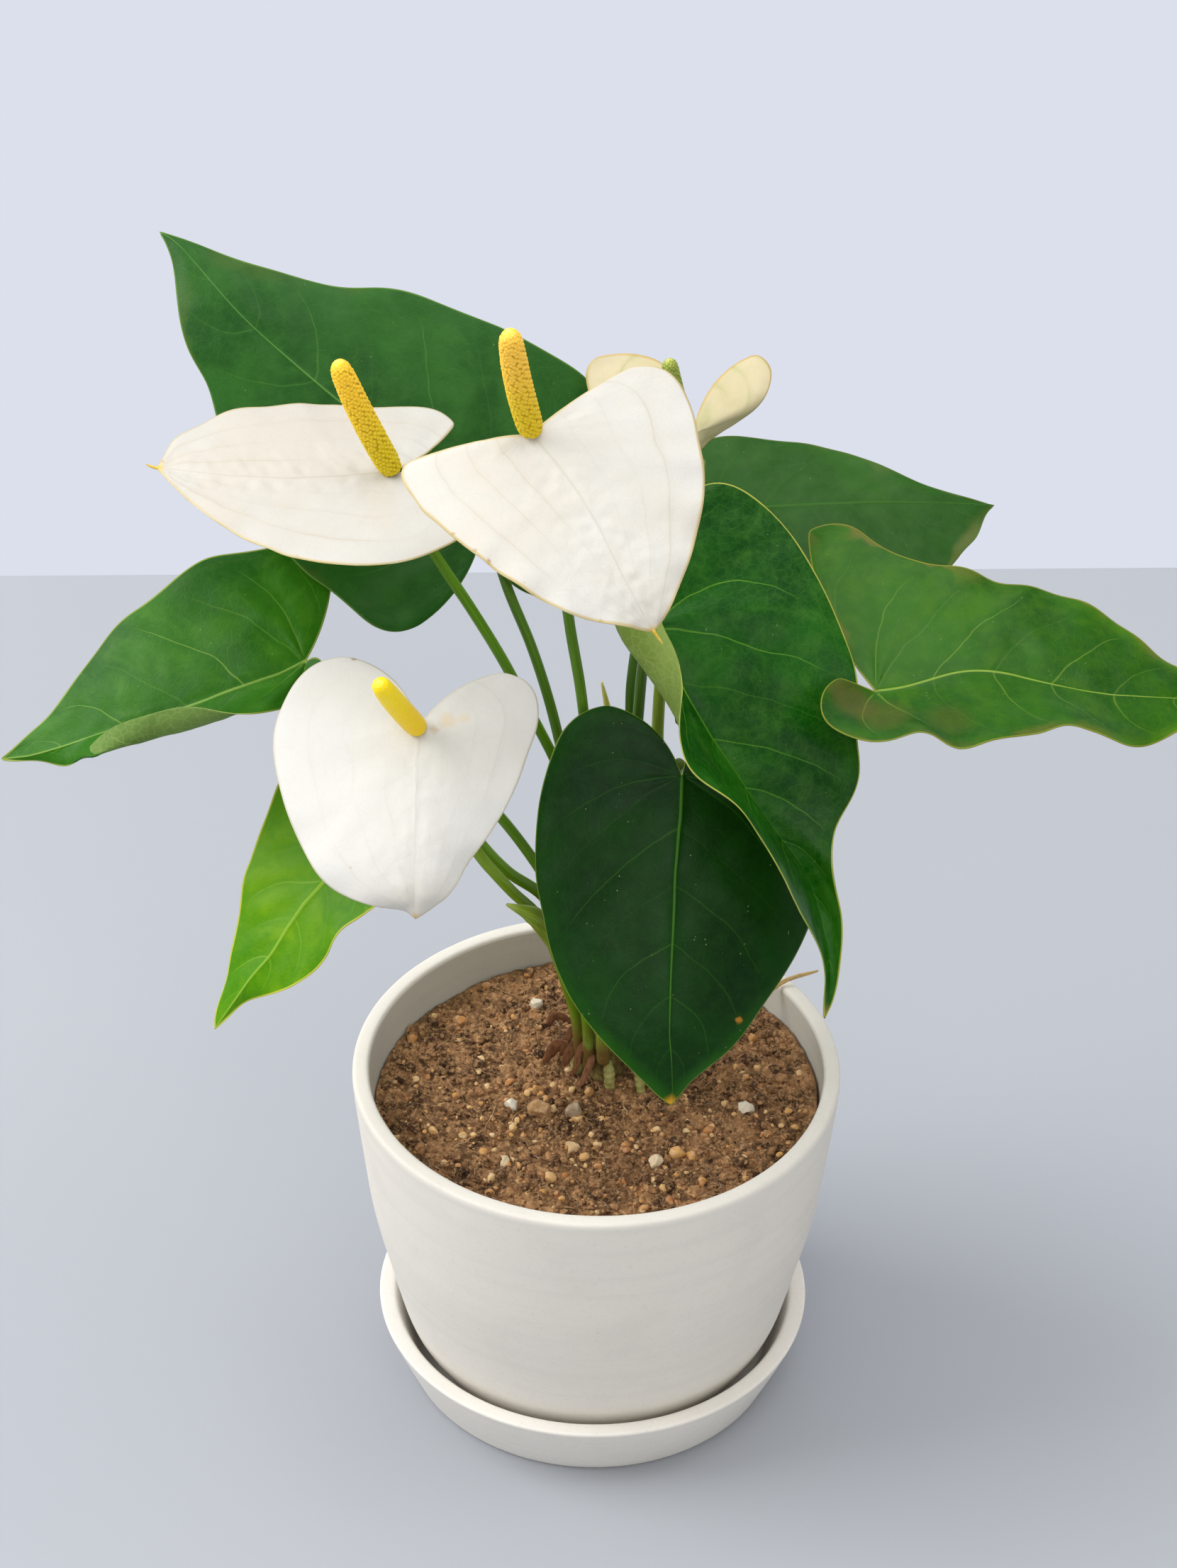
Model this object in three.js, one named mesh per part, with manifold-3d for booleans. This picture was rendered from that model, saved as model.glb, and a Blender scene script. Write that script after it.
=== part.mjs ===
// Potted anthurium: a plant with seven leaves and four flowers in a round pot that stands on its saucer.
// Millimetres, +Z up. The origin is the centre of the saucer's underside, and the front faces -Y.
import * as THREE from 'three';
import { mergeVertices } from 'three/addons/utils/BufferGeometryUtils.js';
import Module from 'manifold-3d';

// ---- driving dimensions ----
const ROUND = 48;              // facets round the pot, the saucer and the soil
const GAP = 0.3;               // clearance between pieces that touch
const SAUCER_TOP = 31.6;       // height of the saucer's rim
const SAUCER_RIM_R = 91.3;     // outer radius of the saucer's rim
const SAUCER_FOOT_R = 79.5;    // outer radius where the saucer meets the table
const SAUCER_FLOOR = 6.7;      // top of the saucer's floor
const POT_FOOT = SAUCER_FLOOR + GAP;   // underside of the pot
const POT_TOP = 153.5;         // height of the pot's rim
const POT_RIM_R = 100;         // outer radius of the pot's rim
const POT_WALL = 7;            // wall thickness of the pot
const DRAIN_R = 6;             // radius of the drainage hole
const POT_FLOOR = 14.5;        // top of the pot's floor
const SOIL_LEVEL = 133.6;      // mean height of the potting mix
const CROWN = [4, 17];         // where the rootstock stands
const CROWN_R = 9;             // radius of the rootstock
const CROWN_TOP = 160.5;       // top of the rootstock
const LEAF_HALF = 0.4;         // half the thickness of a leaf blade
const SPATHE_HALF = 0.5;       // half the thickness of a spathe
const ROW_STEPS = 3;           // facets from midrib to margin

const wasm = await Module();
wasm.setup();

// ---- materials ----
const mat = (color, roughness, metalness = 0) => new THREE.MeshStandardMaterial({ color, roughness, metalness });
const POT_CLAY = mat(0xd6d4ce, 0.75);
const SOIL = mat(0x5e4636, 0.95);
const LEAF_DARK = mat(0x1d4a1c, 0.35);
const LEAF_MID = mat(0x2f6b24, 0.38);
const LEAF_YOUNG = mat(0x6fa61c, 0.4);
const STEM = mat(0x3f7a1c, 0.42);
const STEM_YOUNG = mat(0x8aa62a, 0.45);
const SPATHE = mat(0xf4f1e8, 0.5);
const SPATHE_OLD = mat(0xe4e6bf, 0.55);
const SPADIX = mat(0xc9a93a, 0.7);
const SPADIX_YOUNG = mat(0xf0c800, 0.5);
const SPADIX_OLD = mat(0x7d8f3a, 0.7);
const ROOT = mat(0xb9bf84, 0.6);
const DRY = mat(0x9a6238, 0.85);
const STONE_PALE = mat(0xcfc0a6, 0.85);
const STONE_BROWN = mat(0x9a7650, 0.9);

// ---- solid builders ----
// A closed mesh holding only positions, with shared vertices merged and its faces pointing out.
function solid(geometry) {
  let g = geometry.clone();
  for (const name of Object.keys(g.attributes)) if (name !== 'position') g.deleteAttribute(name);
  g = mergeVertices(g, 1e-4);
  const p = g.attributes.position;
  const src = g.index.array;
  const keep = [];
  for (let i = 0; i < src.length; i += 3) {
    const [a, b, c] = [src[i], src[i + 1], src[i + 2]];
    if (a !== b && b !== c && a !== c) keep.push(a, b, c);
  }
  let volume = 0;
  const A = new THREE.Vector3(), B = new THREE.Vector3(), C = new THREE.Vector3();
  for (let i = 0; i < keep.length; i += 3) {
    A.fromBufferAttribute(p, keep[i]);
    B.fromBufferAttribute(p, keep[i + 1]);
    C.fromBufferAttribute(p, keep[i + 2]);
    volume += A.dot(B.clone().cross(C));
  }
  if (volume < 0) for (let i = 0; i < keep.length; i += 3) [keep[i + 1], keep[i + 2]] = [keep[i + 2], keep[i + 1]];
  g.setIndex(keep);
  return g;
}
function fromTriangles(points, triangles) {
  const g = new THREE.BufferGeometry();
  g.setAttribute('position', new THREE.Float32BufferAttribute(points.flat(), 3));
  g.setIndex(triangles.flat());
  return solid(g);
}
const toManifold = (g) => new wasm.Manifold(new wasm.Mesh({
  numProp: 3,
  vertProperties: new Float32Array(g.attributes.position.array),
  triVerts: new Uint32Array(g.index.array),
}));
function fromManifold(m) {
  const out = m.getMesh();
  const g = new THREE.BufferGeometry();
  g.setAttribute('position', new THREE.Float32BufferAttribute(out.vertProperties, 3));
  g.setIndex([...out.triVerts]);
  return g;
}
// A body of revolution about +Z from [radius, height] pairs.
function turned(profile, segments, at = [0, 0]) {
  const g = new THREE.LatheGeometry(profile.map(([r, z]) => new THREE.Vector2(r, z)), segments);
  g.rotateX(Math.PI / 2);
  g.scale(1, 1, 1);
  g.translate(at[0], at[1], 0);
  return solid(g);
}
// A round rod of one radius along a path.
function rod(path, radius, sides = 8, steps = path.length - 1) {
  const curve = new THREE.CatmullRomCurve3(path.map((q) => new THREE.Vector3(...q)));
  const ring = [];
  for (let i = 0; i < sides; i += 1) {
    const a = (i / sides) * Math.PI * 2;
    ring.push(new THREE.Vector2(radius * Math.cos(a), radius * Math.sin(a)));
  }
  return solid(new THREE.ExtrudeGeometry(new THREE.Shape(ring), { steps, extrudePath: curve, bevelEnabled: false }));
}
// A tapering rod: half-widths [a, b] across the path at each of its points, closed by a point at both ends.
function taper(path, halves, sides = 8, flatUp = [0, 0, 1]) {
  const P = path.map((q) => new THREE.Vector3(...q));
  const up = new THREE.Vector3(...flatUp);
  const points = [];
  const tris = [];
  P.forEach((q, i) => {
    const t = P[Math.min(i + 1, P.length - 1)].clone().sub(P[Math.max(i - 1, 0)]).normalize();
    const u = new THREE.Vector3().crossVectors(t, up).normalize();
    const w = new THREE.Vector3().crossVectors(u, t).normalize();
    const [a, b] = Array.isArray(halves[i]) ? halves[i] : [halves[i], halves[i]];
    for (let k = 0; k < sides; k += 1) {
      const f = (k / sides) * Math.PI * 2;
      const v = q.clone().addScaledVector(u, a * Math.cos(f)).addScaledVector(w, b * Math.sin(f));
      points.push([v.x, v.y, v.z]);
    }
  });
  const n = P.length;
  for (let i = 0; i < n - 1; i += 1) {
    for (let k = 0; k < sides; k += 1) {
      const a = i * sides + k, b = i * sides + ((k + 1) % sides), c = a + sides, d = b + sides;
      tris.push([a, b, c], [b, d, c]);
    }
  }
  points.push([P[0].x, P[0].y, P[0].z], [P[n - 1].x, P[n - 1].y, P[n - 1].z]);
  const first = n * sides, last = first + 1, e = (n - 1) * sides;
  for (let k = 0; k < sides; k += 1) {
    const k1 = (k + 1) % sides;
    tris.push([first, k1, k], [last, e + k, e + k1]);
  }
  return fromTriangles(points, tris);
}
// A thin blade: two halves that share a midrib. Each row of a half runs from the midrib (or the point where the
// stalk joins) through a middle point to the margin; rows go from the back of the lobe to the tip.
function blade({ left, right }, half) {
  const points = [];
  const key = new Map();
  const id = (v) => {
    const k = v.map((x) => Math.round(x * 50)).join(',');
    if (!key.has(k)) { key.set(k, points.length); points.push(v); }
    return key.get(k);
  };
  const faces = [];
  [left, right].forEach((rows, side) => {
    const grid = rows.map(([I, M, O]) => {
      const line = [];
      for (let j = 0; j <= ROW_STEPS; j += 1) {
        const t = j / ROW_STEPS;
        line.push(id(I.map((x, a) => {
          const c = 2 * M[a] - 0.5 * (x + O[a]);
          return (1 - t) * (1 - t) * x + 2 * t * (1 - t) * c + t * t * O[a];
        })));
      }
      return line;
    });
    for (let i = 0; i < grid.length - 1; i += 1) {
      for (let j = 0; j < ROW_STEPS; j += 1) {
        const [a, b, c, d] = [grid[i][j], grid[i][j + 1], grid[i + 1][j + 1], grid[i + 1][j]];
        for (const f of [[a, b, c], [a, c, d]]) {
          if (f[0] === f[1] || f[1] === f[2] || f[0] === f[2]) continue;
          faces.push(side ? [f[0], f[2], f[1]] : f);
        }
      }
    }
  });
  const normals = points.map(() => new THREE.Vector3());
  const v = (i) => new THREE.Vector3(...points[i]);
  for (const f of faces) {
    const n = v(f[1]).sub(v(f[0])).cross(v(f[2]).sub(v(f[0])));
    f.forEach((i) => normals[i].add(n));
  }
  normals.forEach((n) => n.normalize());
  const off = (s) => points.map((p, i) => [p[0] + s * normals[i].x, p[1] + s * normals[i].y, p[2] + s * normals[i].z]);
  const all = [...off(half), ...off(-half)];
  const m = points.length;
  const tris = [...faces, ...faces.map(([a, b, c]) => [a + m, c + m, b + m])];
  const edges = new Map();
  for (const [a, b, c] of faces) for (const [s, e] of [[a, b], [b, c], [c, a]]) edges.set(`${s},${e}`, [s, e]);
  for (const [s, e] of edges.values()) {
    if (edges.has(`${e},${s}`)) continue;
    tris.push([s, s + m, e], [e, s + m, e + m]);
  }
  return fromTriangles(all, tris);
}

// ---- blade nets ----
// Each row of a half is [on the midrib, halfway, on the margin]. The first four rows fan out from the stalk joint
// over the basal lobe, and the rest leave the midrib one after another down to the tip.
const BLADES = {
  leaf_back_left: {
    left: [
      [[-47.4,58,382],[-38.6,44.4,357.4],[-12.3,45.1,348.9]],
      [[-47.4,58,382],[-25.4,57.7,372.8],[2.9,63.7,368.5]],
      [[-47.4,58,382],[-22.6,69.4,388.3],[2.3,82.7,393.6]],
      [[-47.4,58,382],[-27.8,76.9,400.7],[-8.1,97.4,418.8]],
      [[-47.4,58,382],[-41.3,79.8,407.3],[-35.2,102.7,432.3]],
      [[-64.6,62.3,392.6],[-58.5,83.5,415.7],[-52.3,106.1,438.3]],
      [[-81.5,67.8,403.1],[-75.6,87.9,423.8],[-69.7,109.6,443.9]],
      [[-98.6,73.9,413],[-93,92,430.8],[-87.5,111.8,447.8]],
      [[-115.1,81.4,423.2],[-110.5,95.5,435.9],[-106,111.2,447.9]],
      [[-131.3,90.5,433.2],[-127.7,101.1,442.5],[-124.1,113,451.2]],
      [[-146.9,100.8,443.4],[-144.5,108,449.3],[-142.2,116.2,454.6]],
      [[-161.6,114.3,453.7],[-160.7,118,456.4],[-159.9,122.4,458.8]],
      [[-178.2,128.3,461.6],[-178.2,128.3,461.6],[-178.2,128.3,461.6]]],
    right: [
      [[-47.4,58,382],[-53.9,38.2,363.3],[-71,20,351.1]],
      [[-47.4,58,382],[-63.2,36.3,365],[-82.4,13.2,351.8]],
      [[-47.4,58,382],[-70.5,37.6,368.8],[-93.1,14.2,357.9]],
      [[-47.4,58,382],[-75.3,40.3,372],[-102.6,19.6,364.1]],
      [[-47.4,58,382],[-80.6,42.9,374.3],[-113.3,25.3,368.5]],
      [[-64.6,62.3,392.6],[-95.8,49.7,384.5],[-126.5,35.5,377.6]],
      [[-81.5,67.8,403.1],[-109.3,58,395.5],[-136.8,47.2,388.6]],
      [[-98.6,73.9,413],[-122.2,67,406.6],[-145.6,59.7,400.4]],
      [[-115.1,81.4,423.2],[-134,77.1,417.9],[-152.9,72.7,412.7]],
      [[-131.3,90.5,433.2],[-145.8,87.9,429],[-160.3,85.7,424.6]],
      [[-146.9,100.8,443.4],[-157.4,99.7,440.2],[-168,99.1,436.6]],
      [[-161.6,114.3,453.7],[-166.4,113.9,451.8],[-171.3,113.9,449.6]],
      [[-178.2,128.3,461.6],[-178.2,128.3,461.6],[-178.2,128.3,461.6]]],
  },
  leaf_left: {
    left: [
      [[-112.8,-5,349.3],[-105.9,17,360],[-106.2,42.9,369.3]],
      [[-112.8,-5,349.3],[-114.2,17.9,361],[-118.3,43.6,371.7]],
      [[-112.8,-5,349.3],[-121.5,17.2,360.6],[-130.7,41.4,371.1]],
      [[-112.8,-5,349.3],[-127.6,16,360.1],[-142.8,38.6,370.3]],
      [[-112.8,-5,349.3],[-133.6,14.8,359.5],[-155,35.7,369.3]],
      [[-126.3,-9.4,344.4],[-146,9.6,354.2],[-166,29.8,363.6]],
      [[-140.7,-12,339.9],[-158.1,5.3,348.2],[-175.9,23.8,355.9]],
      [[-154.9,-14.5,334.7],[-170.8,1.8,342.2],[-187.1,19.1,349.2]],
      [[-169.5,-15.7,329.6],[-182.3,-2.2,335.4],[-195.4,12.2,340.7]],
      [[-184.5,-15.6,323.9],[-193.5,-5.8,328],[-202.7,4.7,331.7]],
      [[-199.5,-15.3,317.5],[-205.1,-8.9,320.3],[-210.9,-2.1,322.8]],
      [[-214.9,-13.6,310.4],[-218,-9.9,312.1],[-221.1,-5.9,313.7]],
      [[-231.3,-8.9,303.7],[-231.3,-8.9,303.7],[-231.3,-8.9,303.7]]],
    right: [
      [[-112.8,-5,349.3],[-108.7,-5.5,352.1],[-105.6,-9.1,352.2]],
      [[-112.8,-5,349.3],[-110.1,-10.2,349],[-107.6,-17.2,348.2]],
      [[-112.8,-5,349.3],[-112.7,-14,346.9],[-112.5,-24.3,345.4]],
      [[-112.8,-5,349.3],[-116,-17.1,346.5],[-119,-31,345.1]],
      [[-112.8,-5,349.3],[-119.9,-19.3,347],[-126.5,-35.9,346.4]],
      [[-126.3,-9.4,344.4],[-141,-27.5,338.1],[-139.6,-36.6,346.9]],
      [[-140.7,-12,339.9],[-154.3,-29.1,334.1],[-153.3,-32.1,346.1]],
      [[-154.9,-14.5,334.7],[-167.3,-30.4,330.2],[-167,-29.5,341.4]],
      [[-169.5,-15.7,329.6],[-180.3,-31.3,326.1],[-180.7,-26.6,333.9]],
      [[-184.5,-15.6,323.9],[-191.8,-32.3,321.3],[-193.6,-22.3,322.3]],
      [[-199.5,-15.3,317.5],[-201.1,-18.7,313.4],[-202.8,-22,309.3]],
      [[-214.9,-13.6,310.4],[-215.8,-13.8,308.9],[-216.8,-13.8,307.3]],
      [[-231.3,-8.9,303.7],[-231.3,-8.9,303.7],[-231.3,-8.9,303.7]]],
  },
  leaf_lower_left: {
    left: [
      [[-92.7,-34,285.3],[-94.8,-21.3,295.7],[-104.7,-8,302.3]],
      [[-92.7,-34,285.3],[-102.6,-19.2,295.2],[-115.4,-3.8,303.5]],
      [[-92.7,-34,285.3],[-108,-20.6,291.6],[-123.4,-6.6,297.6]],
      [[-92.7,-34,285.3],[-109.9,-23.8,287.3],[-127.4,-13,289.1]],
      [[-92.7,-34,285.3],[-111.8,-27,283.1],[-131.1,-19.6,280.6]],
      [[-99.6,-39.6,278.6],[-116.8,-32.8,276.1],[-134.2,-25.5,273.2]],
      [[-107,-44.4,271.8],[-121.9,-38.2,269],[-137,-31.4,265.8]],
      [[-114,-48.8,264.2],[-126,-43.5,261.4],[-138.3,-37.5,258.1]],
      [[-120,-53.3,255.9],[-129.7,-48.7,253.3],[-139.5,-43.3,250.2]],
      [[-126.2,-57.5,247.2],[-133.6,-53.3,244.8],[-141.1,-48.6,242]],
      [[-133.5,-60.5,238.6],[-138.3,-57.3,236.2],[-143.3,-53.3,233.4]],
      [[-140.2,-62.3,228.1],[-143,-60.2,226.5],[-145.9,-57.7,224.6]],
      [[-147.2,-62,215.8],[-147.2,-62,215.8],[-147.2,-62,215.8]]],
    right: [
      [[-92.7,-34,285.3],[-84.6,-33.7,290.6],[-75.6,-35,294.6]],
      [[-92.7,-34,285.3],[-79.5,-38.4,290.2],[-66.2,-44,295]],
      [[-92.7,-34,285.3],[-79.7,-43,286.8],[-66.8,-53.1,289.1]],
      [[-92.7,-34,285.3],[-83.2,-45.5,283.5],[-73.6,-58.2,282.7]],
      [[-92.7,-34,285.3],[-87.9,-46.4,280.4],[-82.9,-60,276.4]],
      [[-99.6,-39.6,278.6],[-95.5,-50,273.9],[-91.3,-61.2,270]],
      [[-107,-44.4,271.8],[-102.9,-53.2,267],[-98.7,-62.7,262.8]],
      [[-114,-48.8,264.2],[-108.6,-57.4,259],[-103.2,-66.3,254.2]],
      [[-120,-53.3,255.9],[-115.4,-60.4,251],[-110.7,-67.7,246.3]],
      [[-126.2,-57.5,247.2],[-123,-62.1,243.2],[-119.8,-66.8,239.2]],
      [[-133.5,-60.5,238.6],[-131.8,-62.3,235.9],[-130.1,-64,233.1]],
      [[-140.2,-62.3,228.1],[-139.7,-62.4,226.8],[-139.2,-62.4,225.3]],
      [[-147.2,-62,215.8],[-147.2,-62,215.8],[-147.2,-62,215.8]]],
  },
  leaf_back_right: {
    left: [
      [[42.8,98,358.4],[27.8,109.5,363.1],[28.7,129.3,370]],
      [[42.8,98,358.4],[36.6,113.5,364.4],[36,132.3,371.1]],
      [[42.8,98,358.4],[43.1,116.1,365.2],[43.5,134.7,372]],
      [[42.8,98,358.4],[46.9,116.5,365.3],[51.2,135.3,372.1]],
      [[42.8,98,358.4],[50.7,116.1,365],[58.8,134.6,371.8]],
      [[56.6,99.1,359.5],[63.9,116,365.3],[71.3,133.3,371.1]],
      [[70.5,100.6,360.1],[77.1,115.7,365.2],[83.8,131.3,370.3]],
      [[84.4,102.3,360.3],[90.2,115.7,364.9],[96.2,129.3,369.4]],
      [[98.4,104.4,360.1],[103,114.3,363.5],[107.7,124.3,366.9]],
      [[112.4,106.8,359.3],[115.8,113.4,361.6],[119.1,119.9,363.9]],
      [[126.6,109.3,358.2],[128.7,113.1,359.5],[130.8,117,360.7]],
      [[140.8,112.1,356.4],[141.8,113.7,356.9],[142.8,115.4,357.3]],
      [[155.2,115.5,354],[155.2,115.5,354],[155.2,115.5,354]]],
    right: [
      [[42.8,98,358.4],[30.5,82.7,351.6],[36.5,65.7,342.3]],
      [[42.8,98,358.4],[41,80.1,349.6],[45.7,62.4,339.7]],
      [[42.8,98,358.4],[49.1,78.7,348.4],[55.3,60.6,337.9]],
      [[42.8,98,358.4],[54.1,78.1,347.7],[65.2,59.4,336.6]],
      [[42.8,98,358.4],[59.1,78.1,347.4],[75.3,59.5,336]],
      [[56.6,99.1,359.5],[72.1,78.8,347.9],[87.4,60,335.8]],
      [[70.5,100.6,360.1],[85,80.2,348.5],[99.5,61.3,336.3]],
      [[84.4,102.3,360.3],[97.8,83.1,349.4],[111.2,65.4,338]],
      [[98.4,104.4,360.1],[110.4,87.4,350.3],[122.4,71.7,339.9]],
      [[112.4,106.8,359.3],[122.7,93,351.2],[133,80.2,342.6]],
      [[126.6,109.3,358.2],[134,100,352.5],[141.4,91.4,346.3]],
      [[140.8,112.1,356.4],[144.9,106.9,353.2],[148.9,102.3,349.8]],
      [[155.2,115.5,354],[155.2,115.5,354],[155.2,115.5,354]]],
  },
  leaf_centre_right: {
    left: [
      [[17.7,-6,370.2],[8.2,-8.1,395],[12.9,-8.5,395.3]],
      [[17.7,-6,370.2],[2.6,-16.6,387.1],[19.3,-20.7,392.9]],
      [[17.7,-6,370.2],[4.8,-22.3,378.7],[21.9,-33.1,386.3]],
      [[17.7,-6,370.2],[14,-28.3,366.3],[27.8,-42.2,379.1]],
      [[17.7,-6,370.2],[23.6,-33.7,354.3],[29.8,-52.1,370.8]],
      [[27.2,-16,354.8],[28.2,-38.4,352.6],[28.2,-65.5,359.3]],
      [[37.8,-24.7,339.1],[37.3,-47.5,342],[36.8,-73.6,347.6]],
      [[49.7,-31.6,323.2],[50.3,-52,328.7],[50.7,-75.8,336.9]],
      [[61.8,-37.1,306.2],[62,-55.5,312.7],[62,-77.2,321.8]],
      [[74.9,-43,290.2],[72.4,-59.7,296],[69.7,-79.3,303.9]],
      [[83.8,-52.4,273.7],[81.9,-63.3,277.8],[79.9,-76.1,283.4]],
      [[88.2,-63.7,256.6],[87.1,-68.3,258.3],[85.9,-73.8,260.7]],
      [[87.5,-72.3,236.9],[87.5,-72.3,236.9],[87.5,-72.3,236.9]]],
    right: [
      [[17.7,-6,370.2],[16.7,9,386.2],[23.9,26.8,399.3]],
      [[17.7,-6,370.2],[29.5,16.1,389.5],[44.4,40,407.7]],
      [[17.7,-6,370.2],[41.5,13.6,381.9],[65.6,33.9,393.6]],
      [[17.7,-6,370.2],[48.9,6.9,373.5],[80.6,19,377.4]],
      [[17.7,-6,370.2],[54.6,0.1,363.7],[91.8,4.8,358.2]],
      [[27.2,-16,354.8],[61.9,-9.7,348.6],[97,-4.3,343]],
      [[37.8,-24.7,339.1],[67.1,-19,332.9],[96.6,-13.7,327]],
      [[49.7,-31.6,323.2],[73.7,-27.7,317.5],[97.9,-24.4,312.1]],
      [[61.8,-37.1,306.2],[75.3,-36.8,303.5],[88.8,-37.9,301.8]],
      [[74.9,-43,290.2],[82.2,-45.3,288.2],[89.4,-49.2,287.3]],
      [[83.8,-52.4,273.7],[88.4,-54.4,271.9],[93,-57.5,270.8]],
      [[88.2,-63.7,256.6],[90.4,-64.5,255],[92.5,-65.4,253.5]],
      [[87.5,-72.3,236.9],[87.5,-72.3,236.9],[87.5,-72.3,236.9]]],
  },
  leaf_right: {
    left: [
      [[103.3,-8,344],[84.8,25.4,357.2],[78.1,66.7,369.6]],
      [[103.3,-8,344],[95.5,27.4,358.8],[91.8,67.6,372.9]],
      [[103.3,-8,344],[103.3,23.9,357.4],[103.3,58.2,370.2]],
      [[103.3,-8,344],[109.5,20.4,356.2],[115.9,50.4,368.1]],
      [[103.3,-8,344],[116.3,19.1,355.4],[129.7,47.6,366.6]],
      [[120.1,-4.8,346.3],[132.4,19.9,355.4],[145.1,46.1,364.1]],
      [[136.8,0.2,348.5],[148.2,20.8,354.9],[160,43.1,360.6]],
      [[154.1,1.3,347.1],[164.6,20.9,352.9],[175.5,42.1,358.1]],
      [[171,0.2,343.5],[180.5,18.6,349],[190.4,38.6,353.9]],
      [[188.3,0.6,340],[195.7,15.6,344.1],[203.3,31.9,347.6]],
      [[206.1,3.4,337],[210.8,13.7,339.2],[215.8,25.1,340.8]],
      [[224.3,8.7,332.9],[227,14.4,334],[229.7,20.8,334.7]],
      [[243,15.6,327.9],[243,15.6,327.9],[243,15.6,327.9]]],
    right: [
      [[103.3,-8,344],[96,-9.6,348.5],[88.7,-12.8,353.5]],
      [[103.3,-8,344],[92.2,-17.2,347.3],[81.1,-28.2,351.7]],
      [[103.3,-8,344],[95.3,-23.3,345.2],[87.3,-40.7,347.9]],
      [[103.3,-8,344],[101.6,-25.2,344.1],[99.7,-44.5,345.9]],
      [[103.3,-8,344],[108,-23.8,344.6],[112.5,-41.9,347]],
      [[120.1,-4.8,346.3],[123.8,-22.9,344.9],[127.2,-43.2,345.2]],
      [[136.8,0.2,348.5],[140.3,-19.4,345.3],[143.4,-40.8,343.8]],
      [[154.1,1.3,347.1],[157.2,-14.7,344.9],[160.1,-32.2,344]],
      [[171,0.2,343.5],[173.6,-11.5,342.7],[176,-24.6,342.9]],
      [[188.3,0.6,340],[189.9,-11.8,337.4],[191.3,-25.2,335.7]],
      [[206.1,3.4,337],[207.1,-7.1,333.4],[208.1,-18.1,330.2]],
      [[224.3,8.7,332.9],[225,3.3,330.8],[225.6,-2.4,328.9]],
      [[243,15.6,327.9],[243,15.6,327.9],[243,15.6,327.9]]],
  },
  leaf_front: {
    left: [
      [[30.9,-28,317.2],[19.6,-17.9,331.3],[2,-11.2,337.4]],
      [[30.9,-28,317.2],[10.3,-20.9,325.8],[-12.6,-14.2,331.1]],
      [[30.9,-28,317.2],[5.7,-25.4,318],[-19.5,-21.7,318]],
      [[30.9,-28,317.2],[3.8,-29.7,311.1],[-23.4,-30.4,304.2]],
      [[30.9,-28,317.2],[3.4,-34.3,304.1],[-24.3,-39.8,290.3]],
      [[30.6,-38.2,305.3],[3.7,-43.7,292.4],[-23.4,-48.1,278.5]],
      [[29.5,-47.7,293],[4.9,-52.7,280.6],[-19.9,-56.2,267]],
      [[29,-56.2,279.9],[6.5,-60.9,268.4],[-16.1,-64.5,255.8]],
      [[28.8,-64.3,266.5],[9.2,-68.8,256.2],[-10.5,-72.4,245.1]],
      [[28.4,-72.4,253],[13.3,-76.1,244.7],[-1.8,-79.1,235.8]],
      [[28.4,-80.2,239.3],[18.4,-82.6,233.3],[8.3,-84.4,226.7]],
      [[29.7,-86,223.9],[24.2,-87.3,220.6],[18.8,-88.1,216.9]],
      [[29.8,-90.5,207.4],[29.8,-90.5,207.4],[29.8,-90.5,207.4]]],
    right: [
      [[30.9,-28,317.2],[37.2,-18.6,328.7],[51.4,-11.8,332.5]],
      [[30.9,-28,317.2],[46.3,-21.2,322.5],[64.6,-13.7,324]],
      [[30.9,-28,317.2],[52.2,-24.5,315.3],[73.8,-18.2,311.6]],
      [[30.9,-28,317.2],[55.3,-27.4,308.6],[80,-23.6,297.6]],
      [[30.9,-28,317.2],[57,-30.6,301.5],[83.5,-29.4,282.8]],
      [[30.6,-38.2,305.3],[57.2,-39.4,289.3],[84.4,-35.8,269.5]],
      [[29.5,-47.7,293],[55,-48.1,277.4],[81.1,-43.4,257.7]],
      [[29,-56.2,279.9],[51.6,-56.1,265.5],[74.6,-51.2,247.3]],
      [[28.8,-64.3,266.5],[47.8,-64.1,253.8],[67.3,-59.5,237.7]],
      [[28.4,-72.4,253],[43.6,-72.6,242.9],[59,-69.6,230.2]],
      [[28.4,-80.2,239.3],[38.9,-80.4,232.2],[49.5,-78.4,223.2]],
      [[29.7,-86,223.9],[34.1,-86.1,220.6],[38.6,-85.2,216.3]],
      [[29.8,-90.5,207.4],[29.8,-90.5,207.4],[29.8,-90.5,207.4]]],
  },
  spathe_left: {
    left: [
      [[-80,12,423],[-67.3,27.3,423.5],[-58.1,48.9,423.6]],
      [[-80,12,423],[-73.7,33.6,424.1],[-68.7,58.8,424.6]],
      [[-80,12,423],[-80.4,34.4,424.2],[-80.8,58.8,424.7]],
      [[-80,12,423],[-86.3,33.8,424.2],[-92.8,57.4,424.8]],
      [[-80,12,423],[-92.3,34.4,424.4],[-105,58.5,425.3]],
      [[-90.8,9.7,423],[-102.4,32.8,424.5],[-114.5,57.3,425.6]],
      [[-101.5,7.9,422.9],[-112.5,31.3,424.6],[-124,56.2,426]],
      [[-112.3,6.7,422.8],[-122.6,29.8,424.6],[-133.3,54,426.2]],
      [[-123.2,6.2,422.7],[-132.7,28.1,424.5],[-142.5,51,426.1]],
      [[-134.2,6.9,422.7],[-142.4,25.7,424.1],[-150.9,45.5,425.3]],
      [[-145.3,8.7,422.2],[-151.7,23,423.3],[-158.4,37.9,424.1]],
      [[-156.5,12.1,421.4],[-160.5,20.2,422.1],[-164.6,28.7,422.6]],
      [[-168,16,420.4],[-168,16,420.4],[-168,16,420.4]]],
    right: [
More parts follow.
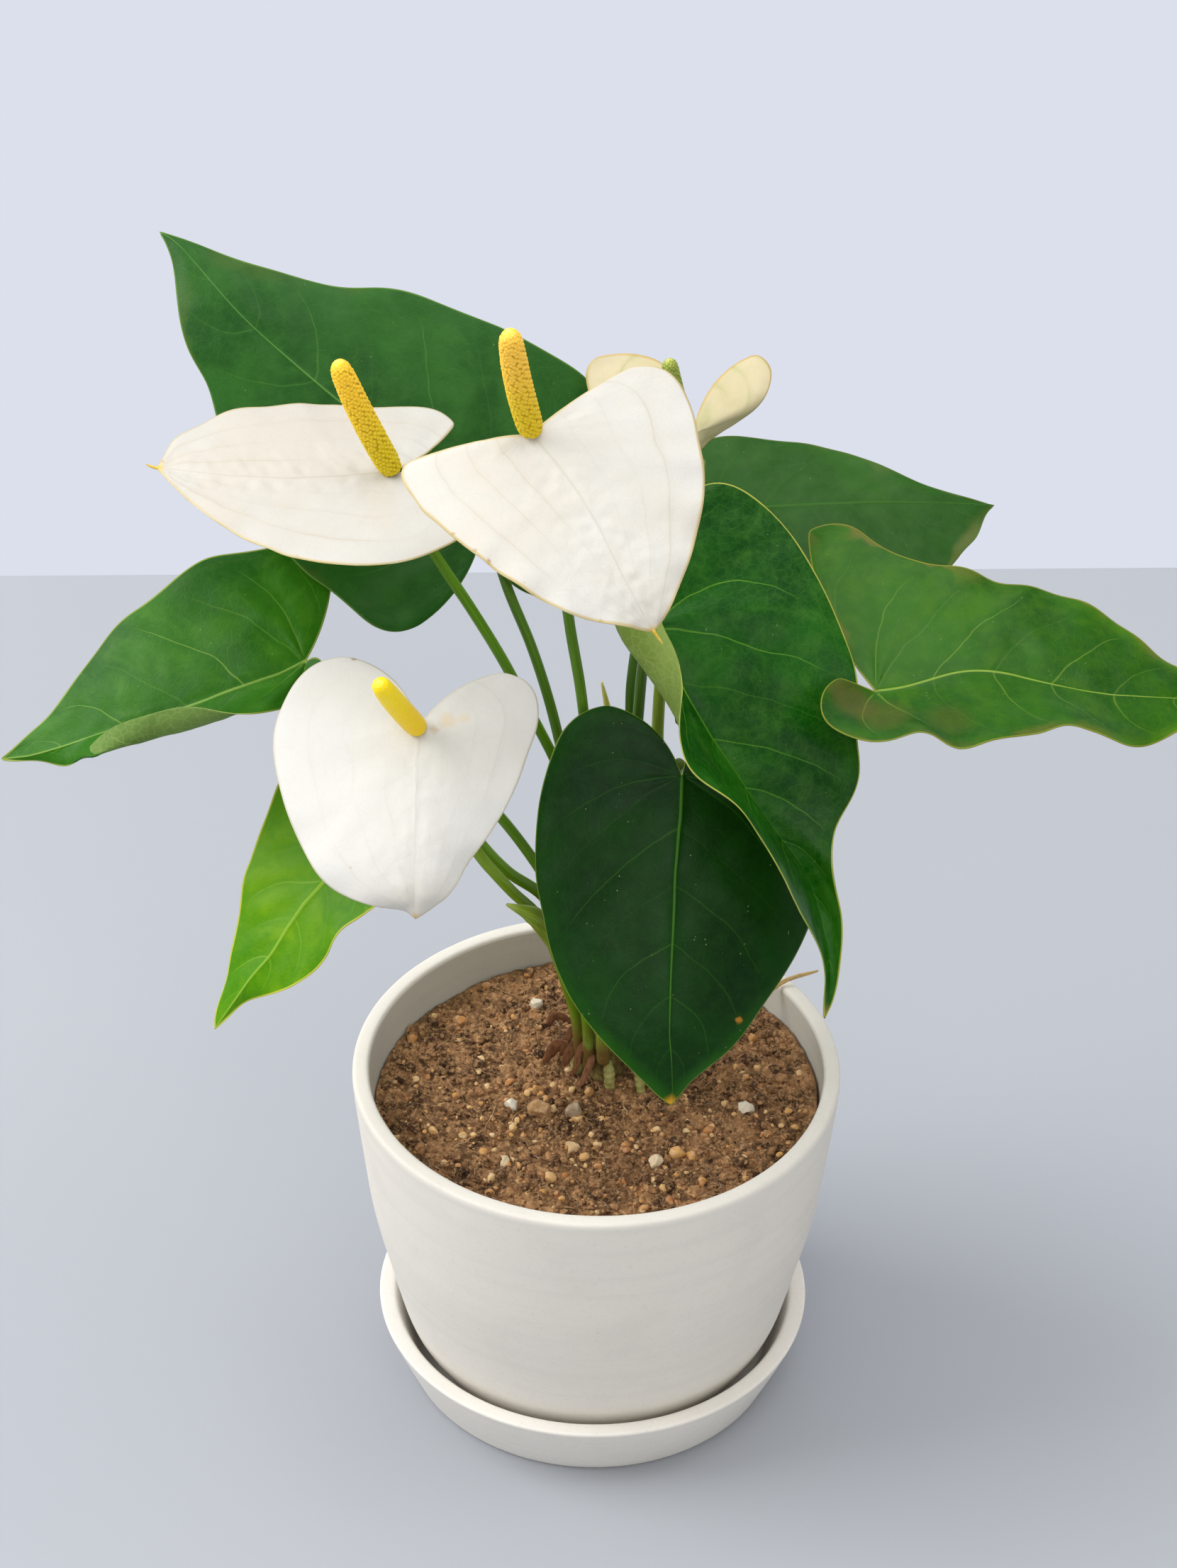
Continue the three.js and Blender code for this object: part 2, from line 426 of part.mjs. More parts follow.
      [[-80,12,423],[-61.2,6.3,423],[-46.1,-13.6,421.8]],
      [[-80,12,423],[-67.9,-9,421.6],[-57.2,-35.1,420.2]],
      [[-80,12,423],[-77,-16.8,420.9],[-74,-45.8,419.4]],
      [[-80,12,423],[-86.3,-17.6,420.7],[-92.2,-47.4,419.1]],
      [[-80,12,423],[-95.7,-15.8,420.8],[-110.7,-43.7,419.1]],
      [[-90.8,9.7,423],[-104.8,-15.2,420.9],[-118.3,-40.1,419.3]],
      [[-101.5,7.9,422.9],[-113.8,-13.7,421.1],[-125.8,-35.4,419.6]],
      [[-112.3,6.7,422.8],[-122.9,-11.4,421.2],[-133.2,-29.7,420]],
      [[-123.2,6.2,422.7],[-132,-8.5,421.3],[-140.6,-23.3,420.2]],
      [[-134.2,6.9,422.7],[-140.9,-3.8,421.5],[-147.5,-14.4,420.4]],
      [[-145.3,8.7,422.2],[-150,1.5,421.3],[-154.7,-5.6,420.3]],
      [[-156.5,12.1,421.4],[-159,8.4,420.9],[-161.5,4.7,420.4]],
      [[-168,16,420.4],[-168,16,420.4],[-168,16,420.4]]],
  },
  spathe_right: {
    left: [
      [[-26.7,-36,468.5],[-48.9,-39,465.3],[-70.5,-43.5,459.5]],
      [[-26.7,-36,468.5],[-48.8,-44.2,462.8],[-70.6,-52.7,455.9]],
      [[-26.7,-36,468.5],[-46,-48.8,460.4],[-65.1,-61.1,452.1]],
      [[-26.7,-36,468.5],[-42.3,-51.9,458.8],[-57.6,-67.6,449.3]],
      [[-26.7,-36,468.5],[-38.5,-55,457.2],[-50.2,-74.3,446.4]],
      [[-19.7,-43.7,464],[-31.1,-61.9,453.5],[-42.3,-80.3,443.4]],
      [[-13,-51.3,459.2],[-23.8,-68.3,449.4],[-34.4,-85.5,440.1]],
      [[-7,-59,454],[-16.7,-74.2,445.1],[-26.4,-89.7,436.5]],
      [[-1.5,-66.8,448.5],[-9.7,-79.6,440.8],[-17.9,-92.5,433.2]],
      [[3.3,-74.6,442.6],[-3,-84.8,436.2],[-9.3,-94.9,429.9]],
      [[8.2,-81.7,436.3],[4.1,-88.4,432],[0,-95,427.6]],
      [[13.2,-87.8,429.6],[11.3,-90.7,427.4],[9.4,-93.5,425.1]],
      [[18.8,-91.6,421.8],[18.8,-91.6,421.8],[18.8,-91.6,421.8]]],
    right: [
      [[-26.7,-36,468.5],[-10.2,-22.6,475.9],[7.9,-10.1,481.7]],
      [[-26.7,-36,468.5],[-4.8,-22.3,475.2],[18,-8.2,481.1]],
      [[-26.7,-36,468.5],[-0.5,-24.9,473],[26,-12.6,476.9]],
      [[-26.7,-36,468.5],[1.7,-29.1,470.2],[30.4,-21,471.2]],
      [[-26.7,-36,468.5],[3,-33.7,467.2],[32.8,-30.6,465.4]],
      [[-19.7,-43.7,464],[7.5,-42,462.4],[34.7,-39.4,460.2]],
      [[-13,-51.3,459.2],[11.1,-50.1,457.3],[35.4,-47.8,454.7]],
      [[-7,-59,454],[13.6,-58.2,451.9],[34.3,-56.2,449.2]],
      [[-1.5,-66.8,448.5],[15.5,-66.2,446.5],[32.5,-64.4,443.8]],
      [[3.3,-74.6,442.6],[16.7,-74,440.8],[30.1,-72.4,438.5]],
      [[8.2,-81.7,436.3],[17.6,-81.3,435.1],[27,-80.1,433.3]],
      [[13.2,-87.8,429.6],[18.3,-87.5,428.8],[23.5,-86.4,427.5]],
      [[18.8,-91.6,421.8],[18.8,-91.6,421.8],[18.8,-91.6,421.8]]],
  },
  spathe_lower: {
    left: [
      [[-65.7,-62,360],[-76.5,-46.1,369.7],[-94.6,-36.2,372.7]],
      [[-65.7,-62,360],[-86.4,-50.6,365.7],[-110,-40.1,368.2]],
      [[-65.7,-62,360],[-91.6,-58.1,360],[-117.8,-52.4,358.7]],
      [[-65.7,-62,360],[-92.4,-65.4,355],[-119.2,-67.5,349]],
      [[-65.7,-62,360],[-90.1,-72.7,350.1],[-114.5,-82.3,339.4]],
      [[-65.8,-71.2,355.7],[-88.4,-81.1,345.6],[-111,-89.4,334.4]],
      [[-65.9,-79.7,350.9],[-86.4,-89,341],[-107.1,-96.1,329.5]],
      [[-65.7,-87.7,345.9],[-84,-96.3,336.3],[-102.4,-102.5,324.9]],
      [[-65.5,-95.2,340.6],[-81,-102.9,331.7],[-96.6,-108,320.8]],
      [[-65.3,-102.2,334.9],[-77.1,-108.2,327.4],[-89.1,-111.7,318.1]],
      [[-65.2,-108.3,328.6],[-72.8,-111.9,323.4],[-80.7,-113.3,316.5]],
      [[-64.9,-113.3,321.6],[-68.5,-114.5,319],[-72.1,-114.1,315.2]],
      [[-64.5,-116,312.8],[-64.5,-116,312.8],[-64.5,-116,312.8]]],
    right: [
      [[-65.7,-62,360],[-53.2,-50.5,368.3],[-36,-43.8,372.4]],
      [[-65.7,-62,360],[-46.3,-54.4,365.6],[-25.1,-47.7,369.3]],
      [[-65.7,-62,360],[-44,-60.3,361.4],[-22.3,-57.5,362]],
      [[-65.7,-62,360],[-45.5,-65.1,357.8],[-25.4,-67.2,354.8]],
      [[-65.7,-62,360],[-47.2,-70,354.2],[-28.8,-76.9,347.6]],
      [[-65.8,-71.2,355.7],[-48.8,-78,349.9],[-31.9,-83.1,342.9]],
      [[-65.9,-79.7,350.9],[-50.6,-85.4,345.5],[-35.5,-89,338.4]],
      [[-65.7,-87.7,345.9],[-52.6,-92.3,340.8],[-39.7,-94.4,334]],
      [[-65.5,-95.2,340.6],[-54.8,-98.7,336.1],[-44.1,-99.6,329.7]],
      [[-65.3,-102.2,334.9],[-56.7,-104.8,331],[-48.2,-105,325.2]],
      [[-65.2,-108.3,328.6],[-58.6,-110.3,325.4],[-52.2,-110.1,320.5]],
      [[-64.9,-113.3,321.6],[-61.3,-114.3,319.5],[-57.8,-113.8,316.3]],
      [[-64.5,-116,312.8],[-64.5,-116,312.8],[-64.5,-116,312.8]]],
  },
  spathe_rear: {
    left: [
      [[32.1,58,416.5],[21.3,84.8,430.9],[-6.2,91,431]],
      [[32.1,58,416.5],[14.1,75,423.2],[-9.9,86.5,424.1]],
      [[32.1,58,416.5],[12.8,67.3,417.6],[-6.8,79.2,417.4]],
      [[32.1,58,416.5],[15.2,63.2,415],[-1.9,70.8,412.1]],
      [[32.1,58,416.5],[17.9,59.2,412.5],[3.6,62.9,407.1]],
      [[31.3,55.2,414.6],[18.6,56.5,410.7],[5.9,60.3,405.4]],
      [[30.5,52.7,412.6],[19.4,54,408.9],[8.3,57.7,403.8]],
      [[29.7,50.4,410.5],[20.2,51.7,407],[10.7,55.2,402.2]],
      [[28.9,48.2,408.3],[21,49.4,405.1],[13.2,52.7,400.7]],
      [[28,46.5,405.8],[22,47.7,403.1],[16,50.7,399.4]],
      [[27,45.7,402.9],[23,46.6,400.9],[19,48.9,398.3]],
      [[26.1,45.4,399.6],[24.1,45.9,398.6],[22.1,47.2,397.2]],
      [[25.2,45.5,396.1],[25.2,45.5,396.1],[25.2,45.5,396.1]]],
    right: [
      [[32.1,58,416.5],[39.7,77.7,427.6],[56,90.8,433.9]],
      [[32.1,58,416.5],[45.6,70.5,423.5],[62.2,81.1,428.8]],
      [[32.1,58,416.5],[44.5,64.6,419],[57,72.1,421]],
      [[32.1,58,416.5],[39.4,63,415.7],[46.8,70.2,413.7]],
      [[32.1,58,416.5],[34.5,59.8,413.2],[36.9,64,408.7]],
      [[31.3,55.2,414.6],[33.3,57.4,411.5],[35.3,61.8,407.1]],
      [[30.5,52.7,412.6],[32.4,54.9,409.6],[34.4,59.3,405.3]],
      [[29.7,50.4,410.5],[31.5,52.5,407.6],[33.5,56.7,403.5]],
      [[28.9,48.2,408.3],[30.4,50.2,405.7],[32.1,54.3,401.9]],
      [[28,46.5,405.8],[29.3,48.3,403.6],[30.7,51.9,400.3]],
      [[27,45.7,402.9],[28,47,401.2],[29,49.7,398.8]],
      [[26.1,45.4,399.6],[26.6,46.1,398.7],[27.1,47.6,397.4]],
      [[25.2,45.5,396.1],[25.2,45.5,396.1],[25.2,45.5,396.1]]],
  },
};

// ---- stalks, from the rootstock upwards ----
const STALKS = {
  petiole_back_left: { radius: 2.2, path: [[-3.6,26.8,144],[-4.1,27.5,168.1],[-4.6,26.2,192.2],[-5.5,24.8,216.4],[-7.4,23.8,240.4],[-10.9,23.9,264.4],[-15.6,24.7,288],[-21.4,30.1,310.8],[-29.1,37.5,332.4],[-38.6,46.4,352.8],[-46,57,373]] },
  petiole_left: { radius: 2.2, path: [[-7.2,22.2,146],[-8.6,23.1,169.7],[-11.4,20.5,193.1],[-14.1,12.2,215.4],[-18.7,4.1,237.3],[-27.9,-0.6,258.8],[-40,-3.1,279.3],[-55.2,-3,297.7],[-71.5,-3,315.2],[-88.7,-3,331.7],[-108.9,-2,344.3]] },
  petiole_lower_left: { radius: 2.3, path: [[-6.8,10.7,146],[-8.8,10.6,168],[-13.2,6.2,189.2],[-16.6,-2.7,209.4],[-20.1,-12.9,228.8],[-24.8,-23.9,247.6],[-32.9,-34.7,265.2],[-41.9,-43.2,283.7],[-53.6,-46.2,301.4],[-73.8,-40.7,305],[-89.6,-35.3,290.9]] },
  petiole_back_right: { radius: 2.2, path: [[6.6,29.1,146],[6.7,29.9,169.8],[7.5,30.4,193.6],[8.4,30.9,217.4],[9.3,31.2,241.1],[10.1,32.8,264.9],[10.6,38.9,287.8],[10.6,49.5,309.1],[14.6,65.8,325.8],[26.2,81.6,339.2],[40.1,96,351.9]] },
  petiole_centre_right: { radius: 2.35, path: [[8.9,15.2,161.3],[8.9,14.4,181.5],[7.6,11.6,201.7],[7.9,9.7,222],[9.2,8.6,242.3],[10.6,7.6,262.6],[11.7,6.5,283],[12.8,5.9,303.3],[13.8,6.4,323.7],[14.8,4.4,343.7],[16.7,-3,362.6]] },
  petiole_right: { radius: 2.3, path: [[16.4,16.1,143],[17.3,15.8,164.4],[24,17.2,184.8],[33.1,18.1,204.3],[43.1,18.1,223.3],[53.8,18.1,242],[64.9,18.2,260.5],[75.9,17.4,278.9],[86.3,14.9,297.6],[95.4,9.6,316.4],[100.6,-1,334.1]] },
  petiole_front: { radius: 2.3, path: [[14.7,10.8,144],[15,9.9,161.9],[15.9,8.3,179.8],[17.2,6.3,197.6],[18.9,4.1,215.4],[20.9,1.4,233.1],[22.8,-1.7,250.6],[24.4,-5.5,268.1],[25.6,-9.6,285.6],[26.9,-13,303.2],[29.5,-21.5,317.6]] },
  peduncle_left: { radius: 2.15, path: [[-0.9,18.8,161.3],[-1.9,17.5,188.5],[-4.2,14.2,215.7],[-7,10.9,242.8],[-10.7,8.7,269.9],[-17.4,6.4,296.4],[-28.3,7.2,321.5],[-37.8,2.3,346.7],[-50.1,0.9,371.1],[-64.7,5.3,393.6],[-79.2,13.5,415.2]] },
  peduncle_right: { radius: 2.15, path: [[2.2,12.1,161.3],[1.5,11,191.6],[-0.5,8.5,221.8],[-2.4,5.3,252],[-4,1.1,282],[-5.7,-3.6,312],[-8.3,-8.1,341.9],[-12.2,-13.6,371.5],[-15,-23,400.3],[-18.8,-29.3,429.7],[-24.5,-34,459.1]] },
  peduncle_lower: { radius: 2.3, path: [[-3,6.6,146],[-4,5.3,169],[-7,1.2,191.4],[-10.8,-4.6,213.3],[-15.4,-11.4,234.8],[-23,-20.4,254.5],[-34.6,-30.5,271.5],[-44.8,-38.5,290.5],[-53.2,-45.4,310.8],[-58.7,-52.9,331.8],[-63.9,-60,353.1]] },
  peduncle_rear: { radius: 2.5, path: [[13.2,25.3,145],[13.5,25.4,171.3],[13.7,23.6,197.7],[17,23.9,224],[20.1,24.5,250.4],[22,25.2,276.8],[21.5,28.1,303.1],[23.2,34.5,328.5],[30.8,42,352.9],[35.4,51.7,377],[34.5,59.7,402.1]] },
  new_leaf_sheath: { radii: [2.6,2.7,2.8,2.9,3,3.1,3.3,3.4,3.8,4.1,0.7], path: [[2.6,3.5,151],[2.2,1.8,164.6],[2.3,-1.9,177.8],[0.2,-6.8,190.4],[-3.5,-12.3,202.5],[-7.8,-17.9,214.2],[-12.5,-23.7,225.8],[-17,-29.5,237.3],[-20.9,-35.6,249],[-25,-42.4,260.2],[-34.6,-47,268.4]] },
  new_shoot: { radii: [2.1,2.1,2.1,2.1,2.1,2.1,2.1,2.1,2,1.7,0.5], path: [[5.8,21.9,161.3],[6,22.3,178.5],[5.4,21.3,195.6],[5,20.1,212.7],[4.9,19.1,229.9],[5,18.2,247],[5.1,17.1,264.2],[4.6,15.7,281.3],[3.8,14,298.4],[2.4,12.7,315.5],[-0.6,12,332.3]] },
};

// ---- spadices ----
const SPADICES = {
  spadix_left: { radius: 4.7, foot: [-79.9,11,425.4], tip: [-98.2,3,474.4] },
  spadix_right: { radius: 4.8, foot: [-26.4,-37,470.5], tip: [-33.5,-52,517.4] },
  spadix_lower: { radius: 4.3, foot: [-66.4,-64,360.7], tip: [-78.9,-82,392] },
  spadix_rear: { radius: 3.6, foot: [29.6,56,419.4], tip: [21.9,52,451.6] },
};

// ---- holder ----
const group = new THREE.Group();
function add(name, geometry, material) {
  const mesh = new THREE.Mesh(geometry, material);
  mesh.name = name;
  group.add(mesh);
  return mesh;
}

add('saucer', turned([
  [0, 0], [77.6, 0], [SAUCER_FOOT_R, 1.6], [SAUCER_RIM_R - 0.6, SAUCER_TOP - 3.4], [SAUCER_RIM_R, SAUCER_TOP - 1.6],
  [SAUCER_RIM_R - 1.4, SAUCER_TOP], [85.0, SAUCER_TOP], [83.5, SAUCER_TOP - 1.4], [74.8, 9], [71.5, SAUCER_FLOOR], [0, SAUCER_FLOOR],
], ROUND), POT_CLAY);

const potOuter = [[64, POT_FOOT], [70.2, 11.5], [77.3, 24], [81.6, 35], [87.4, 60], [93.5, 90], [97.1, 120], [99.6, 146],
  [POT_RIM_R, 150], [98.9, 152.9], [97.2, POT_TOP], [95.0, POT_TOP], [93.4, 152.7], [93.0, 150.4]];
const potInner = [[90.5, 120], [86.6, 90], [80.4, 60], [74.4, 35], [69.4, 23.5], [62.5, 16.6], [57, POT_FLOOR]];
const potRing = [[DRAIN_R, POT_FOOT], ...potOuter, ...potInner, [DRAIN_R, POT_FLOOR]];
add('pot', turned([...potRing, potRing[0]], ROUND), POT_CLAY);

// ---- potting mix ----
// Its top is a little higher towards +X and heaped round the rootstock.
function soilHeight(x, y) {
  const dx = x - CROWN[0], dy = y - 12;
  return SOIL_LEVEL + 0.03 * x + 0.006 * y + 2.2 * Math.exp(-(dx * dx + dy * dy) / (2 * 26 * 26));
}
function soilBody() {
  const points = [];
  const tris = [];
  const top = [16, 34, 52, 71, 91.05];
  const side = [[90.05, 120], [86.15, 90], [79.95, 60], [73.95, 35], [68.95, 23.8], [62.2, 17.1], [56.8, 15]];
  const rings = [];
  const ring = (r, height) => {
    const ids = [];
    for (let k = 0; k < ROUND; k += 1) {
      const a = (k / ROUND) * Math.PI * 2;
      const x = r * Math.sin(a), y = r * Math.cos(a);
      ids.push(points.push([x, y, height(x, y)]) - 1);
    }
    rings.push(ids);
  };
  for (const r of top) ring(r, soilHeight);
  for (const [r, z] of side) ring(r, () => z);
  const c0 = points.push([0, 0, soilHeight(0, 0)]) - 1;
  const c1 = points.push([0, 0, 15]) - 1;
  for (let k = 0; k < ROUND; k += 1) {
    const n = (k + 1) % ROUND;
    tris.push([c0, rings[0][k], rings[0][n]], [c1, rings.at(-1)[n], rings.at(-1)[k]]);
    for (let i = 0; i < rings.length - 1; i += 1) {
      tris.push([rings[i][k], rings[i + 1][k], rings[i][n]], [rings[i][n], rings[i + 1][k], rings[i + 1][n]]);
    }
  }
  return fromTriangles(points, tris);
}

// Larger stones lying in the surface: [name, x, y, radius, flatness, material].
const STONES = [
  ['stone_white', -34.7, -6.3, 3.7, 0.8, STONE_PALE],
  ['stone_brown', -22.4, -10.4, 5.2, 0.7, STONE_BROWN],
  ['stone_grey', -8.4, -11.5, 4.3, 0.7, STONE_BROWN],
  ['stone_tan', -9.1, -33.4, 3.5, 0.75, STONE_PALE],
  ['stone_front_left', -36.4, -41, 3.3, 0.75, STONE_PALE],
  ['stone_right', 61.9, -8.3, 4.0, 0.75, STONE_PALE],
  ['stone_front_right', 25.2, -41.6, 3.4, 0.8, STONE_PALE],
  ['stone_back_left', -27.3, 60.2, 3.8, 0.7, STONE_PALE],
];
function stoneBody(index, scale = 1) {
  const [, x, y, r, flat] = STONES[index];
  const g = new THREE.IcosahedronGeometry(1, 1);
  const p = g.attributes.position;
  const grow = r + (scale > 1 ? GAP : 0);
  for (let i = 0; i < p.count; i += 1) {
    const [a, b, c] = [p.getX(i), p.getY(i), p.getZ(i)];
    const f = 1 + 0.1 * Math.sin(3.1 * a + 1.7 * index) * Math.cos(2.3 * b + index) + 0.06 * Math.sin(4 * c + 2 * index);
    p.setXYZ(i, a * f * grow, b * f * grow * 0.88, c * f * (r * flat + (scale > 1 ? GAP : 0)));
  }
  g.rotateZ(1.3 * index);
  g.translate(x, y, soilHeight(x, y) + 0.22 * r * flat);
  return solid(g);
}

const crownProfile = (grow) => [[0, 131 - grow], [8.2 + grow, 131.4 - grow], [CROWN_R + 0.3 + grow, 136], [CROWN_R + grow, 150],
  [8.3 + grow, 157.2], [6.2 + grow, 159.9], [0, CROWN_TOP + grow]];
let soil = toManifold(soilBody());
STONES.forEach((s, i) => { soil = soil.subtract(toManifold(stoneBody(i, 2))); });
soil = soil.subtract(toManifold(turned(crownProfile(GAP), 12, CROWN)));
add('potting_mix', fromManifold(soil), SOIL);
STONES.forEach((s, i) => add(s[0], stoneBody(i), s[5]));

// ---- rootstock, roots and dry matter ----
add('rootstock', turned(crownProfile(0), 12, CROWN), DRY);
add('aerial_root_left', taper([[-7.6, 16.6, 155.4], [-8.6, 16.2, 152], [-8.9, 15.8, 146], [-8.4, 15.6, 140], [-7.8, 15.4, 136.4]], [2.1, 2.7, 2.8, 2.6, 2.0]), ROOT);
add('aerial_root_middle', taper([[4.9, 4.8, 146.6], [5.1, 4.6, 144.5], [5.5, 4.3, 140.5], [5.9, 4.2, 136.7]], [1.5, 2.1, 2.2, 1.7]), ROOT);
add('aerial_root_right', taper([[16.6, 3.6, 146.2], [17.4, 2.8, 144], [18.2, 1.8, 140.4], [18.8, 1.2, 137]], [1.2, 1.8, 1.9, 1.4]), ROOT);
add('dry_sheath_long', taper([[-12.4, 13.4, 152], [-15.4, 15.4, 150.4], [-18.8, 18.0, 144.6], [-21.6, 20.4, 137.3]], [[1.2, 0.5], [2.4, 0.5], [2.3, 0.5], [1.0, 0.4]], 8), DRY);
add('dry_sheath_short', taper([[-12.2, 23.2, 157], [-15.4, 24.4, 157.8], [-18.8, 25.6, 156], [-20.6, 26.4, 151.8]], [[0.9, 0.5], [2.0, 0.5], [1.9, 0.5], [0.7, 0.4]], 8), DRY);
add('dry_straw', taper([[48, 38, 138.4], [64, 48.5, 147.4], [78, 54.2, 155.8], [92, 58.8, 158.2]], [0.9, 1.2, 1.1, 0.7], 6), DRY);

// ---- leaves and spathes ----
const LEAF_COLOURS = { leaf_lower_left: LEAF_YOUNG, leaf_right: LEAF_MID, leaf_left: LEAF_MID };
for (const [name, net] of Object.entries(BLADES)) {
  const spathe = name.startsWith('spathe');
  const colour = spathe ? (name === 'spathe_rear' ? SPATHE_OLD : SPATHE) : (LEAF_COLOURS[name] ?? LEAF_DARK);
  add(name, blade(net, spathe ? SPATHE_HALF : LEAF_HALF), colour);
}

// ---- stalks ----
for (const [name, { radius, radii, path }] of Object.entries(STALKS)) {
  if (radius) add(name, rod(path, radius), STEM);
  else add(name, taper(path, radii), STEM_YOUNG);
}

// ---- spadices ----
const SPADIX_COLOURS = { spadix_lower: SPADIX_YOUNG, spadix_rear: SPADIX_OLD };
for (const [name, { radius, foot, tip }] of Object.entries(SPADICES)) {
  const from = new THREE.Vector3(...foot);
  const axis = new THREE.Vector3(...tip).sub(from);
  const length = axis.length();
  const g = new THREE.LatheGeometry([[0, 0], [0.62, 0.4], [0.93, 2.2], [1, 0.3 * length], [0.95, 0.7 * length], [0.82, length - 2.6],
    [0.5, length - 0.7], [0, length]].map(([f, z]) => new THREE.Vector2(f * radius, z)), 10);
  g.applyQuaternion(new THREE.Quaternion().setFromUnitVectors(new THREE.Vector3(0, 1, 0), axis.clone().normalize()));
  g.translate(...foot);
  add(name, solid(g), SPADIX_COLOURS[name] ?? SPADIX);
}

export default group;
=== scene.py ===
"""Potted anthurium: a houseplant with heart-shaped leaves and white spathes, in a plain planter on its saucer.

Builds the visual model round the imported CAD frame. Lengths in the tables are in millimetres, in the row frame.
"""

import math

import bpy
import numpy as np
from mathutils import Matrix, Vector, noise


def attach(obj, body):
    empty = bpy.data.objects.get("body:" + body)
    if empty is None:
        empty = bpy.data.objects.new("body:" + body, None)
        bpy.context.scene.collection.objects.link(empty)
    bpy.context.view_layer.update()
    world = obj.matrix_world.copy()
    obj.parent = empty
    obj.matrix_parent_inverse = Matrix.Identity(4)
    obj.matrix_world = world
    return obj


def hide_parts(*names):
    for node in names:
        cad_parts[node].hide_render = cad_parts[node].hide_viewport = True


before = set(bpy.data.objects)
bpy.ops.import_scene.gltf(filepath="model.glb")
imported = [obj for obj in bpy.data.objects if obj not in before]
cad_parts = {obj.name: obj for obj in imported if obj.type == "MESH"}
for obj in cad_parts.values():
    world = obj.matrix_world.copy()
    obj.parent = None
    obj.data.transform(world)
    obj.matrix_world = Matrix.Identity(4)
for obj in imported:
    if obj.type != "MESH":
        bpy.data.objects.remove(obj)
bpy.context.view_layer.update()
MM = 0.001

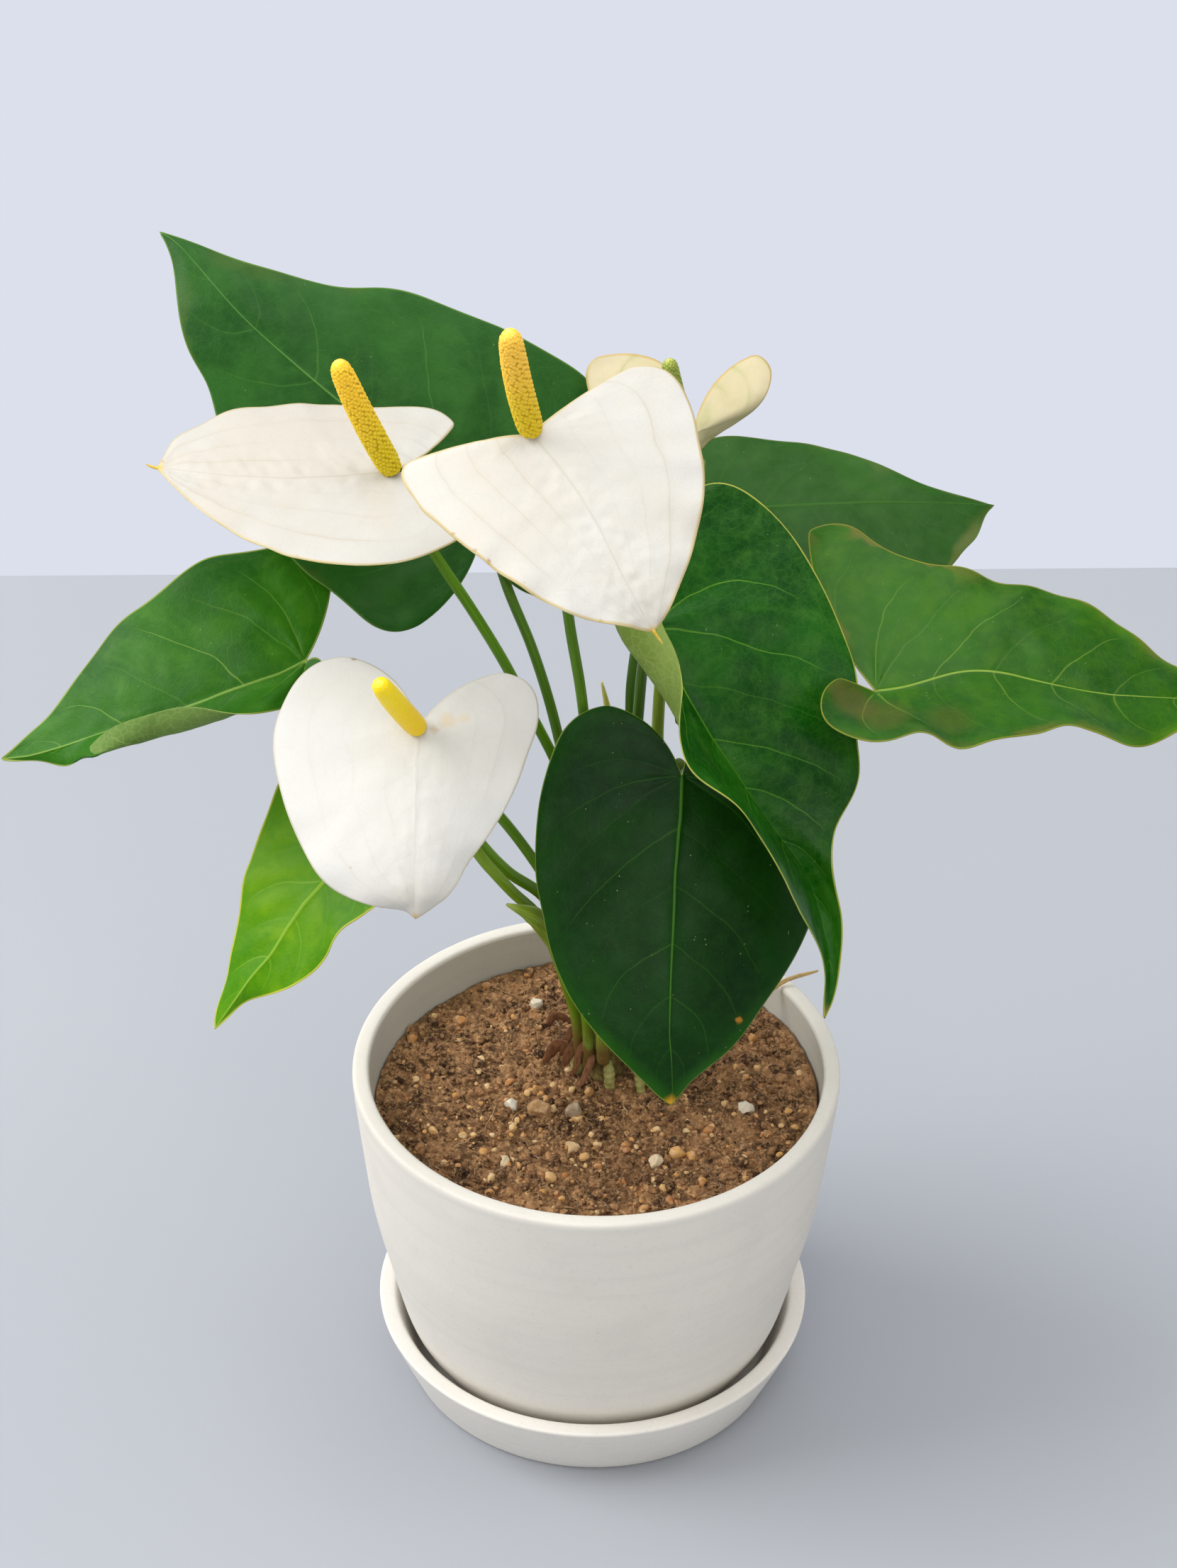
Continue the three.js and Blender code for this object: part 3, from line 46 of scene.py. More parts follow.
# Control nets of the blades, mm. Each half is a list of rows, each row its inner, middle and outer point.
NETS = {
    "leaf_back_left": {
        "normal": (0.03,-0.81,0.59),
        "left": [
            ((-47.39,58,381.96),(-38.57,44.45,357.38),(-12.33,45.08,348.92)),
            ((-47.39,58,381.96),(-33.91,47.78,360.86),(-4.76,50.61,354)),
            ((-47.39,58,381.96),(-29.38,52.51,366.42),(0.02,57.06,360.82)),
            ((-47.39,58,381.96),(-25.4,57.69,372.78),(2.88,63.73,368.47)),
            ((-47.39,58,381.96),(-22.63,62.56,378.96),(4.11,70.37,376.61)),
            ((-47.39,58,381.96),(-21.94,66.39,384.04),(3.68,76.76,385.02)),
            ((-47.39,58,381.96),(-22.62,69.37,388.28),(2.31,82.72,393.56)),
            ((-47.39,58,381.96),(-23.61,72.16,392.59),(0.33,88.22,402.28)),
            ((-47.39,58,381.96),(-25.34,74.7,396.8),(-3.17,93.16,410.83)),
            ((-47.39,58,381.96),(-27.79,76.92,400.75),(-8.09,97.44,418.84)),
            ((-47.39,58,381.96),(-32.09,77.73,402.84),(-16.73,98.86,423.13)),
            ((-47.39,58,381.96),(-36.71,78.68,405.06),(-26.02,100.6,427.67)),
            ((-47.39,58,381.96),(-41.27,79.81,407.33),(-35.17,102.73,432.28)),
            ((-53.2,59.26,385.51),(-46.95,81,410.32),(-40.71,103.97,434.65)),
            ((-59.01,60.64,388.98),(-52.73,82.17,413.03),(-46.49,105.06,436.55)),
            ((-64.63,62.29,392.6),(-58.47,83.47,415.72),(-52.33,106.1,438.27)),
            ((-70.23,64.07,396.19),(-64.13,84.92,418.52),(-58.07,107.32,440.22)),
            ((-75.83,65.94,399.73),(-69.82,86.38,421.22),(-63.87,108.45,442.06)),
            ((-81.55,67.8,403.09),(-75.57,87.86,423.84),(-69.65,109.6,443.91)),
            ((-87.28,69.72,406.38),(-81.34,89.34,426.38),(-75.47,110.68,445.68)),
            ((-93.02,71.71,409.63),(-87.18,90.74,428.73),(-81.42,111.51,447.11)),
            ((-98.62,73.89,413.02),(-93.03,91.98,430.78),(-87.53,111.8,447.81)),
            ((-104.21,76.15,416.37),(-98.9,93.05,432.52),(-93.69,111.67,447.93)),
            ((-109.71,78.65,419.76),(-104.71,94.09,434.05),(-99.82,111.21,447.6)),
            ((-115.11,81.41,423.18),(-110.49,95.49,435.88),(-105.99,111.18,447.86)),
            ((-120.53,84.3,426.53),(-116.24,97.19,437.98),(-112.07,111.62,448.75)),
            ((-125.92,87.33,429.87),(-121.94,99.11,440.24),(-118.09,112.29,449.97)),
            ((-131.32,90.46,433.17),(-127.65,101.08,442.48),(-124.1,112.97,451.2)),
            ((-136.64,93.71,436.51),(-133.32,103.19,444.76),(-130.1,113.82,452.46)),
            ((-141.89,97.06,439.93),(-138.94,105.49,447.06),(-136.1,114.99,453.68)),
            ((-146.95,100.81,443.42),(-144.51,108.03,449.25),(-142.19,116.25,454.61)),
            ((-151.86,104.98,446.9),(-149.95,111.06,451.62),(-148.14,118.03,455.91)),
            ((-156.7,109.5,450.34),(-155.32,114.42,454.02),(-154.03,120.1,457.34)),
            ((-161.59,114.26,453.67),(-160.7,118.02,456.39),(-159.89,122.37,458.83)),
            ((-166.55,119.19,456.88),(-166.21,121.59,458.48),(-165.93,124.41,459.87)),
            ((-171.93,124.04,459.72),(-171.97,125.1,460.29),(-172.05,126.37,460.74)),
            ((-178.21,128.29,461.56),(-178.21,128.29,461.56),(-178.21,128.29,461.56)),
        ],
        "right": [
            ((-47.39,58,381.96),(-53.85,38.23,363.35),(-71.02,19.96,351.15)),
            ((-47.39,58,381.96),(-56.21,37.04,363.24),(-74.52,16.94,350.65)),
            ((-47.39,58,381.96),(-59.54,36.45,363.87),(-78.41,14.67,350.87)),
            ((-47.39,58,381.96),(-63.21,36.34,365),(-82.45,13.24,351.82)),
            ((-47.39,58,381.96),(-66.52,36.61,366.4),(-86.3,12.77,353.48)),
            ((-47.39,58,381.96),(-68.92,37.01,367.65),(-89.92,13.1,355.54)),
            ((-47.39,58,381.96),(-70.53,37.62,368.81),(-93.09,14.24,357.87)),
            ((-47.39,58,381.96),(-72.03,38.47,369.99),(-96.07,15.95,360.21)),
            ((-47.39,58,381.96),(-73.71,39.3,370.97),(-99.41,17.65,362.11)),
            ((-47.39,58,381.96),(-75.3,40.26,372),(-102.57,19.65,364.09)),
            ((-47.39,58,381.96),(-76.99,41.2,372.89),(-105.95,21.61,365.78)),
            ((-47.39,58,381.96),(-78.8,42.06,373.63),(-109.58,23.45,367.16)),
            ((-47.39,58,381.96),(-80.64,42.92,374.33),(-113.25,25.29,368.45)),
            ((-53.2,59.26,385.51),(-85.89,45.01,377.54),(-118.02,28.52,371.11)),
            ((-59.01,60.64,388.98),(-90.86,47.3,380.99),(-122.22,32,374.35)),
            ((-64.63,62.29,392.6),(-95.76,49.74,384.51),(-126.45,35.47,377.57)),
            ((-70.23,64.07,396.19),(-100.38,52.39,388.16),(-130.15,39.23,381.11)),
            ((-75.83,65.94,399.73),(-104.83,55.18,391.88),(-133.52,43.17,384.85)),
            ((-81.55,67.8,403.09),(-109.3,58,395.52),(-136.8,47.17,388.62)),
            ((-87.28,69.72,406.38),(-113.66,60.92,399.18),(-139.83,51.29,392.51)),
            ((-93.02,71.71,409.63),(-118.02,63.88,402.81),(-142.86,55.43,396.39)),
            ((-98.62,73.89,413.02),(-122.18,67,406.56),(-145.63,59.67,400.38)),
            ((-104.21,76.15,416.37),(-126.32,70.17,410.31),(-148.35,63.93,404.4)),
            ((-109.71,78.65,419.76),(-130.29,73.51,414.1),(-150.83,68.28,408.51)),
            ((-115.11,81.41,423.18),(-134,77.05,417.95),(-152.89,72.73,412.7)),
            ((-120.53,84.3,426.53),(-137.42,80.75,421.83),(-154.32,77.34,417.04)),
            ((-125.92,87.33,429.87),(-141.02,84.5,425.66),(-156.17,81.91,421.31)),
            ((-131.32,90.46,433.17),(-145.77,87.92,428.97),(-160.27,85.71,424.59)),
            ((-136.64,93.71,436.51),(-150.16,91.58,432.5),(-163.76,89.86,428.26)),
            ((-141.89,97.06,439.93),(-153.96,95.5,436.3),(-166.11,94.43,432.39)),
            ((-146.95,100.81,443.42),(-157.42,99.7,440.17),(-168,99.13,436.63)),
            ((-151.86,104.98,446.9),(-160.52,104.22,444.07),(-169.28,104,440.96)),
            ((-156.7,109.5,450.34),(-163.55,108.97,447.94),(-170.48,108.93,445.29)),
            ((-161.59,114.26,453.67),(-166.42,113.9,451.76),(-171.31,113.95,449.64)),
            ((-166.55,119.19,456.88),(-169.36,118.95,455.51),(-172.22,119,453.98)),
            ((-171.93,124.04,459.72),(-173.24,123.84,458.88),(-174.58,123.79,457.97)),
            ((-178.21,128.29,461.56),(-178.21,128.29,461.56),(-178.21,128.29,461.56)),
        ],
    },
    "leaf_left": {
        "normal": (-0.15,-0.7,0.69),
        "left": [
            ((-112.77,-5,349.32),(-105.94,16.98,359.95),(-106.22,42.92,369.29)),
            ((-112.77,-5,349.32),(-108.27,17.38,360.51),(-110.19,43.49,370.49)),
            ((-112.77,-5,349.32),(-111.11,17.86,361.01),(-114.18,44,371.62)),
            ((-112.77,-5,349.32),(-114.21,17.91,361.03),(-118.34,43.59,371.75)),
            ((-112.77,-5,349.32),(-117.14,17.93,361.04),(-122.51,43.2,371.87)),
            ((-112.77,-5,349.32),(-119.53,17.65,360.85),(-126.59,42.38,371.55)),
            ((-112.77,-5,349.32),(-121.54,17.24,360.6),(-130.65,41.44,371.11)),
            ((-112.77,-5,349.32),(-123.56,16.81,360.36),(-134.7,40.45,370.7)),
            ((-112.77,-5,349.32),(-125.56,16.34,360.15),(-138.74,39.39,370.35)),
            ((-112.77,-5,349.32),(-127.6,16,360.08),(-142.83,38.55,370.26)),
            ((-112.77,-5,349.32),(-129.65,15.67,360.01),(-146.93,37.77,370.2)),
            ((-112.77,-5,349.32),(-131.66,15.26,359.83),(-150.98,36.82,369.9)),
            ((-112.77,-5,349.32),(-133.65,14.78,359.52),(-154.97,35.74,369.34)),
            ((-117.14,-6.82,347.53),(-137.71,12.81,357.78),(-158.72,33.61,367.64)),
            ((-121.59,-8.41,345.79),(-141.78,11.01,355.95),(-162.41,31.59,365.73)),
            ((-126.34,-9.43,344.41),(-145.99,9.59,354.19),(-166.05,29.75,363.58)),
            ((-131.11,-10.36,342.97),(-150.06,8.15,352.24),(-169.43,27.83,361.09)),
            ((-135.89,-11.21,341.47),(-154.1,6.73,350.23),(-172.71,25.84,358.54)),
            ((-140.69,-12,339.94),(-158.09,5.3,348.16),(-175.88,23.75,355.91)),
            ((-145.4,-12.88,338.22),(-162.31,4.08,346.19),(-179.61,22.19,353.68)),
            ((-150.08,-13.79,336.41),(-166.57,2.9,344.21),(-183.44,20.74,351.52)),
            ((-154.88,-14.47,334.73),(-170.8,1.77,342.23),(-187.1,19.15,349.24)),
            ((-159.71,-15.07,333.07),(-174.81,0.45,340.08),(-190.27,17.1,346.58)),
            ((-164.57,-15.51,331.33),(-178.56,-0.96,337.74),(-192.87,14.67,343.65)),
            ((-169.54,-15.65,329.63),(-182.31,-2.24,335.4),(-195.37,12.19,340.68)),
            ((-174.53,-15.67,327.85),(-186.05,-3.46,333),(-197.83,9.69,337.68)),
            ((-179.53,-15.64,325.95),(-189.77,-4.65,330.53),(-200.25,7.18,334.66)),
            ((-184.5,-15.6,323.91),(-193.52,-5.82,328),(-202.74,4.71,331.67)),
            ((-189.5,-15.51,321.83),(-197.31,-6.93,325.44),(-205.28,2.29,328.69)),
            ((-194.49,-15.41,319.68),(-201.15,-8,322.87),(-207.94,-0.05,325.76)),
            ((-199.49,-15.32,317.48),(-205.13,-8.93,320.29),(-210.89,-2.07,322.83)),
            ((-204.52,-15.09,315.19),(-209.15,-9.65,317.57),(-213.88,-3.82,319.72)),
            ((-209.67,-14.48,312.84),(-213.53,-9.87,314.9),(-217.46,-4.93,316.76)),
            ((-214.9,-13.62,310.37),(-217.96,-9.88,312.11),(-221.08,-5.88,313.69)),
            ((-220.24,-12.43,307.97),(-222.25,-9.83,309.18),(-224.3,-7.06,310.28)),
            ((-225.77,-10.68,305.88),(-226.66,-9.47,306.4),(-227.56,-8.17,306.85)),
            ((-231.34,-8.86,303.74),(-231.34,-8.86,303.74),(-231.34,-8.86,303.74)),
        ],
        "right": [
            ((-112.77,-5,349.32),(-108.67,-5.46,352.12),(-105.62,-9.1,352.19)),
            ((-112.77,-5,349.32),(-108.97,-6.91,351.21),(-106.1,-11.83,350.77)),
            ((-112.77,-5,349.32),(-109.35,-8.58,350.1),(-106.57,-14.61,349.39)),
            ((-112.77,-5,349.32),(-110.05,-10.2,349.01),(-107.64,-17.15,348.18)),
            ((-112.77,-5,349.32),(-110.93,-11.69,348.04),(-109.11,-19.56,347.09)),
            ((-112.77,-5,349.32),(-111.73,-12.99,347.31),(-110.58,-22.01,346.04)),
            ((-112.77,-5,349.32),(-112.68,-14.04,346.91),(-112.46,-24.26,345.36)),
            ((-112.77,-5,349.32),(-113.73,-15.12,346.64),(-114.5,-26.59,344.97)),
            ((-112.77,-5,349.32),(-114.82,-16.19,346.5),(-116.65,-28.92,344.84)),
            ((-112.77,-5,349.32),(-116.04,-17.1,346.55),(-119.04,-30.96,345.09)),
            ((-112.77,-5,349.32),(-117.29,-17.94,346.66),(-121.49,-32.84,345.48)),
            ((-112.77,-5,349.32),(-118.57,-18.65,346.84),(-124.01,-34.47,345.98)),
            ((-112.77,-5,349.32),(-119.87,-19.29,346.96),(-126.54,-35.93,346.37)),
            ((-117.14,-6.82,347.53),(-124.15,-21.08,346.08),(-130.71,-37.86,346.49)),
            ((-121.59,-8.41,345.79),(-133.2,-24.69,341.9),(-135.09,-37.78,346.86)),
            ((-126.34,-9.43,344.41),(-141.02,-27.48,338.11),(-139.59,-36.57,346.93)),
            ((-131.11,-10.36,342.97),(-145.86,-27.97,336.82),(-144.1,-35.07,346.94)),
            ((-135.89,-11.21,341.47),(-150.08,-28.62,335.44),(-148.68,-33.5,346.72)),
            ((-140.69,-12,339.94),(-154.26,-29.15,334.15),(-153.32,-32.11,346.05)),
            ((-145.4,-12.88,338.22),(-158.47,-29.6,332.87),(-157.97,-30.87,345.02)),
            ((-150.08,-13.79,336.41),(-162.9,-30.03,331.53),(-162.52,-30.19,343.29)),
            ((-154.88,-14.47,334.73),(-167.29,-30.38,330.24),(-167.05,-29.54,341.41)),
            ((-159.71,-15.07,333.07),(-171.6,-30.56,329.11),(-171.47,-29.12,339.25)),
            ((-164.57,-15.51,331.33),(-175.92,-30.78,327.82),(-175.99,-28.22,336.78)),
            ((-169.54,-15.65,329.63),(-180.26,-31.26,326.15),(-180.65,-26.64,333.92)),
            ((-174.53,-15.67,327.85),(-184.18,-31.57,324.64),(-185.14,-25.07,330.4)),
            ((-179.53,-15.64,325.95),(-187.93,-31.77,323.18),(-189.56,-23.45,326.53)),
            ((-184.5,-15.6,323.91),(-191.77,-32.28,321.33),(-193.57,-22.25,322.25)),
            ((-189.5,-15.51,321.83),(-193.7,-29.03,320.01),(-196.72,-21.81,317.63)),
            ((-194.49,-15.41,319.68),(-196.14,-21.72,317.05),(-199.02,-22.21,312.89)),
            ((-199.49,-15.32,317.48),(-201.12,-18.68,313.42),(-202.77,-21.98,309.32)),
            ((-204.52,-15.09,315.19),(-205.85,-17.38,311.76),(-207.22,-19.53,308.22)),
            ((-209.67,-14.48,312.84),(-210.77,-15.51,310.48),(-211.91,-16.36,307.98)),
            ((-214.9,-13.62,310.37),(-215.84,-13.79,308.9),(-216.82,-13.76,307.29)),
            ((-220.24,-12.43,307.97),(-220.94,-12.48,306.85),(-221.67,-12.37,305.61)),
            ((-225.77,-10.68,305.88),(-226.12,-10.93,305.01),(-226.49,-11.09,304.07)),
            ((-231.34,-8.86,303.74),(-231.34,-8.86,303.74),(-231.34,-8.86,303.74)),
        ],
    },
    "leaf_lower_left": {
        "normal": (-0.27,-0.74,0.62),
        "left": [
            ((-92.7,-34,285.33),(-94.84,-21.29,295.7),(-104.7,-8,302.25)),
            ((-92.7,-34,285.33),(-96.98,-20.46,295.91),(-108.21,-6.32,303.05)),
            ((-92.7,-34,285.33),(-99.67,-19.63,295.86),(-111.73,-4.64,303.85)),
            ((-92.7,-34,285.33),(-102.62,-19.23,295.19),(-115.4,-3.81,303.55)),
            ((-92.7,-34,285.33),(-105.45,-19.13,294.2),(-119.19,-3.61,302.45)),
            ((-92.7,-34,285.33),(-107.11,-19.67,292.97),(-121.74,-4.69,300.35)),
            ((-92.7,-34,285.33),(-107.96,-20.62,291.58),(-123.44,-6.63,297.57)),
            ((-92.7,-34,285.33),(-108.81,-21.58,290.19),(-125.14,-8.58,294.79)),
            ((-92.7,-34,285.33),(-109.37,-22.68,288.76),(-126.28,-10.8,291.92)),
            ((-92.7,-34,285.33),(-109.93,-23.77,287.33),(-127.4,-13.03,289.06)),
            ((-92.7,-34,285.33),(-110.5,-24.87,285.9),(-128.54,-15.25,286.2)),
            ((-92.7,-34,285.33),(-111.15,-25.93,284.49),(-129.83,-17.42,283.37)),
            ((-92.7,-34,285.33),(-111.79,-27.01,283.08),(-131.13,-19.6,280.55)),
            ((-94.99,-35.93,283.13),(-113.5,-28.95,280.78),(-132.25,-21.52,278.11)),
            ((-97.28,-37.8,280.9),(-115.15,-30.89,278.45),(-133.26,-23.48,275.66)),
            ((-99.59,-39.6,278.64),(-116.77,-32.81,276.1),(-134.19,-25.47,273.2)),
            ((-102.05,-41.25,276.39),(-118.47,-34.64,273.76),(-135.12,-27.46,270.74)),
            ((-104.51,-42.83,274.1),(-120.17,-36.42,271.39),(-136.05,-29.42,268.26)),
            ((-106.97,-44.35,271.76),(-121.86,-38.16,268.98),(-136.97,-31.37,265.76)),
            ((-109.43,-45.82,269.36),(-123.31,-39.95,266.53),(-137.39,-33.46,263.25)),
            ((-111.9,-47.21,266.91),(-124.76,-41.68,264.04),(-137.82,-35.52,260.71)),
            ((-113.98,-48.81,264.24),(-126.02,-43.48,261.42),(-138.25,-37.53,258.13)),
            ((-116.06,-50.34,261.51),(-127.28,-45.23,258.75),(-138.67,-39.5,255.52)),
            ((-118.14,-51.81,258.73),(-128.52,-46.94,256.04),(-139.06,-41.43,252.88)),
            ((-120.05,-53.35,255.87),(-129.67,-48.65,253.27),(-139.45,-43.32,250.21)),
            ((-121.96,-54.84,252.96),(-130.83,-50.32,250.47),(-139.85,-45.16,247.5)),
            ((-123.89,-56.29,250.02),(-132.06,-51.93,247.63),(-140.37,-46.93,244.75)),
            ((-126.19,-57.45,247.18),(-133.56,-53.34,244.81),(-141.06,-48.6,241.96)),
            ((-128.66,-58.48,244.36),(-135.15,-54.67,242),(-141.76,-50.23,239.14)),
            ((-131.14,-59.47,241.51),(-136.74,-55.96,239.15),(-142.47,-51.82,236.28)),
            ((-133.46,-60.55,238.58),(-138.31,-57.26,236.24),(-143.28,-53.34,233.4)),
            ((-135.65,-61.49,235.38),(-139.84,-58.46,233.18),(-144.15,-54.81,230.49)),
            ((-137.9,-62.04,231.86),(-141.41,-59.42,229.92),(-145.01,-56.25,227.55)),
            ((-140.2,-62.27,228.08),(-143,-60.18,226.51),(-145.88,-57.66,224.58)),
            ((-142.53,-62.27,224.1),(-144.53,-60.84,222.97),(-146.57,-59.1,221.59)),
            ((-144.88,-62.13,219.99),(-146.06,-61.4,219.35),(-147.26,-60.52,218.57)),
            ((-147.18,-61.98,215.79),(-147.18,-61.98,215.79),(-147.18,-61.98,215.79)),
        ],
        "right": [
            ((-92.7,-34,285.33),(-84.57,-33.71,290.56),(-75.65,-35.04,294.6)),
            ((-92.7,-34,285.33),(-82.67,-35.12,290.78),(-71.94,-37.88,295.31)),
            ((-92.7,-34,285.33),(-80.71,-36.59,290.89),(-68.25,-40.63,295.97)),
            ((-92.7,-34,285.33),(-79.54,-38.41,290.17),(-66.17,-43.99,295.03)),
            ((-92.7,-34,285.33),(-78.76,-40.3,289.11),(-64.81,-47.54,293.34)),
            ((-92.7,-34,285.33),(-78.93,-41.8,287.99),(-65.24,-50.51,291.35)),
            ((-92.7,-34,285.33),(-79.71,-43.02,286.83),(-66.79,-53.05,289.12)),
            ((-92.7,-34,285.33),(-80.49,-44.19,285.62),(-68.35,-55.45,286.79)),
            ((-92.7,-34,285.33),(-81.75,-44.96,284.55),(-70.83,-57.04,284.72)),
            ((-92.7,-34,285.33),(-83.16,-45.53,283.5),(-73.64,-58.23,282.65)),
            ((-92.7,-34,285.33),(-84.59,-46.03,282.38),(-76.46,-59.23,280.45)),
            ((-92.7,-34,285.33),(-86.2,-46.26,281.38),(-79.66,-59.68,278.44)),
            ((-92.7,-34,285.33),(-87.85,-46.4,280.38),(-82.94,-59.95,276.44)),
            ((-94.99,-35.93,283.13),(-90.4,-47.61,278.29),(-85.76,-60.35,274.38)),
            ((-97.28,-37.8,280.9),(-92.89,-48.85,276.09),(-88.44,-60.87,272.14)),
            ((-99.59,-39.6,278.64),(-95.46,-49.96,273.93),(-91.26,-61.17,269.98)),
            ((-102.05,-41.25,276.39),(-98.18,-50.87,271.82),(-94.26,-61.26,267.94)),
            ((-104.51,-42.83,274.1),(-100.66,-51.95,269.53),(-96.77,-61.75,265.56)),
            ((-106.97,-44.35,271.76),(-102.85,-53.25,267.01),(-98.69,-62.74,262.79)),
            ((-109.43,-45.82,269.36),(-104.86,-54.61,264.41),(-100.25,-63.91,259.93)),
            ((-111.9,-47.21,266.91),(-106.69,-56.02,261.74),(-101.45,-65.26,256.98)),
            ((-113.98,-48.81,264.24),(-108.61,-57.35,259.03),(-103.23,-66.27,254.18)),
            ((-116.06,-50.34,261.51),(-110.8,-58.48,256.35),(-105.53,-66.96,251.5)),
            ((-118.14,-51.81,258.73),(-112.99,-59.56,253.61),(-107.84,-67.57,248.76)),
            ((-120.05,-53.35,255.87),(-115.35,-60.41,250.96),(-110.65,-67.68,246.27)),
            ((-121.96,-54.84,252.96),(-117.74,-61.19,248.28),(-113.52,-67.69,243.76)),
            ((-123.89,-56.29,250.02),(-120.17,-61.89,245.59),(-116.45,-67.58,241.25)),
            ((-126.19,-57.45,247.18),(-123,-62.12,243.19),(-119.82,-66.81,239.22)),
            ((-128.66,-58.48,244.36),(-125.93,-62.25,240.77),(-123.2,-65.99,237.15)),
            ((-131.14,-59.47,241.51),(-128.89,-62.3,238.37),(-126.65,-65.01,235.14)),
            ((-133.46,-60.55,238.58),(-131.78,-62.34,235.92),(-130.13,-63.95,233.12)),
            ((-135.65,-61.49,235.38),(-134.62,-62.29,233.31),(-133.63,-62.85,231.06)),
            ((-137.9,-62.04,231.86),(-137.25,-62.31,230.24),(-136.63,-62.34,228.42)),
            ((-140.2,-62.27,228.08),(-139.67,-62.42,226.76),(-139.18,-62.35,225.28)),
            ((-142.53,-62.27,224.1),(-142.14,-62.36,223.17),(-141.78,-62.3,222.12)),
            ((-144.88,-62.13,219.99),(-144.67,-62.18,219.51),(-144.48,-62.15,218.97)),
            ((-147.18,-61.98,215.79),(-147.18,-61.98,215.79),(-147.18,-61.98,215.79)),
        ],
    },
    "leaf_back_right": {
        "normal": (0.05,-0.37,0.93),
        "left": [
            ((42.77,98,358.39),(27.83,109.5,363.14),(28.71,129.33,370.02)),
            ((42.77,98,358.39),(29.86,110.4,363.43),(31.15,130.31,370.39)),
            ((42.77,98,358.39),(33.05,111.86,363.88),(33.58,131.3,370.76)),
            ((42.77,98,358.39),(36.61,113.52,364.39),(36.03,132.29,371.13)),
            ((42.77,98,358.39),(39.83,114.9,364.8),(38.52,133.08,371.42)),
            ((42.77,98,358.39),(41.89,115.7,365.05),(41.01,133.87,371.7)),
            ((42.77,98,358.39),(43.13,116.1,365.19),(43.5,134.66,371.99)),
            ((42.77,98,358.39),(44.39,116.33,365.26),(46.04,135.11,372.13)),
            ((42.77,98,358.39),(45.67,116.4,365.25),(48.61,135.22,372.14)),
            ((42.77,98,358.39),(46.94,116.46,365.25),(51.18,135.32,372.15)),
            ((42.77,98,358.39),(48.21,116.37,365.19),(53.73,135.12,372.03)),
            ((42.77,98,358.39),(49.48,116.24,365.11),(56.28,134.85,371.89)),
            ((42.77,98,358.39),(50.74,116.13,365.04),(58.84,134.59,371.75)),
            ((47.38,98.31,358.79),(55.14,116.04,365.15),(63.01,134.16,371.53)),
            ((51.99,98.69,359.15),(59.53,115.99,365.23),(67.18,133.73,371.3)),
            ((56.6,99.14,359.47),(63.92,115.98,365.29),(71.35,133.27,371.07)),
            ((61.21,99.65,359.75),(68.31,115.97,365.33),(75.51,132.76,370.85)),
            ((65.83,100.11,359.95),(72.69,115.86,365.29),(79.65,132.05,370.57)),
            ((70.46,100.6,360.09),(77.07,115.72,365.22),(83.77,131.27,370.27)),
            ((75.1,101.14,360.21),(81.44,115.57,365.1),(87.87,130.42,369.92)),
            ((79.74,101.73,360.29),(85.84,115.6,365.01),(92.02,129.85,369.67)),
            ((84.38,102.33,360.32),(90.23,115.65,364.88),(96.15,129.31,369.39)),
            ((89.04,102.93,360.3),(94.47,115.08,364.47),(99.97,127.53,368.59)),
            ((93.7,103.62,360.22),(98.73,114.63,364.02),(103.82,125.88,367.78)),
            ((98.37,104.4,360.08),(102.99,114.25,363.52),(107.66,124.3,366.93)),
            ((103.05,105.25,359.9),(107.23,113.88,362.94),(111.44,122.66,365.95)),
            ((107.74,106.07,359.65),(111.47,113.54,362.29),(115.23,121.12,364.92)),
            ((112.44,106.84,359.32),(115.77,113.35,361.63),(119.12,119.95,363.93)),
            ((117.15,107.66,358.96),(120.08,113.23,360.94),(123.02,118.87,362.89)),
            ((121.86,108.5,358.59),(124.39,113.16,360.21),(126.93,117.89,361.81)),
            ((126.58,109.31,358.2),(128.7,113.11,359.45),(130.84,116.99,360.68)),
            ((131.31,110.07,357.69),(133.04,113.11,358.63),(134.78,116.24,359.53)),
            ((136.05,111,357.1),(137.4,113.27,357.75),(138.76,115.63,358.36)),
            ((140.82,112.05,356.42),(141.82,113.69,356.87),(142.82,115.4,357.28)),
            ((145.6,113.16,355.67),(146.29,114.35,356),(146.99,115.59,356.3)),
            ((150.4,114.32,354.85),(150.76,114.97,355.04),(151.12,115.65,355.22)),
            ((155.21,115.52,354.01),(155.21,115.52,354.01),(155.21,115.52,354.01)),
        ],
        "right": [
            ((42.77,98,358.39),(30.47,82.69,351.55),(36.47,65.66,342.33)),
            ((42.77,98,358.39),(32.97,81.98,351.02),(39.55,64.59,341.46)),
            ((42.77,98,358.39),(36.78,81.08,350.35),(42.62,63.49,340.6)),
            ((42.77,98,358.39),(41.02,80.11,349.63),(45.69,62.38,339.75)),
            ((42.77,98,358.39),(44.83,79.19,348.96),(48.76,61.24,338.92)),
            ((42.77,98,358.39),(47.43,78.87,348.62),(52.05,60.89,338.42)),
            ((42.77,98,358.39),(49.09,78.69,348.39),(55.35,60.56,337.94)),
            ((42.77,98,358.39),(50.74,78.49,348.16),(58.64,60.21,337.48)),
            ((42.77,98,358.39),(52.4,78.29,347.95),(61.93,59.84,337.04)),
            ((42.77,98,358.39),(54.06,78.08,347.73),(65.23,59.44,336.6)),
            ((42.77,98,358.39),(55.74,78.08,347.61),(68.56,59.44,336.35)),
            ((42.77,98,358.39),(57.42,78.11,347.51),(71.91,59.5,336.15)),
            ((42.77,98,358.39),(59.1,78.12,347.42),(75.26,59.53,335.96)),
            ((47.38,98.31,358.79),(63.42,78.22,347.55),(79.3,59.53,335.76)),
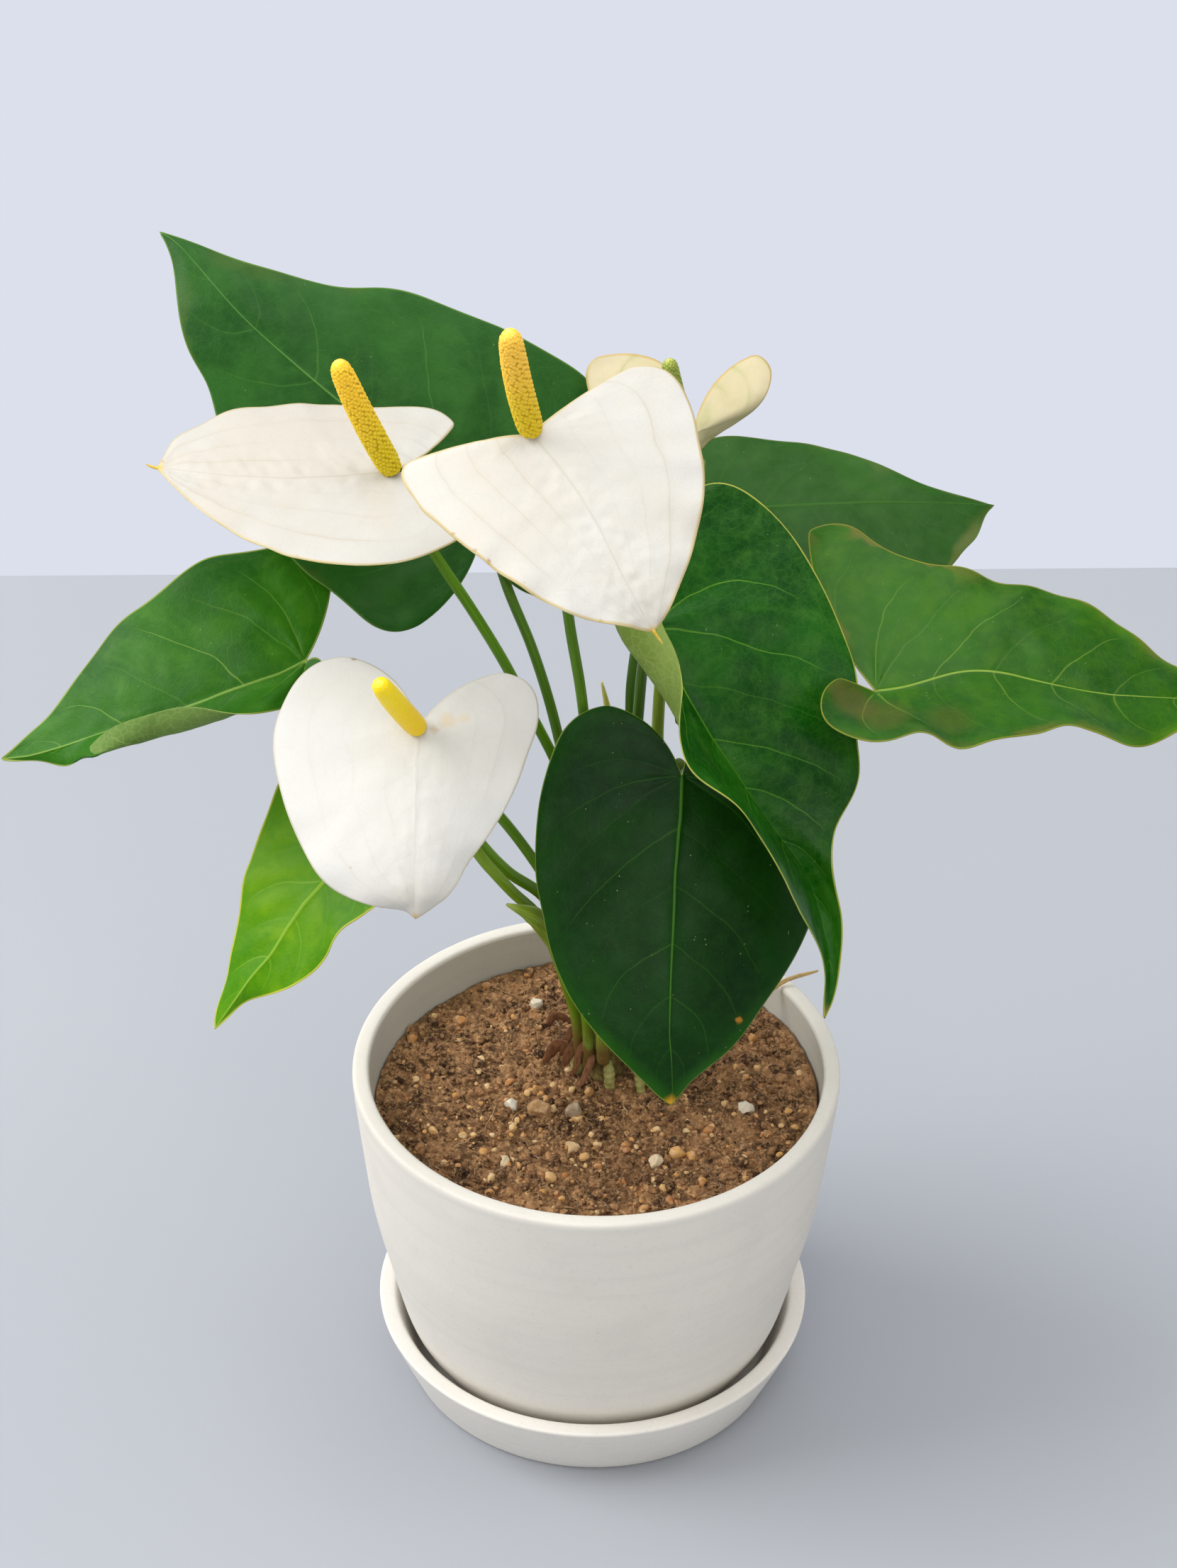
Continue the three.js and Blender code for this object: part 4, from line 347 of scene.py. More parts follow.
            ((51.99,98.69,359.15),(67.73,78.39,347.7),(83.33,59.56,335.65)),
            ((56.6,99.14,359.47),(72.05,78.82,347.94),(87.36,60.03,335.79)),
            ((61.21,99.65,359.75),(76.37,79.28,348.17),(91.39,60.45,335.96)),
            ((65.83,100.11,359.95),(80.69,79.7,348.36),(95.43,60.84,336.14)),
            ((70.46,100.6,360.09),(85.02,80.15,348.53),(99.46,61.25,336.33)),
            ((75.1,101.14,360.21),(89.28,81.11,348.86),(103.36,62.6,336.9)),
            ((79.74,101.73,360.29),(93.55,82.11,349.17),(107.27,63.98,337.44)),
            ((84.38,102.33,360.32),(97.82,83.15,349.44),(111.18,65.41,337.95)),
            ((89.04,102.93,360.3),(102.11,84.21,349.66),(115.11,66.91,338.42)),
            ((93.7,103.62,360.22),(106.28,85.71,349.97),(118.81,69.17,339.12)),
            ((98.37,104.4,360.08),(110.42,87.41,350.31),(122.42,71.74,339.94)),
            ((103.05,105.25,359.9),(114.56,89.17,350.61),(126.04,74.33,340.75)),
            ((107.74,106.07,359.65),(118.69,90.96,350.88),(129.63,77.01,341.58)),
            ((112.44,106.84,359.32),(122.71,92.96,351.21),(132.98,80.16,342.59)),
            ((117.15,107.66,358.96),(126.74,95,351.52),(136.34,83.33,343.6)),
            ((121.86,108.5,358.59),(130.53,97.29,351.92),(139.22,86.98,344.8)),
            ((126.58,109.31,358.2),(133.95,99.95,352.48),(141.35,91.4,346.34)),
            ((131.31,110.07,357.69),(137.68,102.16,352.77),(144.09,94.96,347.47)),
            ((136.05,111,357.1),(141.8,103.92,352.76),(147.57,97.43,348.1)),
            ((140.82,112.05,356.42),(144.87,106.94,353.23),(148.94,102.29,349.78)),
            ((145.6,113.16,355.67),(147.9,110.04,353.66),(150.22,107.22,351.47)),
            ((150.4,114.32,354.85),(151.15,113.07,353.99),(151.91,111.97,353.04)),
            ((155.21,115.52,354.01),(155.21,115.52,354.01),(155.21,115.52,354.01)),
        ],
    },
    "leaf_centre_right": {
        "normal": (0.3,-0.75,0.59),
        "left": [
            ((17.65,-6,370.2),(8.2,-8.12,394.96),(12.93,-8.45,395.3)),
            ((17.65,-6,370.2),(3.94,-11.62,392.72),(16.8,-10.79,396.22)),
            ((17.65,-6,370.2),(2.87,-14.22,389.98),(18.23,-15.84,394.67)),
            ((17.65,-6,370.2),(2.62,-16.59,387.08),(19.32,-20.73,392.94)),
            ((17.65,-6,370.2),(3.01,-18.78,384.08),(20.15,-25.28,390.93)),
            ((17.65,-6,370.2),(3.66,-20.57,381.46),(20.9,-29.36,388.62)),
            ((17.65,-6,370.2),(4.77,-22.3,378.7),(21.93,-33.1,386.26)),
            ((17.65,-6,370.2),(7.71,-24.16,374.79),(24.39,-35.96,384.06)),
            ((17.65,-6,370.2),(10.68,-26.18,370.68),(26.44,-38.96,381.66)),
            ((17.65,-6,370.2),(13.96,-28.27,366.3),(27.79,-42.22,379.08)),
            ((17.65,-6,370.2),(17.2,-30.29,362.05),(28.76,-45.54,376.39)),
            ((17.65,-6,370.2),(20.36,-32.15,358.03),(29.51,-48.82,373.64)),
            ((17.65,-6,370.2),(23.59,-33.73,354.35),(29.82,-52.13,370.84)),
            ((20.79,-9.49,365.13),(26.95,-35.74,350.54),(29.11,-56.75,367.09)),
            ((23.92,-12.86,359.98),(28.55,-37.12,349.05),(28.21,-61.25,363.32)),
            ((27.22,-16.04,354.81),(28.17,-38.44,352.64),(28.23,-65.49,359.32)),
            ((30.52,-19.13,349.57),(30.08,-42.51,351.03),(29.61,-69.17,355.17)),
            ((34.1,-21.98,344.35),(33.36,-45.28,346.42),(32.58,-71.9,351.19)),
            ((37.76,-24.72,339.11),(37.29,-47.46,342.02),(36.76,-73.57,347.65)),
            ((41.47,-27.38,333.85),(41.48,-49.3,337.72),(41.4,-74.62,344.3)),
            ((45.56,-29.65,328.62),(45.91,-50.79,333.39),(46.13,-75.35,340.85)),
            ((49.7,-31.62,323.19),(50.28,-51.99,328.72),(50.71,-75.8,336.92)),
            ((53.68,-33.52,317.55),(54.34,-53.19,323.62),(54.85,-76.25,332.32)),
            ((57.64,-35.37,311.84),(58.21,-54.36,318.24),(58.62,-76.69,327.24)),
            ((61.84,-37.09,306.21),(61.99,-55.5,312.73),(61.98,-77.17,321.77)),
            ((66.04,-38.94,300.65),(65.48,-56.84,307.1),(64.77,-77.88,316)),
            ((70.5,-40.83,295.36),(68.84,-58.33,301.53),(67.06,-78.8,310.05)),
            ((74.94,-43,290.25),(72.38,-59.75,295.99),(69.72,-79.25,303.93)),
            ((78.44,-45.81,284.86),(75.65,-61.06,290.11),(72.78,-78.82,297.36)),
            ((81.35,-48.99,279.31),(78.9,-62.19,284.04),(76.36,-77.56,290.51)),
            ((83.83,-52.37,273.71),(81.9,-63.3,277.81),(79.88,-76.06,283.35)),
            ((85.37,-56.19,268.05),(84.11,-64.77,271.39),(82.78,-74.83,275.88)),
            ((87.2,-59.88,262.4),(86.04,-66.44,264.91),(84.81,-74.1,268.3)),
            ((88.24,-63.68,256.61),(87.09,-68.35,258.34),(85.89,-73.77,260.68)),
            ((88.77,-66.8,250.21),(87.73,-69.84,251.35),(86.66,-73.35,252.88)),
            ((88.57,-69.55,243.51),(87.82,-71.09,244.14),(87.06,-72.88,244.96)),
            ((87.47,-72.28,236.88),(87.47,-72.28,236.88),(87.47,-72.28,236.88)),
        ],
        "right": [
            ((17.65,-6,370.2),(16.7,9,386.18),(23.87,26.84,399.28)),
            ((17.65,-6,370.2),(19.68,11.92,388.47),(29.02,32.53,404.17)),
            ((17.65,-6,370.2),(24.07,14.55,389.85),(35.84,37.36,407.59)),
            ((17.65,-6,370.2),(29.5,16.14,389.51),(44.37,40,407.69)),
            ((17.65,-6,370.2),(34.37,15.9,387.22),(52.16,38.97,403.77)),
            ((17.65,-6,370.2),(38.35,15.03,384.66),(59.33,36.88,398.98)),
            ((17.65,-6,370.2),(41.46,13.63,381.92),(65.59,33.85,393.59)),
            ((17.65,-6,370.2),(44.42,11.85,379.25),(71.53,29.91,388.43)),
            ((17.65,-6,370.2),(46.76,9.41,376.41),(76.21,24.52,382.99)),
            ((17.65,-6,370.2),(48.94,6.89,373.51),(80.56,18.96,377.45)),
            ((17.65,-6,370.2),(51.11,4.57,370.47),(84.88,13.96,371.55)),
            ((17.65,-6,370.2),(52.92,2.36,367.14),(88.51,9.39,364.95)),
            ((17.65,-6,370.2),(54.57,0.14,363.74),(91.84,4.84,358.17)),
            ((20.79,-9.49,365.13),(57.42,-3.13,358.82),(94.4,1.89,353.35)),
            ((23.92,-12.86,359.98),(59.89,-6.42,353.77),(96.2,-1.2,348.33)),
            ((27.22,-16.04,354.81),(61.93,-9.67,348.59),(96.97,-4.35,343.03)),
            ((30.52,-19.13,349.57),(63.79,-12.82,343.32),(97.4,-7.35,337.61)),
            ((34.1,-21.98,344.35),(65.55,-15.89,338.08),(97.33,-10.42,332.21)),
            ((37.76,-24.72,339.11),(67.06,-18.99,332.91),(96.65,-13.72,326.99)),
            ((41.47,-27.38,333.85),(69.62,-21.82,327.68),(98.05,-16.6,321.72)),
            ((45.56,-29.65,328.62),(72.01,-24.74,322.55),(98.69,-20.19,316.69)),
            ((49.7,-31.62,323.19),(73.72,-27.75,317.49),(97.91,-24.4,312.12)),
            ((53.68,-33.52,317.55),(74.59,-30.83,312.64),(95.59,-28.89,308.24)),
            ((57.64,-35.37,311.84),(74.85,-33.87,308.11),(92.07,-33.39,305.09)),
            ((61.84,-37.09,306.21),(75.34,-36.84,303.54),(88.79,-37.88,301.78)),
            ((66.04,-38.94,300.65),(77.12,-39.78,298.42),(88.12,-42.09,297.24)),
            ((70.5,-40.83,295.36),(79.46,-42.58,293.33),(88.32,-45.87,292.42)),
            ((74.94,-43,290.25),(82.21,-45.33,288.21),(89.37,-49.16,287.28)),
            ((78.44,-45.81,284.86),(84.54,-48.3,282.89),(90.54,-52.18,281.96)),
            ((81.35,-48.99,279.31),(86.64,-51.35,277.42),(91.84,-54.93,276.45)),
            ((83.83,-52.37,273.71),(88.43,-54.45,271.87),(92.96,-57.53,270.79)),
            ((85.37,-56.19,268.05),(89.39,-57.81,266.27),(93.36,-60.19,265.05)),
            ((87.2,-59.88,262.4),(90.17,-61.13,260.67),(93.12,-62.83,259.28)),
            ((88.24,-63.68,256.61),(90.35,-64.46,254.99),(92.46,-65.4,253.48)),
            ((88.77,-66.8,250.21),(90.27,-67.3,248.88),(91.78,-67.82,247.56)),
            ((88.57,-69.55,243.51),(89.56,-69.86,242.61),(90.55,-70.17,241.72)),
            ((87.47,-72.28,236.88),(87.47,-72.28,236.88),(87.47,-72.28,236.88)),
        ],
    },
    "leaf_right": {
        "normal": (0.12,-0.49,0.87),
        "left": [
            ((103.28,-8,344.03),(84.83,25.37,357.18),(78.08,66.68,369.62)),
            ((103.28,-8,344.03),(87.57,26.28,357.97),(82.4,67.88,371.32)),
            ((103.28,-8,344.03),(91.36,26.95,358.46),(87.08,67.99,372.29)),
            ((103.28,-8,344.03),(95.46,27.43,358.77),(91.81,67.56,372.87)),
            ((103.28,-8,344.03),(99.14,27.11,358.65),(96.27,65.66,372.59)),
            ((103.28,-8,344.03),(101.58,25.72,358.07),(99.96,62.18,371.44)),
            ((103.28,-8,344.03),(103.25,23.9,357.39),(103.33,58.24,370.15)),
            ((103.28,-8,344.03),(105.24,22.48,356.92),(107.35,55.12,369.3)),
            ((103.28,-8,344.03),(107.29,21.21,356.5),(111.49,52.3,368.55)),
            ((103.28,-8,344.03),(109.49,20.35,356.23),(115.93,50.37,368.11)),
            ((103.28,-8,344.03),(111.73,19.67,355.95),(120.45,48.82,367.63)),
            ((103.28,-8,344.03),(113.96,19.05,355.57),(124.95,47.45,366.91)),
            ((103.28,-8,344.03),(116.31,19.12,355.4),(129.7,47.56,366.59)),
            ((108.95,-7.41,344.6),(121.82,19.78,355.68),(135.06,48.41,366.5)),
            ((114.56,-6.4,345.32),(127.19,19.84,355.58),(140.2,47.61,365.49)),
            ((120.08,-4.79,346.27),(132.4,19.87,355.41),(145.09,46.11,364.1)),
            ((125.59,-2.97,347.23),(137.5,19.82,355.14),(149.78,44.21,362.5)),
            ((131.14,-1.16,348.05),(142.73,20.05,354.92),(154.69,42.88,361.17)),
            ((136.82,0.22,348.48),(148.23,20.81,354.88),(160,43.06,360.62)),
            ((142.59,1.07,348.45),(153.8,21.53,354.71),(165.38,43.68,360.29)),
            ((148.36,1.37,347.95),(159.28,21.48,354.03),(170.57,43.3,359.39)),
            ((154.08,1.27,347.09),(164.63,20.85,352.93),(175.55,42.1,358.06)),
            ((159.71,0.78,345.91),(169.98,20.16,351.73),(180.62,41.19,356.85)),
            ((165.35,0.41,344.7),(175.31,19.46,350.46),(185.62,40.12,355.53)),
            ((171.04,0.22,343.49),(180.55,18.61,349.03),(190.39,38.56,353.88)),
            ((176.76,0.17,342.29),(185.75,17.76,347.53),(195.06,36.85,352.09)),
            ((182.51,0.25,341.08),(190.71,16.62,345.84),(199.23,34.43,349.9)),
            ((188.32,0.64,339.98),(195.65,15.57,344.14),(203.27,31.89,347.6)),
            ((194.17,1.17,338.92),(200.49,14.49,342.38),(207.07,29.12,345.15)),
            ((200.09,2.16,338.05),(205.58,13.93,340.83),(211.32,26.97,342.92)),
            ((206.05,3.38,337.03),(210.79,13.65,339.24),(215.76,25.11,340.78)),
            ((212.08,4.92,335.82),(216.12,13.7,337.58),(220.35,23.53,338.72)),
            ((218.17,6.71,334.44),(221.52,13.97,335.84),(225.04,22.12,336.71)),
            ((224.31,8.72,332.93),(226.96,14.4,334.02),(229.73,20.77,334.68)),
            ((230.51,10.9,331.31),(232.34,14.8,332.06),(234.26,19.17,332.5)),
            ((236.74,13.19,329.61),(237.67,15.15,329.98),(238.64,17.35,330.19)),
            ((243.02,15.56,327.87),(243.02,15.56,327.87),(243.02,15.56,327.87)),
        ],
        "right": [
            ((103.28,-8,344.03),(96.04,-9.65,348.5),(88.72,-12.76,353.47)),
            ((103.28,-8,344.03),(93.95,-11.61,348.57),(84.57,-16.86,353.77)),
            ((103.28,-8,344.03),(92.62,-14.34,348.08),(81.95,-22.42,352.99)),
            ((103.28,-8,344.03),(92.18,-17.22,347.32),(81.11,-28.25,351.69)),
            ((103.28,-8,344.03),(92.26,-20,346.47),(81.28,-33.85,350.19)),
            ((103.28,-8,344.03),(93.44,-22.1,345.72),(83.63,-38.13,348.84)),
            ((103.28,-8,344.03),(95.29,-23.33,345.22),(87.3,-40.67,347.93)),
            ((103.28,-8,344.03),(97.31,-24.18,344.75),(91.29,-42.42,347.08)),
            ((103.28,-8,344.03),(99.38,-24.87,344.34),(95.38,-43.85,346.32)),
            ((103.28,-8,344.03),(101.56,-25.18,344.11),(99.69,-44.52,345.9)),
            ((103.28,-8,344.03),(103.78,-25.11,344.07),(104.07,-44.43,345.85)),
            ((103.28,-8,344.03),(105.96,-24.71,344.19),(108.38,-43.7,346.12)),
            ((103.28,-8,344.03),(108.03,-23.78,344.6),(112.47,-41.9,346.96)),
            ((108.95,-7.41,344.6),(113.39,-22.05,345.59),(117.53,-39,348.29)),
            ((114.56,-6.4,345.32),(118.78,-22.26,345.39),(122.68,-40.33,347.16)),
            ((120.08,-4.79,346.27),(123.81,-22.93,344.87),(127.22,-43.16,345.17)),
            ((125.59,-2.97,347.23),(129.16,-22.77,344.64),(132.41,-44.56,343.73)),
            ((131.14,-1.16,348.05),(134.74,-21.5,344.84),(138.02,-43.73,343.27)),
            ((136.82,0.22,348.48),(140.26,-19.38,345.34),(143.39,-40.81,343.77)),
            ((142.59,1.07,348.45),(145.95,-17.74,345.38),(149,-38.3,343.82)),
            ((148.36,1.37,347.95),(151.54,-15.84,345.43),(154.41,-34.73,344.3)),
            ((154.08,1.27,347.09),(157.23,-14.65,344.91),(160.09,-32.2,344.04)),
            ((159.71,0.78,345.91),(162.77,-15.09,343.4),(165.55,-32.5,342.15)),
            ((165.35,0.41,344.7),(168.1,-13.16,343.16),(170.58,-28.22,342.78)),
            ((171.04,0.22,343.49),(173.63,-11.49,342.67),(175.96,-24.64,342.92)),
            ((176.76,0.17,342.29),(179.35,-11.29,341.25),(181.69,-24.09,341.22)),
            ((182.51,0.25,341.08),(185.06,-10.9,339.71),(187.37,-23.26,339.27)),
            ((188.32,0.64,339.98),(189.91,-11.75,337.42),(191.29,-25.18,335.69)),
            ((194.17,1.17,338.92),(195.23,-11.86,335.33),(196.11,-25.74,332.47)),
            ((200.09,2.16,338.05),(201.21,-10.01,334.15),(202.2,-22.84,330.83)),
            ((206.05,3.38,337.03),(207.14,-7.12,333.37),(208.12,-18.13,330.16)),
            ((212.08,4.92,335.82),(213.06,-3.87,332.6),(213.95,-13.07,329.72)),
            ((218.17,6.71,334.44),(219.02,-0.43,331.74),(219.8,-7.89,329.3)),
            ((224.31,8.72,332.93),(225,3.28,330.83),(225.63,-2.41,328.91)),
            ((230.51,10.9,331.31),(231.01,7.16,329.84),(231.48,3.27,328.48)),
            ((236.74,13.19,329.61),(236.99,11.32,328.88),(237.22,9.36,328.2)),
            ((243.02,15.56,327.87),(243.02,15.56,327.87),(243.02,15.56,327.87)),
        ],
    },
    "leaf_front": {
        "normal": (0,-0.86,0.52),
        "left": [
            ((30.86,-28,317.22),(19.65,-17.87,331.34),(2.03,-11.2,337.41)),
            ((30.86,-28,317.22),(16.56,-18.24,330.51),(-3.49,-11.41,336.47)),
            ((30.86,-28,317.22),(13.36,-19.34,328.51),(-8.34,-12.46,334.27)),
            ((30.86,-28,317.22),(10.29,-20.88,325.83),(-12.59,-14.16,331.07)),
            ((30.86,-28,317.22),(7.8,-22.53,322.98),(-16.01,-16.34,327.19)),
            ((30.86,-28,317.22),(6.54,-24.08,320.34),(-17.88,-18.96,322.66)),
            ((30.86,-28,317.22),(5.74,-25.45,318.04),(-19.5,-21.69,318.04)),
            ((30.86,-28,317.22),(4.92,-26.83,315.75),(-21.15,-24.46,313.44)),
            ((30.86,-28,317.22),(4.31,-28.27,313.43),(-22.38,-27.37,308.81)),
            ((30.86,-28,317.22),(3.82,-29.74,311.11),(-23.37,-30.37,304.19)),
            ((30.86,-28,317.22),(3.59,-31.25,308.77),(-23.82,-33.48,299.55)),
            ((30.86,-28,317.22),(3.43,-32.79,306.44),(-24.13,-36.63,294.94)),
            ((30.86,-28,317.22),(3.37,-34.34,304.12),(-24.27,-39.83,290.34)),
            ((30.79,-31.42,313.25),(3.37,-37.5,300.22),(-24.21,-42.6,286.39)),
            ((30.72,-34.81,309.28),(3.51,-40.64,296.31),(-23.85,-45.38,282.46)),
            ((30.57,-38.15,305.28),(3.65,-43.75,292.39),(-23.43,-48.14,278.53)),
            ((30.12,-41.43,301.25),(3.97,-46.78,288.49),(-22.34,-50.85,274.69)),
            ((29.82,-44.63,297.16),(4.41,-49.76,284.55),(-21.18,-53.53,270.84)),
            ((29.52,-47.72,292.99),(4.88,-52.66,280.58),(-19.94,-56.21,267.02)),
            ((29.16,-50.69,288.74),(5.13,-55.53,276.52),(-19.06,-58.99,263.17)),
            ((29.07,-53.52,284.38),(5.74,-58.28,272.46),(-17.73,-61.73,259.46)),
            ((29.05,-56.22,279.91),(6.55,-60.94,268.37),(-16.08,-64.45,255.83)),
            ((28.99,-58.91,275.43),(7.39,-63.58,264.3),(-14.32,-67.15,252.24)),
            ((28.89,-61.6,270.95),(8.25,-66.21,260.23),(-12.49,-69.82,248.67)),
            ((28.76,-64.29,266.46),(9.17,-68.81,256.19),(-10.52,-72.43,245.15)),
            ((28.63,-66.98,261.98),(10.5,-71.28,252.33),(-7.72,-74.76,241.99)),
            ((28.51,-69.68,257.49),(11.83,-73.73,248.46),(-4.92,-77.04,238.79)),
            ((28.44,-72.37,253),(13.34,-76.09,244.67),(-1.81,-79.12,235.75)),
            ((28.44,-75.07,248.5),(14.97,-78.39,240.92),(1.46,-81.04,232.77)),
            ((28.44,-77.76,244),(16.62,-80.64,237.15),(4.77,-82.83,229.73)),
            ((28.44,-80.22,239.31),(18.37,-82.63,233.28),(8.26,-84.37,226.7)),
            ((28.59,-82.37,234.37),(20.19,-84.36,229.21),(11.76,-85.75,223.55)),
            ((29.13,-84.26,229.24),(22.2,-85.89,224.98),(15.26,-87,220.28)),
            ((29.66,-85.97,223.94),(24.21,-87.25,220.6),(18.76,-88.14,216.92)),
            ((29.99,-87.55,218.5),(26.13,-88.5,216.1),(22.26,-89.19,213.48)),
            ((30.14,-89.05,212.97),(27.94,-89.69,211.51),(25.73,-90.2,209.94)),
            ((29.75,-90.51,207.42),(29.75,-90.51,207.42),(29.75,-90.51,207.42)),
        ],
        "right": [
            ((30.86,-28,317.22),(37.19,-18.6,328.75),(51.37,-11.84,332.48)),
            ((30.86,-28,317.22),(39.97,-19.11,327.25),(56.13,-12.2,330.04)),
            ((30.86,-28,317.22),(43.31,-19.92,325.26),(60.91,-12.58,327.6)),
            ((30.86,-28,317.22),(46.31,-21.2,322.51),(64.64,-13.71,323.98)),
            ((30.86,-28,317.22),(49.01,-22.47,319.8),(68.14,-15.02,320.09)),
            ((30.86,-28,317.22),(50.96,-23.52,317.47),(71.26,-16.5,315.98)),
            ((30.86,-28,317.22),(52.23,-24.46,315.33),(73.85,-18.2,311.56)),
            ((30.86,-28,317.22),(53.51,-25.41,313.2),(76.44,-19.92,307.15)),
            ((30.86,-28,317.22),(54.51,-26.41,310.96),(78.48,-21.72,302.5)),
            ((30.86,-28,317.22),(55.26,-27.44,308.61),(80.02,-23.58,297.62)),
            ((30.86,-28,317.22),(56.01,-28.46,306.26),(81.56,-25.44,292.72)),
            ((30.86,-28,317.22),(56.63,-29.52,303.89),(82.84,-27.36,287.8)),
            ((30.86,-28,317.22),(56.97,-30.63,301.49),(83.55,-29.41,282.81)),
            ((30.79,-31.42,313.25),(57.24,-33.5,297.39),(84.2,-31.41,278.3)),
            ((30.72,-34.81,309.28),(57.46,-36.41,293.32),(84.76,-33.53,273.87)),
            ((30.57,-38.15,305.28),(57.17,-39.35,289.26),(84.35,-35.83,269.54)),
            ((30.12,-41.43,301.25),(56.72,-42.32,285.22),(83.93,-38.31,265.34)),
            ((29.82,-44.63,297.16),(56.23,-45.26,281.21),(83.25,-40.89,261.31)),
            ((29.52,-47.72,292.99),(55.01,-48.06,277.35),(81.1,-43.36,257.7)),
            ((29.16,-50.69,288.74),(53.89,-50.85,273.41),(79.19,-45.97,254.06)),
            ((29.07,-53.52,284.38),(52.74,-53.53,269.49),(76.96,-48.58,250.62)),
            ((29.05,-56.22,279.91),(51.56,-56.14,265.54),(74.59,-51.22,247.27)),
            ((28.99,-58.91,275.43),(50.36,-58.75,261.6),(72.21,-53.89,243.97)),
            ((28.89,-61.6,270.95),(49.14,-61.37,257.66),(69.84,-56.6,240.69)),
            ((28.76,-64.29,266.46),(47.82,-64.06,253.84),(67.29,-59.5,237.69)),
            ((28.63,-66.98,261.98),(46.46,-66.86,250.14),(64.62,-62.74,235.03)),
            ((28.51,-69.68,257.49),(45.07,-69.73,246.51),(61.93,-66.17,232.56)),
            ((28.44,-72.37,253),(43.62,-72.58,242.94),(59.05,-69.56,230.23)),
            ((28.44,-75.07,248.5),(42.21,-75.37,239.34),(56.18,-72.8,227.79)),
            ((28.44,-77.76,244),(40.59,-77.98,235.8),(52.9,-75.59,225.45)),
            ((28.44,-80.22,239.31),(38.93,-80.41,232.18),(49.53,-78.35,223.18)),
            ((28.59,-82.37,234.37),(37.23,-82.57,228.48),(45.97,-80.94,221.05)),
            ((29.13,-84.26,229.24),(35.72,-84.48,224.6),(42.37,-83.28,218.78)),
            ((29.66,-85.97,223.94),(34.14,-86.09,220.57),(38.65,-85.16,216.33)),
            ((29.99,-87.55,218.5),(32.57,-87.57,216.3),(35.17,-86.86,213.49)),
            ((30.14,-89.05,212.97),(31.44,-89.22,211.58),(32.75,-89.03,209.88)),
            ((29.75,-90.51,207.42),(29.75,-90.51,207.42),(29.75,-90.51,207.42)),
        ],
    },
    "spathe_left": {
        "normal": (-0.01,-0.1,0.99),
        "left": [
            ((-80.04,12,423.01),(-67.32,27.3,423.46),(-58.09,48.9,423.55)),
            ((-80.04,12,423.01),(-68.99,29.93,423.74),(-61.07,53.79,424.07)),
            ((-80.04,12,423.01),(-71.22,32.18,423.97),(-64.67,57.24,424.44)),
            ((-80.04,12,423.01),(-73.74,33.62,424.12),(-68.68,58.81,424.63)),
            ((-80.04,12,423.01),(-76.18,34.44,424.21),(-72.71,59.31,424.71)),
            ((-80.04,12,423.01),(-78.37,34.58,424.23),(-76.75,59.1,424.73)),
            ((-80.04,12,423.01),(-80.35,34.43,424.23),(-80.78,58.75,424.74)),
            ((-80.04,12,423.01),(-82.33,34.19,424.22),(-84.79,58.23,424.73)),
            ((-80.04,12,423.01),(-84.31,33.94,424.21),(-88.8,57.68,424.73)),
            ((-80.04,12,423.01),(-86.3,33.82,424.21),(-92.83,57.41,424.76)),
            ((-80.04,12,423.01),(-88.3,34.1,424.26),(-96.89,57.93,424.9)),
            ((-80.04,12,423.01),(-90.31,34.35,424.33),(-100.95,58.38,425.07)),
            ((-80.04,12,423.01),(-92.3,34.44,424.4),(-104.99,58.48,425.25)),
            ((-83.62,11.22,423.02),(-95.68,33.88,424.45),(-108.15,58.11,425.37)),
            ((-87.19,10.47,423.01),(-99.05,33.32,424.5),(-111.32,57.73,425.5)),
            ((-90.77,9.74,423),(-102.42,32.78,424.55),(-114.48,57.34,425.64)),
            ((-94.34,9.02,422.97),(-105.79,32.25,424.58),(-117.64,56.94,425.78)),
            ((-97.92,8.33,422.93),(-109.16,31.73,424.61),(-120.79,56.54,425.92)),
            ((-101.51,7.87,422.9),(-112.54,31.34,424.65),(-123.95,56.16,426.05)),
            ((-105.12,7.48,422.87),(-115.91,30.81,424.66),(-127.07,55.43,426.13)),
            ((-108.72,7.11,422.83),(-119.28,30.3,424.66),(-130.19,54.71,426.19)),
            ((-112.33,6.75,422.79),(-122.65,29.81,424.64),(-133.3,54.03,426.24)),
            ((-115.93,6.4,422.74),(-126,29.25,424.61),(-136.39,53.23,426.24)),
            ((-119.54,6.05,422.69),(-129.32,28.53,424.54),(-139.42,52.08,426.17)),
            ((-123.19,6.24,422.68),(-132.67,28.1,424.49),(-142.46,50.99,426.07)),
            ((-126.84,6.44,422.68),(-135.98,27.54,424.4),(-145.41,49.64,425.89)),
            ((-130.49,6.64,422.67),(-139.23,26.74,424.28),(-148.23,47.81,425.65)),
            ((-134.15,6.87,422.65),(-142.39,25.74,424.12),(-150.87,45.54,425.33)),
            ((-137.83,7.22,422.56),(-145.5,24.67,423.89),(-153.4,42.98,424.95)),
            ((-141.52,7.77,422.41),(-148.61,23.71,423.61),(-155.9,40.44,424.55)),
            ((-145.26,8.74,422.23),(-151.74,22.99,423.29),(-158.39,37.92,424.13)),
            ((-149,9.8,422),(-154.85,22.28,422.94),(-160.83,35.32,423.67)),
            ((-152.77,10.93,421.73),(-157.93,21.55,422.54),(-163.19,32.62,423.19)),
            ((-156.55,12.11,421.42),(-160.54,20.25,422.05),(-164.6,28.69,422.55)),
            ((-160.34,13.39,421.1),(-162.93,18.74,421.52),(-165.55,24.28,421.85)),
            ((-164.14,14.71,420.77),(-165.37,17.32,420.98),(-166.61,20.01,421.14)),
            ((-167.95,16.04,420.44),(-167.95,16.04,420.44),(-167.95,16.04,420.44)),
        ],
        "right": [
